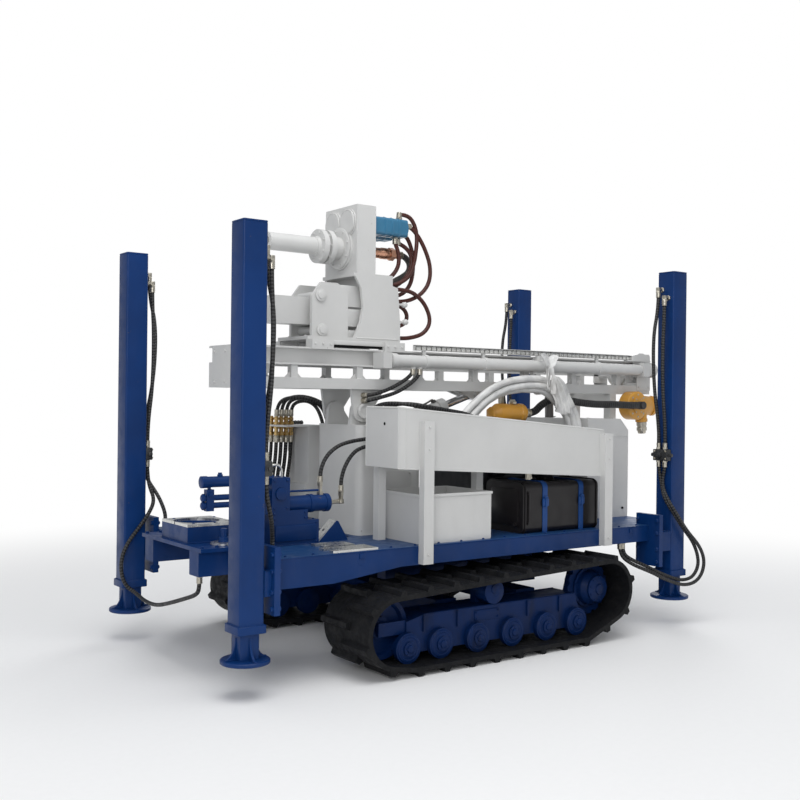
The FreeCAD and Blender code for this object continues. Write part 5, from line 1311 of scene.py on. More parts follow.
    def mounting(self, paint: Surface, steel: Surface) -> None:
        """Add the flange bolts and the welds round the stub beam.

        Args:
            paint: the piece of painted details.
            steel: the piece of bolts.
        """
        way, half = -self.inward, self.side / 2
        flange = self.flanges[0 if self.front else 1]
        for sign in (way, -way):
            places = grid(flange + sign * 16, (self.y - 78, self.y + 78), (420, 500, 600, 680))
            steel.bolts(15, places, (sign, 0, 0))
        for x in (flange + way * 19, self.x - way * (half + 3)):
            for y in (self.y - half, self.y + half):
                paint.bead((x, y, 480), (x, y, 600))
            paint.bead((x, self.y - half, 600), (x, self.y + half, 600))


@dataclass
class Deck(Assembly):
    """Bolts, welds and lashing rings of the deck.

    Args:
        top: the deck's height.
        half: half its width.
        edge_bolts: where the bolts along each side beam start and end, and how many there are.
        seams: places of the weld seams across the plate.
        rings_x: places of the lashing rings.
        beams_x: places of the cross beams' welds.
    """

    top: float = 645.0
    half: float = 735.0
    edge_bolts: tuple[float, float, int] = (-1100.0, 1440.0, 17)
    seams: Sequence[float] = (-560.0, 60.0)
    rings_x: Sequence[float] = (-1010.0, 1010.0)
    beams_x: Sequence[float] = (-1120.0, -560.0, 60.0, 560.0, 1200.0)
    paint: Surface = started("deck_welds_and_rings", "root", "blue_paint")
    steel: Surface = started("deck_and_flange_bolts", "root", "blue_paint")

    def build(self, legs: Sequence[Leg]) -> None:
        """Make the deck's details and the legs' flange bolts.

        Args:
            legs: the four legs.
        """
        paint, top = self.paint, self.top
        for leg in legs:
            leg.mounting(paint, self.steel)
        self.steel.bolts(9, mirrored(grid(np.linspace(*self.edge_bolts), 700, top)))
        for side in SIDES:
            y = side * self.half
            paint.bead((-1170, y, top - 4), (1530, y, top - 4), 3)
            for x in self.rings_x:
                paint.tube(circle((x, y - side * 4, 596), 24, 20, Axis.Y), 5, 8, closed=True)
                paint.box((x - 16, y - 3, 606), (x + 16, y + 7, 634), 3, Axis.Y)
            for x, shift in product(self.beams_x, (-35, 35)):
                paint.bead((x + shift, side * 655, 548), (x + shift, side * 655, 636), 3)
        for (rear, front), (low, high) in product(((1435, 1443), (1535, 1545)), ((545, 553), (628, 636))):
            paint.both(block((rear, 350, low), (front, 644, high), 2, Axis.Y))
        for x in self.seams:
            paint.bead((x, -600, top), (x, 250, top), 2.5)
        paint.both(slab(((-1173, 545), (-1173, 632), (-1085, 545)), 645, 655, Axis.Y))
        self.make()


@dataclass
class RunningGear(Assembly):
    """Covers, bolts and guide lugs of the tracks' wheels and frames.

    Args:
        gauge: the track's middle from the machine's middle.
        half: half the track frame's width.
        rollers: places of the track rollers.
        roller_z: the rollers' height.
        idler: the idler's place.
        sprocket: the sprocket's place.
        carrier: the carrier roller's place.
    """

    gauge: float = 690.0
    half: float = 95.0
    rollers: Sequence[float] = (766.0, 548.0, 293.0, 41.0, -219.0, -462.0)
    roller_z: float = 130.3
    idler: tuple[float, float] = (885.0, 235.0)
    sprocket: tuple[float, float] = (-655.0, 300.0)
    carrier: tuple[float, float] = (168.0, 380.0)
    # These pieces take the darker blue that paints the shade under the deck.
    paint: Surface = started("wheel_covers_and_ribs", "root", "shade_darkened_blue", "blue_paint")
    steel: Surface = started("running_gear_bolts", "root", "shade_darkened_blue", "blue_paint")

    def hub(self, place: Point, profile: Profile, radius: float = 0.0, count: int = 0, size: float = 0.0,
            level: float = 0.0) -> None:
        """Cover of one wheel on both tracks, turned round the wheel's axle, and its bolts.

        Args:
            place: the cover's foot on the left track.
            profile: its heights outwards and radii.
            radius: the bolt circle's radius.
            count: how many bolts there are.
            size: their size.
            level: how far out they sit.
        """
        x, y, z = place
        for side in SIDES:
            self.paint.lathe(profile, 28, [(x, side * y, z)], (0, side, 0))
            ring = circle((x, side * (y + level), z), radius, count, Axis.Y, 0.04)
            self.steel.bolts(size, ring, (0, side, 0))

    def wheels(self) -> None:
        """Add the covers of rollers, idlers, carrier rollers and sprockets."""
        gauge, z = self.gauge, self.roller_z
        face = gauge + self.half + 38
        for x in self.rollers:
            self.hub((x, face, z), ((0, 34), (3, 38), (8, 38), (9, 22), (15, 20), (18, 12)), 29, 5, 4.5, 8)
            self.hub((x, face - 8, z), ((0, 74), (5, 70), (7, 60), (4, 56), (2, 46), (3, 30)))
        x, z = self.idler
        self.hub((x, gauge + 30, z), ((0, 52), (5, 56), (12, 56), (16, 40), (22, 36), (25, 20)), 46, 6, 6, 13)
        x, z = self.sprocket
        cover = ((0, 78), (4, 80), (14, 78), (22, 60), (26, 34), (34, 30), (37, 20))
        self.hub((x, gauge + 92, z), cover, 66, 9, 6.5, 18)
        self.hub((x, gauge + 18, z), ((0, 118), (3, 122), (12, 122), (14, 104)), 110, 12, 7.5, 13)
        x, z = self.carrier
        self.hub((x, gauge + 112, z), ((0, 26), (4, 30), (10, 28), (14, 14)))

    def frames(self) -> None:
        """Add axle keepers, ribs, the tension cover and welds to both track frames."""
        face = self.gauge + self.half
        for x in self.rollers:
            self.paint.both(block((x - 46, face - 1, 150), (x + 46, face + 9, 196), 3, Axis.Y))
        for x in (-340, -90, 420, 650):
            rib = ((x - 5, 200), (x + 5, 200), (x + 5, 286), (x - 5, 286))
            self.paint.both(slab(rib, face - 1, face + 12, Axis.Y))
        self.paint.both(block((120, face - 1, 214), (300, face + 6, 272), 4, Axis.Y, 10))
        for side in SIDES:
            for x in self.rollers:
                self.steel.bolts(8, grid((x - 32, x + 32), side * (face + 9), 176), (0, side, 0))
            self.steel.bolts(7, grid((132, 288), side * (face + 6), (226, 260)), (0, side, 0))
            for y in (face, self.gauge - self.half):
                self.paint.bead((-480, side * y, 292), (640, side * y, 292), 3.5)
            for x in (-320, -180, 280, 420):
                self.paint.bead((x, side * 595, 215), (x, side * 595, 310))

    def build(self) -> None:
        """Make the pieces of the running gear."""
        self.wheels()
        self.frames()
        self.make()


@dataclass
class Mast(Assembly):
    """Chain, bolts, gussets, end covers, feed cylinder details and hose guide of the mast.

    Args:
        half: half its width.
        top: its top.
        front: its front end.
        pitch: distance of the chain's pins.
        sheave: radius of the chain's pitch line at both ends.
        sheaves: places of the rear and front sheave, and their height.
        posts: places of the frame's posts.
        feed_line: the feed cylinder's place across the machine and height.
        clips: places of the feed cylinder's clips.
        guide_x: the hose guide's rear and front ends.
        guide_z: its underside and top.
        guide_links: how many guard links it has.
    """

    half: float = 200.0
    top: float = 1710.0
    front: float = 1431.0
    pitch: float = 38.1
    sheave: float = 78.0
    sheaves: tuple[float, float, float] = (-1659.0, 1301.0, 1614.0)
    posts: Sequence[float] = (1106.0, 676.0, 246.0, -184.0, -614.0, -1044.0, -1474.0)
    feed_line: tuple[float, float] = (262.0, 1648.0)
    clips: Sequence[float] = (-1200.0, -700.0, -200.0, 260.0)
    guide_x: tuple[float, float] = (-1690.0, 330.0)
    guide_z: tuple[float, float] = (1713.0, 1747.0)
    guide_links: int = 53
    links: Surface = started("feed_roller_chain", "mast", "chain_steel", "", "feed_chain")
    guards: Surface = started("hose_guide_links", "mast", "zinc_plate")
    pale: Surface = started("mast_gussets_and_welds", "mast", "light_paint")
    steel: Surface = started("mast_bolts", "mast", "light_paint")

    def chain(self) -> None:
        """Add the roller chain: links stepped along a loop of two straights and two half circles.

        The lower half of the loop is the upper half turned half round about the loop's middle.
        """
        rear, front, z = self.sheaves
        radius, straight = self.sheave, front - rear
        way_round = straight + np.pi * radius
        count = int(2 * way_round // self.pitch) // 2 * 2
        step = 2 * way_round / count
        place = (np.arange(count) + 0.5) * step
        side = np.where(place < way_round, 1, -1)
        gone = place % way_round
        angle = np.maximum(gone - straight, 0) / radius
        x = (rear + front) / 2 + side * (np.minimum(gone, straight) - straight / 2 + radius * np.sin(angle))
        height = z + side * radius * np.cos(angle)
        turn = angle + np.where(side > 0, 0, np.pi)
        end, wide, reach = np.linspace(-np.pi / 2, np.pi / 2, 5), 8.5, step / 2
        right = np.stack((reach + wide * np.cos(end), wide * np.sin(end)), axis=1)
        outline = np.concatenate((right, -right))
        plates = [[slab(outline, y * s - 1.5, y * s + 1.5, Axis.Y, 0.6) for s in SIDES] for y in (9.0, 12.5)]
        pin = ((-14.5, 3), (-14.5, 4), (-8, 4), (-7.5, 7), (7.5, 7), (8, 4), (14.5, 4), (14.5, 3))
        roller = turned(pin, 10) @ basis(LEFT).T + (reach, 0, 0)
        for index in range(count):
            cosine, sine = math.cos(turn[index]), math.sin(turn[index])
            spin = np.array(((cosine, 0, -sine), (0, 1, 0), (sine, 0, cosine)))
            for rings in (*plates[index % 2], roller):
                self.links.add(rings @ spin + (x[index], 0, height[index]))

    def frame(self) -> None:
        """Add bolts, gussets, end covers and welds to the frame."""
        pale, edge = self.pale, self.half - 6
        for side, x in product(SIDES, self.posts):
            for z in (1540, 1610):
                pale.bead((x - 20, side * edge, z), (x + 20, side * edge, z), 3)
            for way in SIDES:
                gusset = ((x + way * 20, 1540), (x + way * 52, 1540), (x + way * 20, 1572))
                pale.add(slab(gusset, side * 174 - 4, side * 174 + 4, Axis.Y, 1))
        self.steel.bolts(8, grid(self.front, (-130, 0, 130), (1510, 1680)), AHEAD)
        pale.box((self.front - 108, -198, self.top - 2), (self.front - 2, 198, self.top + 3), 2)
        for x in self.sheaves[:2]:
            cheek = ((x - 66, 1560), (x + 66, 1560), (x + 66, 1668), (x - 66, 1668))
            pale.both(slab(cheek, 150, 157, Axis.Y))
            for side in SIDES:
                hub = ((0, 34), (3, 36), (9, 36), (11, 22), (16, 20))
                pale.lathe(hub, 20, [(x, side * 156, self.sheaves[2])], (0, side, 0))

    def feed(self) -> None:
        """Add the feed cylinder's gland, end cap, ports and clips."""
        pale, (y, z) = self.pale, self.feed_line
        pale.lathe(((0, 37), (4, 44), (40, 44), (44, 40), (46, 30), (60, 28)), 32, [(470, y, z)], AHEAD)
        pale.lathe(((0, 38), (3, 43), (26, 43), (30, 38)), 32, [(-1704, y, z)], AHEAD)
        pale.lathe(((0, 36), (2, 50), (4, 52), (16, 52), (20, 48), (21, 30)), 36, [(-1726, y, z)], BACK)
        for x in self.clips:
            pale.lathe(((-15, 37), (-13, 41), (13, 41), (15, 37)), 32, [(x, y, z)], AHEAD)
            pale.box((x - 13, 196, z - 12), (x + 13, y - 30, z + 12), 2, Axis.Y)
        self.steel.nut(((-6, 12), (-4, 15), (8, 15), (10, 12)), [(300, y, z - 36), (350, y, z - 36)], DOWN)
        self.steel.bolts(10, grid((-1652, -1628, 548, 572), y, z + 46))

    def guide(self) -> None:
        """Add the hose guide above the feed cylinder, a channel of guard links, and the rear cheeks."""
        pale, (rear, front), (low, high) = self.pale, self.guide_x, self.guide_z
        channel = ((232, low), (262, low), (262, low + 3), (235, low + 3), (235, high - 3), (256, high - 3),
                   (256, high), (232, high))
        pale.add(slab(channel, rear, front, Axis.X, 0.8))
        for x in self.clips:
            pale.box((x - 11, 238, 1686), (x + 11, 256, low + 1), 2)
        step = (front - rear - 24) / self.guide_links
        reach = step * 0.44
        for index in range(self.guide_links):
            x, top = rear + 12 + step * (index + 0.5), low + (27 if index % 2 else 24)
            self.guards.box((x - reach, 237, low + 4), (x + reach, 252, top), 2.5, Axis.Y, 5)
            rivets = [(x - 9, 252, low + 15), (x + 9, 252, low + 15)]
            self.guards.lathe(((-1, 4), (-1, 5), (2, 5), (3, 3)), 8, rivets, LEFT)
        shelf = ((-1490, 1706), (-1722, 1706), (-1722, 1713), (-1490, 1713))
        pale.add(slab(shelf, 226, 268, Axis.Y, 1.2))
        housing = ((-1540, 1748), (-1588, 1756), (-1606, 1764), (-1650, 1764), (-1664, 1758), (-1712, 1758),
                   (-1722, 1740), (-1722, 1712), (-1540, 1712))
        pale.add(slab(housing, 222, 264, Axis.Y, 3))
        cheek = ((-1600, 1708), (-1788.5, 1708), (-1788.5, 1506), (-1652, 1506), (-1652, 1640))
        pale.both(slab(cheek, 199, 207, Axis.Y, 1.2))
        for side in SIDES:
            places = ((-1770, 1690), (-1770, 1530), (-1670, 1530), (-1640, 1690))
            pale.bolts(9, [(x, side * 207, z) for x, z in places], (0, side, 0))

    def build(self) -> None:
        """Make the mast's pieces."""
        self.chain()
        self.frame()
        self.feed()
        self.guide()
        self.make()


@dataclass
class Head(Assembly):
    """Covers, flanges, bolts, motor ribs and manifold of the drill head and its carriage.

    Args:
        face: the gearbox's front face.
        back: the gearbox's rear face.
        half: half the gearbox's width.
        low: its underside.
        top: its top.
        axis_z: the spindle's height.
        motors_y: places of the two motors across the machine.
        motor_z: their height.
        ports: places of the manifold's ports, across the machine and height.
    """

    face: float = 691.0
    back: float = 561.0
    half: float = 170.0
    low: float = 2150.0
    top: float = 2545.0
    axis_z: float = 2305.0
    motors_y: tuple[float, float] = (78.0, -78.0)
    motor_z: float = 2448.0
    ports: Sequence[tuple[float, float]] = ((90, 2008), (50, 2042), (122, 2078), (122, 1788), (20, 2000),
                                            (20, 1856), (74, 2098), (58, 2078))
    pale: Surface = started("gearbox_covers", "carriage", "light_paint")
    steel: Surface = started("head_bolts", "carriage", "light_paint")
    blue: Surface = started("motor_ribs", "carriage", "motor_paint")
    rail_shadow: Surface = started("carriage_rail_shadow_strips", "carriage", "slot_shade_black", "light_paint")
    collars: Surface = started("spindle_collars", "spindle", "light_paint")
    flange: Surface = started("spindle_bolts", "spindle", "light_paint")

    def gearbox(self) -> None:
        """Add cover rings, seam welds, a plug and bolts to the gearbox."""
        face, z = self.face, self.axis_z
        cover = ((0, 74), (2, 76), (6, 76), (8, 74), (8, 71), (5.5, 70), (5.5, 68), (8, 67), (8, 20), (7, 16),
                 (7, 6))
        self.pale.lathe(cover, 36, grid(face + 8, self.motors_y, self.motor_z), AHEAD)
        self.pale.lathe(((0, 118), (2, 120), (5, 120), (7, 117), (7, 84)), 48, [(face + 14, 0, z)], AHEAD)
        self.steel.bolts(8.5, circle((face + 21, 0, z), 104, 8, Axis.X, 0.04), AHEAD)
        for x, y in product((face - 2, self.back + 2), (self.half, -self.half)):
            self.pale.bead((x, y, self.low + 4), (x, y, self.top - 4), 3)
        self.steel.nut(((0, 14), (6, 14), (8, 10)), [(626, -self.half, 2400)], RIGHT)

    def motors(self) -> None:
        """Add end caps, ribs, ports and flange bolts to the two drive motors."""
        z = self.motor_z
        for y in self.motors_y:
            for x in (352, 402, 452):
                self.blue.box((x, y - 56, z - 56), (x + 16, y + 56, z + 56), 3, Axis.X, 24)
            self.blue.lathe(((0, 46), (3, 50), (10, 50), (14, 40), (17, 20)), 28, [(303, y, z)], BACK)
            self.blue.nut(((0, 15), (3, 18), (16, 18), (18, 14)), [(330, y, z + 52)])
            self.steel.bolts(7.5, grid(541, (y - 52, y + 52), (z - 52, z + 52)), BACK)
            self.steel.bolts(6, circle((289, y, z), 42, 4, Axis.X, 0.12), BACK)

    def carriage(self) -> None:
        """Add bolts, webs, pin caps, the manifold, the covers over the rails and a dark strip of painted
        shadow under each to the carriage.
        """
        pale, steel = self.pale, self.steel
        cap = ((0, 34), (4, 36), (10, 36), (12, 24), (18, 22), (20, 12))
        knob = ((-4, 7), (34, 7), (36, 13), (44, 17), (58, 17), (66, 12), (68, 5))
        for side in SIDES:
            out = (0, side, 0)
            steel.bolts(9, grid((400, 449, 498, 892, 941, 990), side * 220.3, 1730), out)
            pale.bead((390, side * 170, 1776), (690, side * 170, 1776))
            pale.lathe(cap, 28, [(905, side * 128, 2010), (895, side * 128, 1815)], out)
            pale.lathe(knob, 20, [(394, side * 160, 1986), (386, side * 160, 1884)], BACK)
        for low, high in ((1842, 1943), (1955, 2078)):
            pale.both(block((604, 108, low), (800, 122, high), 2.5, Axis.Y))
        pale.both(block((604, 60, 1775), (800, 118, 1822), 3, Axis.X))
        pale.both(block((505, 140, 1729), (885, 198, 1754), 3, Axis.X))
        # Painted shadow: a dark strip under each rail cover stands for the shadow in the gap.
        self.rail_shadow.both(block((505, 140, 1717), (885, 190, 1731), 2, Axis.X))
        steel.bolts(10, grid((760, 980), (-90, 0, 90), 1775))
        pale.box((444, -150, 1770), (462, 150, 2100), 4, Axis.X, 8)
        steel.nut(((0, 15), (6, 15), (8, 12)), [(446, y, z) for y, z in self.ports], BACK)
        steel.bolts(8, grid(444, (-120, -40), (1830, 1930, 2030)), BACK)

    def spindle(self) -> None:
        """Add the flange bolts and the shoulder behind them to the spindle."""
        for x, start, way in ((807, 0.0, AHEAD), (825, 0.06, BACK), (857, 0.06, AHEAD)):
            self.flange.bolts(8, circle((x, 0, self.axis_z), 83, 8, Axis.X, start), way)
        self.collars.lathe(((0, 51), (2, 54), (10, 54), (12, 51)), 36, [(866, 0, self.axis_z)], AHEAD)

    def build(self) -> None:
        """Make the head's pieces."""
        self.gearbox()
        self.motors()
        self.carriage()
        self.spindle()
        self.make()


@dataclass
class Power(Assembly):
    """Engine, radiator and rear hood details.

    Args:
        half: half the engine block's width.
        radiator_face: the radiator's front face.
        hood_rear: the hood's rear face.
        hood_front: its front face.
        hood_half: half its width.
        hood_top: its top.
        louvres: how many louvres a row has.
    """

    half: float = 200.0
    radiator_face: float = -155.0
    hood_rear: float = -1450.0
    hood_front: float = -1060.0
    hood_half: float = 310.0
    hood_top: float = 1310.0
    louvres: int = 9
    cast: Surface = started("engine_castings", "root", "engine_paint")
    steel: Surface = started("power_unit_fittings", "root", "dark_bolt", "fitting_steel")
    pale: Surface = started("hood_louvres_and_panels", "root", "light_paint")
    dark: Surface = started("hood_slot_shade_and_studs", "root", "slot_shade_black", "engine_paint")

    def engine(self) -> None:
        """Add cylinder head, manifolds, injectors, pulleys and sump to the engine block."""
        cast, steel, half = self.cast, self.steel, self.half
        cast.box((-900, -110, 1176), (-340, 110, 1232), 10, Axis.Z, 18)
        for x in (-820, -680, -540, -400):
            cast.box((x - 52, -96, 1228), (x + 52, 96, 1262), 10, Axis.Z, 22)
            steel.bolts(8, [(x - 30, 0, 1262), (x + 30, 0, 1262)])
            steel.nut(((0, 9), (20, 9), (22, 5), (40, 5)), [(x, 128, 1180)], (0, 0.4, 1))
            runner = ((x, -190, 1120), (x, -240, 1120), (x + 14, -262, 1140), (x + 20, -262, 1170))
            cast.tube(smooth_line(runner), 20, 12)
        cast.tube(((-880, -262, 1170), (-600, -262, 1172), (-330, -262, 1170)), 32, 18)
        for x in (-830, -690, -550, -410):
            cast.box((x - 58, half - 3, 760), (x + 58, half + 16, 900), 5, Axis.Y, 16)
            steel.bolts(7, grid((x - 44, x + 44), half + 16, (775, 885)), LEFT)
        for z in (940, 1000, 1060):
            cast.both(block((-960, half - 2, z - 8), (-320, half + 9, z + 8), 3, Axis.X))
        self.pale.lathe(((0, 40), (3, 46), (96, 46), (100, 40), (104, 34)), 24, [(-430, -248, 900)])
        pump = ((0, 48), (8, 52), (60, 52), (66, 44), (120, 40), (124, 30))
        cast.lathe(pump, 24, [(-700, 236, 960)], AHEAD)
        cast.lathe(((0, 60), (4, 66), (70, 66), (76, 58), (84, 30)), 24, [(-370, 232, 1010)], AHEAD)
        for z, radius in ((900, 92), (1080, 62)):
            groove = ((0, radius - 8), (2, radius), (7, radius), (12, radius - 12), (17, radius),
                      (22, radius), (24, radius - 8))
            cast.lathe(groove, 32, [(-280, 0, z)], AHEAD)
        cast.lathe(((0, 30), (0, 38), (20, 38), (24, 30)), 20, [(-256, 0, 1080)], AHEAD)
        cast.box((-940, -150, 655), (-340, 150, 702), 12, Axis.Z, 24)

    def radiator(self) -> None:
        """Add fins, tanks, a cap and a fan guard to the radiator."""
        face = self.radiator_face
        for y in np.linspace(-232, 232, 40):
            self.cast.box((face - 2, y - 1.6, 700), (face + 5, y + 1.6, 1066), 0.6)
        for z in (690, 1074):
            self.pale.box((face - 68, -258, z - 22), (face + 10, 258, z + 22), 8, Axis.Y, 12)
        self.steel.lathe(((0, 26), (8, 26), (8, 30), (18, 30), (22, 22)), 18, [(-190, 120, 1096)])
        for radius in (60, 110, 160, 205):
            self.steel.tube(circle((-246, 0, 880), radius, 36, Axis.X), 3, 6, closed=True)

    def hood(self) -> None:
        """Add louvres, latches, hinges and edge welds to the rear hood, with dark strips of painted shade in
        its slots.

        Each louvre is a lip whose section is close to a quarter circle, carried along its slot.
        """
        pale, dark, steel = self.pale, self.dark, self.steel
        rear, front, side = self.hood_rear, self.hood_front, self.hood_half
        lip = np.array(((0, 0), (9, 0), (7.5, 6), (3, 10), (0, 11)), float)
        for index in range(self.louvres):
            z = 820 + index * 34
            rings = carried(np.array(((-1330, -side, z), (-1180, -side, z)), float), lip)
            rings[..., 1] = -side - np.abs(rings[..., 1] + side)
            pale.add(rings)
            # Painted shade: a dark strip fills the slot under each louvre.
            dark.box((-1328, -side - 1.2, z - 9), (-1182, 2 - side, z - 1), 0.5, Axis.X)
        pale.add(block((-1400, side - 1, 700), (-1110, side + 3, 1180), 1.5, Axis.Y, 14) * MIRROR)
        pale.bolts(7, grid((-1388, -1122), -side - 3, (715, 940, 1165)), RIGHT)
        studs = [(-1398, side, 705), (-1100, side, 705), (-1241, side, 691)]
        dark.lathe(((-2, 6), (0, 8), (6, 8), (9, 5)), 16, studs, LEFT)
        pale.both(block((rear + 2, side - 1, 1188), (front - 2, side + 3, 1196), 1.5))
        for x, top in ((rear + 2, 1230), (front - 2, 1306)):
            for y in (side - 1, 1 - side):
                pale.bead((x, y, 660), (x, y, top), 3)
        pale.box((rear - 4, -250, 720), (rear + 1, 250, 1180), 2, Axis.X, 18)
        steel.lathe(((-34, 7), (-34, 9), (34, 9), (34, 7)), 12, grid(rear - 9, -252, (800, 1100)))
        steel.box((rear - 24, 190, 930), (rear - 8, 214, 1030), 4, Axis.Z, 8)
        steel.lathe(((0, 14), (10, 14), (12, 10)), 16, [(rear - 4, 202, 920)], BACK)
        # Painted shade: dark strips stand for the slots in the rear face.
        for y in range(-165, 166, 30):
            dark.box((rear - 5.2, y - 4, 780), (rear - 3, y + 4, 900), 0.4, Axis.Z, 3)
        pale.bolts(10, grid((-1330, -1090), (-280, 280), self.hood_top))
        pipe = ((-1180, -180, 1305), (-1180, -180, 1380), (-1180, -190, 1440), (-1230, -230, 1452),
                (-1300, -262, 1452))
        steel.tube(smooth_line(pipe), 30, 20)

    def build(self) -> None:
        """Make the pieces of the power unit."""
        self.engine()
        self.radiator()
        self.hood()
        self.make()


@dataclass
class Storage(Assembly):
    """Rims, ribs, straps and caps of the side tray, the toolbox and the fuel tank.

    Args:
        tray_x: the tray's front and rear ends.
        tray_y: its inner and outer sides.
        tray_top: the heights of its rim at both ends.
        tray_low: the heights of its floor at both ends.
        tray_rim: the radius of its rolled rim.
        box_x: the toolbox's rear and front ends.
        box_y: its inner and outer sides.
        tank_x: the tank's rear and front ends.
        tank_y: its inner and outer sides.
        tank_z: its underside and top.
    """

    tray_x: tuple[float, float] = (791.0, -759.0)
    tray_y: tuple[float, float] = (435.0, 735.0)
    tray_top: tuple[float, float] = (1380.0, 1250.0)
    tray_low: tuple[float, float] = (1060.0, 970.0)
    tray_rim: float = 6.5
    box_x: tuple[float, float] = (116.0, 610.0)
    box_y: tuple[float, float] = (300.0, 700.0)
    tank_x: tuple[float, float] = (-790.0, -167.0)
    tank_y: tuple[float, float] = (330.0, 660.0)
    tank_z: tuple[float, float] = (645.0, 943.0)
    pale: Surface = started("tray_and_box_rims", "root", "light_paint")
    steel: Surface = started("store_bolts", "root", "light_paint")
    black: Surface = started("tank_seams", "root", "tank_paint")
    blue: Surface = started("strap_buckles", "root", "strap_paint")
    dark: Surface = started("tray_end_hole_shade", "root", "slot_shade_black", "light_paint")

    def floor(self, x: float) -> float:
        """Height of the tray's floor at a place along it, straight between its two ends."""
        share = (self.tray_x[0] - x) / (self.tray_x[0] - self.tray_x[1])
        return self.tray_low[0] + share * (self.tray_low[1] - self.tray_low[0])

    def tray(self) -> None:
        """Add the rolled rim, corner welds, bend lines, brackets and a dark disc of painted shade for the
        hole in its end to the tray.
        """
        pale, steel = self.pale, self.steel
        (front, rear), (inner, outer) = self.tray_x, self.tray_y
        corners = [(front - 4, inner + 4, self.tray_top[0]), (front - 4, outer - 4, self.tray_top[0]),
                   (rear + 4, outer - 4, self.tray_top[1]), (rear + 4, inner + 4, self.tray_top[1])]
        for first, last in looped(corners):
            pale.tube((first, last), self.tray_rim, 12)
        for y in (inner, outer):
            for x, low, top in zip(self.tray_x, self.tray_low, self.tray_top):
                pale.bead((x, y, low + 3), (x, y, top - 4), 3)
            pale.bead((front, y, self.tray_low[0]), (rear, y, self.tray_low[1]), 3)
        for x, top in ((616, 1310), (-759, 1230)):
            steel.bolts(9, grid(x, 780, (top - 30, top - 150, 600)), LEFT)
            for edge in (x - 33, x + 33):
                pale.bead((edge, 737, self.floor(x)), (edge, 737, top), 3)
        pale.bead((front - 52, outer, self.tray_low[0] + 4), (front - 52, outer, self.tray_top[0] - 10), 2.2)
        # Painted shade: a dark disc stands for the hole in the tray's front end.
        self.dark.lathe(((-2, 8), (0.6, 9), (0.8, 8), (0.4, 4)), 20, [(front, 610, 1294)], AHEAD)
        for x in (680, -25):
            steel.bolts(8, grid(x, 385, (self.floor(x) - 20, self.floor(x) + 30)), RIGHT)

    def toolbox(self) -> None:
        """Add the corner seams, the folded rim's beads and the stiffening ribs of the floor."""
        (rear, front), (inner, outer) = self.box_x, self.box_y
        corners = [(rear, inner, 897), (front, inner, 897), (front, outer, 897), (rear, outer, 897)]
        for first, last in looped(corners):
            self.pale.bead((*first[:2], 650), (*first[:2], 896), 2.5)
            self.pale.tube((first, last), 2.2, 8)
        for x in (rear + 120, (rear + front) / 2, front - 120):
            self.pale.box((x - 12, inner + 4, 652), (x + 12, outer - 4, 658), 2, Axis.Y)

    def tank(self) -> None:
        """Add end seams, filler, level tube, drain and strap buckles to the fuel tank."""
        black, blue = self.black, self.blue
        (rear, front), (inner, outer), (low, top) = self.tank_x, self.tank_y, self.tank_z
        y, section = (inner + outer) / 2, np.array(((-4, -3), (4, -3), (4, 3), (-4, 3)), float)
        for x in (rear + 16, front - 16):
            flat = rounded(outer - inner + 5, top - low + 5, 36, 8) + (y, (low + top) / 2)
            path = np.column_stack((np.full(len(flat), x), flat[:, 0], np.maximum(flat[:, 1], low + 4)))
            black.add(carried(path, section, closed=True), closed=True)
        for x, out in ((rear, 1), (front, 5)):
            black.box((x - 3, inner + 40, low + 40), (x + out, outer - 40, top - 40), 2, Axis.X, 30)
        filler = ((-1, 52), (4, 54), (10, 52), (26, 44), (28, 50), (40, 50), (46, 44), (48, 20))
        black.lathe(filler, 30, [(-500, y, top)])
        black.box((-545, y - 7, top + 42), (-455, y + 7, top + 56), 3, Axis.X)
        for x in (-340, -640):
            blue.box((x - 24, outer + 2, 800), (x + 24, outer + 12, 846), 2.5, Axis.Y, 6)
            blue.lathe(((0, 6), (0, 7), (52, 7), (52, 6)), 12, [(x, outer + 13, 796)])
            blue.nut(((0, 11), (10, 11)), [(x, outer + 13, 848)])
            blue.box((x - 19, inner + 30, top + 3), (x + 19, outer - 30, top + 6), 1, Axis.Y)
        black.nut(((0, 16), (8, 16), (10, 10), (26, 10)), [(front - 4, outer - 60, low + 50)], AHEAD)
        black.tube(((-210, outer + 6, low + 60), (-210, outer + 6, top - 60)), 6, 10)
        black.nut(((-3, 9), (10, 9)), grid(-210, outer, (low + 60, top - 60)), LEFT)

    def build(self) -> None:
        """Make the pieces of the stores."""
        self.tray()
        self.toolbox()
        self.tank()
        self.make()


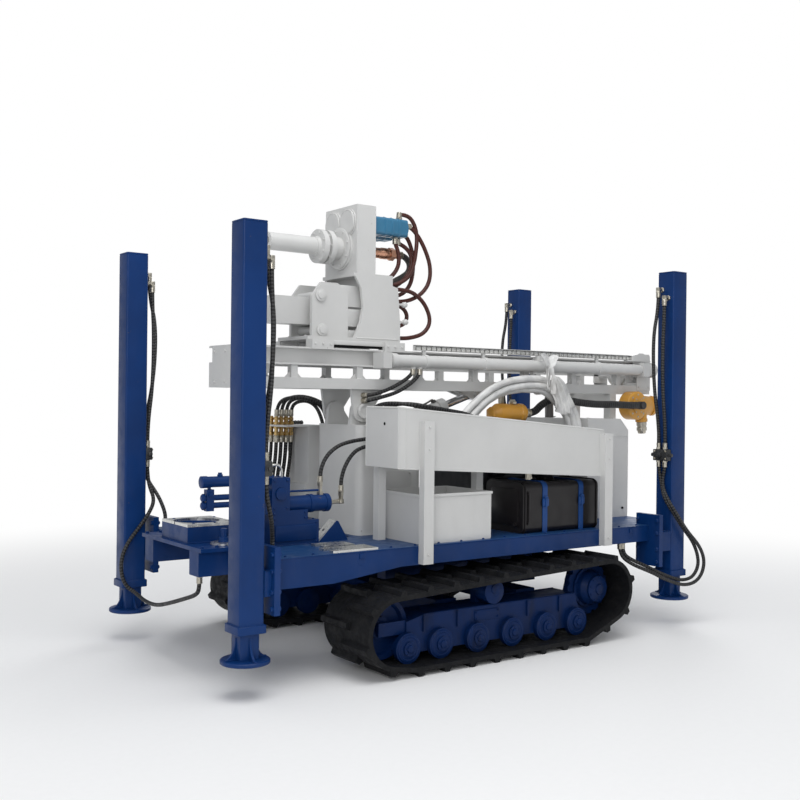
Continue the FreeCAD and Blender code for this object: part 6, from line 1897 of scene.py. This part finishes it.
@dataclass
class Console(Assembly):
    """Valve bank, levers, gauges and fittings of the control console and the mast stand.

    Args:
        x: the console's rear and front ends.
        outer: its outer side.
        shelf_z: the height of its hose shelf.
        columns: places of the hose fittings along the shelf.
        rows: places of their rows across it.
        stand_half: half the stand's width.
        unions: places of the unions on the stand's sides.
    """

    x: tuple[float, float] = (560.0, 720.0)
    outer: float = -620.0
    shelf_z: float = 1250.0
    columns: Sequence[float] = (728.0, 762.0, 796.0, 830.0)
    rows: Sequence[float] = (-565.0, -500.0)
    stand_half: float = 230.0
    unions: Route = ((600, 230, 1205), (600, 230, 1160), (632, -230, 1240), (594, -230, 1215),
                     (556, -230, 1190), (518, -230, 1165))
    brass: Surface = started("shelf_unions", "root", "brass_union", "copper_fitting", "shelf_fittings")
    pale: Surface = started("console_and_stand_plates", "root", "light_paint")
    dark: Surface = started("spool_sections_and_knobs", "root", "dark_casting", "engine_paint")
    steel: Surface = started("console_bolts_and_rims", "root", "light_paint")
    glass: Surface = started("gauge_faces", "root", "gauge_face", "light_paint")

    def fittings(self) -> None:
        """Add the brass fittings that pass through the shelf: nuts, barrels and a lower nut each."""
        upper = ((0, 15), (2, 17), (14, 17), (16, 12), (28, 12), (30, 15), (44, 15), (46, 11), (54, 11))
        self.brass.nut(upper, grid(self.columns, self.rows, self.shelf_z + 10))
        lower = ((0, 15), (2, 17), (14, 17), (16, 12), (34, 12), (36, 15), (52, 15), (58, 12))
        self.brass.nut(lower, grid(self.columns, self.rows, self.shelf_z), DOWN)

    def cabinet(self) -> None:
        """Add the door, the spool sections, levers with knobs and three gauges."""
        dark, steel, outer, (rear, front) = self.dark, self.steel, self.outer, self.x
        self.pale.box((rear + 14, outer - 5, 665), (front - 14, outer + 1, 885), 2, Axis.Y, 10)
        steel.lathe(((-18, 5), (-18, 6), (18, 6), (18, 5)), 10, grid(rear + 12, outer - 7, (700, 850)))
        steel.lathe(((0, 10), (6, 10), (8, 7)), 14, [(front - 30, outer - 5, 775)], RIGHT)
        face, knob = outer + 40, ((-14, 6), (-11, 10), (-4, 13), (4, 13), (10, 10), (13, 4))
        for index in range(6):
            x = rear + 22 * (index + 0.5)
            tip = (x, face - 60, 1270)
            dark.box((x - 9.5, face - 26, 1090), (x + 9.5, face + 2, 1210), 3, Axis.Z, 4)
            dark.lathe(((0, 5), (0, 9), (10, 9), (14, 5)), 12, [(x, face - 12, 1090)], DOWN)
            dark.lathe(knob, 16, [tip], (0, -0.48, 0.88))
            steel.tube(((x, face - 2, 1164), tip), 5.6, 10)
        gauges = grid((rear + 26, rear + 66, rear + 106), face, 1000)
        steel.lathe(((0, 17), (0, 19), (12, 19), (14, 17), (12, 15), (9, 15)), 24, gauges, RIGHT)
        self.glass.lathe(((2, 14), (2, 15), (10, 15), (10.5, 12)), 24, gauges, RIGHT)
        steel.bolts(7, grid((rear + 8, front - 28), face, (920, 1060, 1235)), RIGHT)

    def stand(self) -> None:
        """Add the stand's foot welds, hatch, bulkhead unions and pin keepers."""
        pale, steel = self.pale, self.steel
        keeper = ((0, 42), (3, 44), (8, 44), (10, 34), (6, 26), (6, 10))
        for sign in SIDES:
            y, out = sign * self.stand_half, (0, sign, 0)
            pale.bead((295, y, 648), (660, y, 648))
            pale.box((330, y - 3, 760), (560, y + 3, 1010), 2, Axis.Y, 16)
            steel.bolts(8, grid((345, 545), y + sign * 3, (775, 995)), out)
            pale.lathe(keeper, 28, [(638, sign * 185, 1355)], out)
            steel.bolts(8, grid((605, 671), sign * 191, 1355), out)
            for y in (sign * 142, sign * 112):
                pale.bead((530, y, 1276), (695, y, 1276))
        pale.bead((706, -190, 648), (706, 190, 648))
        for place in self.unions:
            steel.nut(((-2, 17), (6, 17), (8, 13)), [place], LEFT if place[1] > 0 else RIGHT)

    def build(self) -> None:
        """Make the pieces of console and stand."""
        self.fittings()
        self.cabinet()
        self.stand()
        self.make()


@dataclass
class Clamp(Assembly):
    """Collars, glands, bolts, ports and the bright handle of the breakout clamp.

    Args:
        y: the side unit's middle.
        half: half its width.
        barrel: the main cylinder's rear end, height and radius.
        upper: the upper cylinder's rear end, front end, height and radius.
        bars_z: heights of the two bars ahead of the head block.
        studs: places of the studs on the slotted plates.
        pin: the place of the jaw pin.
    """

    y: float = 300.0
    half: float = 60.0
    barrel: tuple[float, float, float] = (952.0, 856.0, 45.0)
    upper: tuple[float, float, float, float] = (1300.0, 1705.0, 993.0, 28.0)
    bars_z: tuple[float, float] = (912.0, 873.0)
    studs: Route = ((1440, 95, 760), (1440, -95, 760), (1549, 140, 760), (1664, 125, 760), (1664, -125, 760))
    pin: tuple[float, float] = (1560.0, 270.0)
    blue: Surface = started("clamp_covers_and_welds", "root", "blue_paint")
    steel: Surface = started("clamp_bolts", "root", "blue_paint")
    bright: Surface = started("clamp_pins_and_handle", "root", "zinc_plate")
    cast: Surface = started("leg_lock_valves", "root", "dark_casting", "fitting_steel")
    plated: Surface = started("leg_and_clamp_ports", "root", "fitting_steel", "", "hose_fittings")

    def cylinders(self) -> None:
        """Add end rings, glands, rod nuts and ports to the two cylinders."""
        blue, steel, y, (rear, z, radius) = self.blue, self.steel, self.y, self.barrel
        ring = ((0, radius - 6), (2, radius + 5), (26, radius + 5), (28, radius))
        blue.lathe(ring, 32, [(rear, y, z), (rear + 100, y, z)], AHEAD)
        steel.bolts(6.5, circle((rear, y, z), 36, 6, Axis.X), BACK)
        start, end, level, slim = self.upper
        band = ((0, slim), (2, slim + 4), (22, slim + 4), (24, slim))
        blue.lathe(band, 28, [(start + 30, y, level), (1480, y, level)], AHEAD)
        gland = ((-30, slim - 2), (-30, slim + 3), (0, slim + 3), (3, slim - 4))
        steel.lathe(gland, 28, [(end, y, level)], AHEAD)
        blue.lathe(((0, 15), (2, 20), (20, 20), (22, 15)), 20, grid(1380, y, self.bars_z), AHEAD)
        steel.nut(((0, 17), (2, 19), (14, 19), (16, 15), (20, 10)), grid(1685, y, self.bars_z), AHEAD)
        for x, way in ((1330, BACK), (1375, AHEAD)):
            steel.bolts(8, grid(x, (y - 34, y + 34), (830, 925)), way)
        steel.nut(((0, 10), (8, 10)), [(1660, y + 18, 930)], LEFT)
        steel.nut(((0, 14), (10, 14), (12, 10), (20, 10)), grid((1400, 1600), y, level + slim - 2))
        handle = ((1240, y, 1003), (1236, y, 1042), (1262, y, 1072), (1310, y, 1066), (1330, y, 1030),
                  (1326, y, 1003))
        self.bright.tube(smooth_line(handle), 7, 12)

    def unit(self) -> None:
        """Add bolts, cover plates, a pipe and welds to the side unit's blocks."""
        blue, y, half = self.blue, self.y, self.half
        for rear, low, high in ((1041, 645, 774), (1111, 774, 830), (1222, 830, 1005)):
            self.steel.bolts(8, grid((rear + 16, 1314), y + half, (low + 14, high - 14)), LEFT)
            self.steel.bolts(7, grid(rear + 20, (y - 30, y + 30), high))
        blue.box((1060, y + half - 1, 668), (1310, y + half + 8, 752), 3, Axis.Y, 10)
        blue.lathe(((0, 30), (3, 33), (9, 33), (12, 20)), 24, [(1276, y + half, 920)], LEFT)
        for side in (y + half, y - half):
            blue.bead((1041, side, 647), (1330, side, 647))
        blue.tube(smooth_line([(x, y, 925) for x in (1001, 1030, 1120, 1190, 1222)]), 6, 12)

    def table(self) -> None:
        """Add bolts, box welds, the slotted plates' studs and the jaw pin to the table."""
        self.steel.bolts(13, mirrored(grid((1460, 1540, 1640, 1720), 355, 665)))
        self.steel.bolts(10, self.studs)
        for y in (167, -167):
            self.blue.bead((1432, y, 668), (1714, y, 668))
        pin = ((0, 24), (2, 28), (26, 28), (28, 18), (68, 18), (72, 14))
        self.blue.lathe(pin, 24, [(*self.pin, 676)])
        self.bright.lathe(((0, 68), (2, 70.5), (11, 70.5), (12.6, 66)), 40, [(*self.pin, 665)])

    def fittings(self) -> None:
        """Add the ports of the clamp's main cylinder."""
        plated, y, (rear, z, radius) = self.plated, self.y, self.barrel
        union = ((-4, 14), (0, 16), (14, 16), (16, 12), (46, 12), (48, 14), (60, 14))
        plated.nut(union, [(1001, y, z + radius)])
        plated.nut(((0, 12), (2, 14), (30, 14), (34, 10), (87, 10)), [(rear, y, z)], BACK)
        plated.box((851, y - 14, z - 13), (879, y + 14, z + 14), 4)
        plated.nut(((0, 12), (30, 12), (32, 14), (49, 14)), [(865, y, z)])

    def build(self, legs: Sequence[Leg]) -> None:
        """Make the clamp's pieces and the legs' valves, which share the fittings' node.

        Args:
            legs: the four legs.
        """
        self.cylinders()
        self.unit()
        self.table()
        for leg in legs:
            leg.valve(self.cast, self.plated)
        self.fittings()
        self.make()


@dataclass
class Coil(Assembly):
    """Film-wrapped hoses hung from the feed cylinder, their knots and their loose film.

    Args:
        route: the loop's middle line as places along and heights.
        y: its place across the machine.
        radius: radius of one of the hoses.
        strand_places: each hose's place from the middle line, out of the loop and sideways.
        knot_at: the place where the rag's bows and tails meet.
    """

    route: Sequence[tuple[float, float]] = (
        (-489, 1541), (-320, 1520), (-190, 1474), (-75, 1400), (30, 1300), (70, 1180), (-20, 1080),
        (-250, 1030), (-520, 1020), (-780, 1060), (-905, 1180), (-885, 1330), (-770, 1450), (-640, 1528),
    )
    y: float = 342.0
    radius: float = 21.0
    strand_places: Sequence[tuple[float, float]] = ((23.0, 6.0), (-21.0, 10.0), (1.0, -22.0), (-44.0, -14.0))
    knot_at: tuple[float, float] = (-640.0, 1640.0)
    film: Surface = started("wrapped_hose_strands", "mast", "wrapped_hose", "", "hose_coil", 60.0)
    rag: Surface = started("rag_tie", "mast", "rag_cloth", "wrapped_hose", "", 70.0)
    loose: Surface = started("loose_film", "mast", "wrapped_hose", "", "", 80.0)

    def line(self) -> np.ndarray:
        """The loop's middle line: a closed cubic through the route's points.

        At share t between points the place is the Catmull-Rom mix of the four nearest points.

        Returns:
            The line's points.
        """
        knots = np.array([(x, self.y, z) for x, z in self.route], float)
        share = np.linspace(0, 1, 10, endpoint=False)[:, None]
        before, here, after, beyond = (np.roll(knots, step, axis=0)[:, None] for step in (1, 0, -1, -2))
        square = (2 * before - 5 * here + 4 * after - beyond) * share ** 2
        cube = (3 * here - before - 3 * after + beyond) * share ** 3
        return (0.5 * (2 * here + (after - before) * share + square + cube)).reshape(-1, 3)

    def strands(self) -> None:
        """Add the wrapped hoses: each one's radius swells a little, and they turn slowly about the middle."""
        middle = self.line()
        place = np.arange(len(middle))
        lean = 0.16 * np.sin(place / len(middle) * 2 * np.pi * 2)
        ahead = np.roll(middle, -1, axis=0) - np.roll(middle, 1, axis=0)
        ahead /= np.linalg.norm(ahead, axis=1, keepdims=True)
        out, across = np.cross(ahead, LEFT), np.array(LEFT)
        cosine, sine = np.cos(lean)[:, None], np.sin(lean)[:, None]
        angle, step = np.arange(24)[None, :] * (2 * np.pi / 24), place[:, None]
        for index, (outward, sideways) in enumerate(self.strand_places):
            path = middle + out * (outward * cosine - sideways * sine)
            path = path + across * (outward * sine + sideways * cosine)
            wave = 1 + 0.02 * np.sin(place * 0.9 + index) + 0.015 * np.sin(place * 0.43 + 2 * index)
            rings = carried(path, ring_of(self.radius, 24), wave, closed=True)
            fold = 0.014 * np.sin(5 * angle + step * 0.21 + index) + 0.008 * np.sin(9 * angle - step * 0.4)
            self.film.add(rings + (rings - path[:, None]) * fold[..., None], closed=True)

    def knot(self) -> None:
        """Add the tied rag: a band round coil and cylinder, two bows and two hanging tails."""
        x, z = self.knot_at
        turn = np.linspace(0, 2 * np.pi, 28, endpoint=False)
        reach = 262 + 48 * np.cos(turn) + np.where(np.cos(turn) > 0, 60, 0)
        path = np.stack((np.full(28, x), reach, z - 50 + 108 * np.sin(turn)), axis=1)
        flat = ((-17, -3), (-6, -4.5), (6, -3.5), (17, -3), (17, 2), (5, 3.5), (-7, 2.5), (-17, 2))
        section = np.array(flat, float)
        self.rag.add(carried(path, section, 1 + 0.12 * np.sin(np.arange(28) * 1.3), closed=True), closed=True)
        for dx, dz, size in ((-16, 64, 1.0), (22, 72, 0.85)):
            loop = smooth_line(((x, 376, z), (x + dx * 2, 392, z + dz * 0.5), (x + dx * 3, 384, z + dz),
                                (x + dx * 1.5, 372, z + dz * 1.1), (x, 370, z)))
            self.rag.add(carried(loop, section * size, 1 + 0.25 * np.sin(np.arange(len(loop)) * 0.7)))
        for route in (((-640, 380, 1640), (-655, 396, 1600), (-672, 392, 1530), (-664, 388, 1470)),
                      ((-636, 380, 1640), (-618, 398, 1610), (-606, 392, 1550), (-614, 390, 1500))):
            tail = smooth_line(route)
            self.rag.add(carried(tail, section * 0.8, 1 + 0.3 * np.sin(np.arange(len(tail)) * 0.9)))

    def drape(self) -> None:
        """Add the loose film: a hanging sheet whose depth is a sum of vertical folds that grow downwards."""
        across, down = np.meshgrid(np.linspace(0, 1, 64), np.linspace(0, 1, 40))
        x = -660 - 210 * across * (0.35 + 0.65 * down) + 14 * np.sin(5 * down + 3 * across)
        z = 1596 - 250 * down * (0.55 + 0.45 * np.sin(np.pi * (0.2 + 0.65 * across))) - 20 * across
        fold = 14 * np.sin(18 * across + 1.5 * down) + 7 * np.sin(41 * across - 3 * down)
        y = 382 + fold * (0.3 + 0.7 * down) + 6 * np.sin(9 * down)
        front = np.stack((x, y, z), axis=-1)
        self.loose.add(np.concatenate((front, front[:, ::-1] - (0, 2.5, 0)), axis=1))

    def build(self) -> None:
        """Make the coil's pieces."""
        self.strands()
        self.knot()
        self.drape()
        self.make()


@dataclass
class Lubricators(Assembly):
    """Amber drum with its spout at the mast's rear, and the small line lubricator.

    Args:
        drum: the drum's middle along the machine and its height.
        drum_y: its two faces.
        drum_radius: its radius.
        lean: the direction that the spout points in.
        small: the small body's rear and front ends.
        small_place: its place across the machine and height.
        small_radius: its radius.
    """

    drum: tuple[float, float] = (-1560.0, 1400.0)
    drum_y: tuple[float, float] = (203.0, 300.0)
    drum_radius: float = 98.0
    lean: Point = (-12, 0, -176)
    small: tuple[float, float] = (-548.0, -262.0)
    small_place: tuple[float, float] = (250.0, 1346.0)
    small_radius: float = 60.0
    amber: Surface = started("amber_bodies", "mast", "yellow_paint", "", "lubricators")
    steel: Surface = started("lubricator_tips_and_plugs", "mast", "fitting_steel")

    def drum_body(self) -> None:
        """Add the drum, its cover and bolts, its flattened tail, the spout and its bracket."""
        amber, steel, (x, z), (back, front) = self.amber, self.steel, self.drum, self.drum_y
        middle, radius, deep = (back + front) / 2, self.drum_radius, front - back
        drum = ((0, radius - 12), (3, radius - 4), (8, radius), (deep - 8, radius), (deep - 3, radius - 4),
                (deep, radius - 12), (deep, 44), (deep - 4, 40))
        amber.lathe(drum, 48, [(x, back, z)], LEFT)
        amber.lathe(((0, 52), (3, 55), (10, 55), (12, 46)), 32, [(x, front - 4, z)], LEFT)
        steel.bolts(7.5, circle((x, front - 1, z), 76, 8, Axis.Y), LEFT)
        steel.bolts(6, circle((x, front + 6, z), 50, 6, Axis.Y), LEFT)
        tail = ((0, 74), (170, 66), (176, 60), (180, 60), (182, 70), (206, 70), (210, 62), (222, 40))
        amber.add(turned(tail, 36) @ basis(BACK).T * (1, 0.62, 1) + (x, middle, z))
        spout = ((0, 38), (70, 38), (72, 42), (92, 42), (94, 36))
        amber.lathe(spout, 28, [(-1645, middle, 1380)], self.lean)
        tip = ((0, 30), (2, 35), (26, 35), (28, 31), (34, 31), (36, 35), (60, 35), (62, 30), (78, 27),
               (82, 20))
        steel.lathe(tip, 28, [(-1651, middle, 1287)], self.lean)
        amber.box((x - 60, back - 47, z + 18), (x, back + 10, 1479), 5, Axis.Z, 8)

    def small_body(self) -> None:
        """Add the small lubricator, its end nut, bolts, filler plug and bracket."""
        amber, steel, (rear, end), (y, z) = self.amber, self.steel, self.small, self.small_place
        wide = self.small_radius
        body = ((0, wide - 26), (4, wide - 20), (24, wide - 2), (28, wide), (60, wide), (64, wide - 4),
                (150, wide - 4), (154, wide), (234, wide), (240, wide - 4), (280, wide - 28),
                (286, wide - 34))
        amber.lathe(body, 32, [(rear, y, z)], AHEAD)
        amber.nut(((0, 30), (3, 34), (20, 34), (24, 26)), [(end - 16, y, z)], AHEAD)
        steel.bolts(7, circle((rear + 60, y, z), 50, 6, Axis.X, 0.08), BACK)
        steel.nut(((0, 20), (4, 22), (16, 22), (20, 16), (30, 14)), [(-445, y, z + wide - 4)])
        steel.box((-420, 185, z), (-380, 200, 1479.5))

    def build(self) -> None:
        """Make the bodies, their covers, bolts, tips and plugs."""
        self.drum_body()
        self.small_body()
        self.make()


@dataclass
class LiftCylinder(Assembly):
    """Gland, bands, ports and feed pipe of the mast's lift cylinder.

    Args:
        base: the base pin's place.
        eye: the place of the rod's eye.
        radius: the barrel's radius.
        pipe: the feed pipe's steps along the cylinder and off its axis.
    """

    base: Point = (533.0, 0.0, 1179.0)
    eye: Point = (-320.0, 0.0, 1465.0)
    radius: float = 45.0
    pipe: Profile = ((110, 58), (118, 66), (150, 62), (300, 56), (520, 56), (560, 62), (580, 66), (586, 58))
    pale: Surface = started("lift_gland_and_bands", "lift_barrel", "light_paint")
    steel: Surface = started("lift_ports", "lift_barrel", "dark_bolt", "fitting_steel")

    def build(self) -> None:
        """Make the barrel's details along the cylinder's axis."""
        start, wide = np.array(self.base), self.radius
        way = (np.array(self.eye) - start) / np.linalg.norm(np.array(self.eye) - start)
        up = np.cross(LEFT, way)
        band = ((0, wide), (2, wide + 5), (18, wide + 5), (20, wide))
        self.pale.lathe(band, 28, [start + way * along for along in (92, 250, 470)], way)
        gland = ((0, wide), (2, wide + 7), (36, wide + 7), (40, wide), (44, 34), (46, 30))
        self.pale.lathe(gland, 32, [start + way * 598], way)
        ports = [start + way * along + up * (wide - 2) for along in (110, 585)]
        self.steel.nut(((0, 13), (3, 15), (16, 15), (18, 10)), ports, up)
        self.steel.tube(smooth_line([start + way * along + up * off for along, off in self.pipe]), 6, 10)
        self.make()


def dress_nodes() -> None:
    """Give every CAD node the finish of its slot, but the running gear's nodes the darker blue that paints
    the shade under the deck.
    """
    shaded_under_deck = {"track_frames", "track_rollers", "sprockets", "undercarriage"}
    for part in frame["record"]["subparts"]:
        node = frame["nodes"][part["node"]]
        # Painted shade: the running gear under the deck gets a darker blue instead of its slot's paint.
        finish = "shade_darkened_blue" if part["node"] in shaded_under_deck else part["material_slot"]
        node.data.materials.clear()
        node.data.materials.append(MATERIALS[finish])
        log.info("dressed %s with %s", part["node"], finish)


def main() -> None:
    """Build the studio and every sub-assembly in order."""
    Studio().build()
    dress_nodes()
    legs = [Leg(x, y) for x in (1669.0, -1387.0) for y in (730.0, -730.0)]
    tubes = Surface("leg_outer_tubes", "root", "blue_paint", "", "leg_tubes")
    for leg in legs:
        leg.tube(tubes)
        leg.foot()
    tubes.make()
    Deck().build(legs)
    Hoses().build(legs)
    for assembly in (RunningGear(), Mast(), Head(), Power(), Storage(), Console()):
        assembly.build()
    Clamp().build(legs)
    for assembly in (Coil(), Lubricators(), LiftCylinder()):
        assembly.build()


if __name__ == "__main__":
    main()
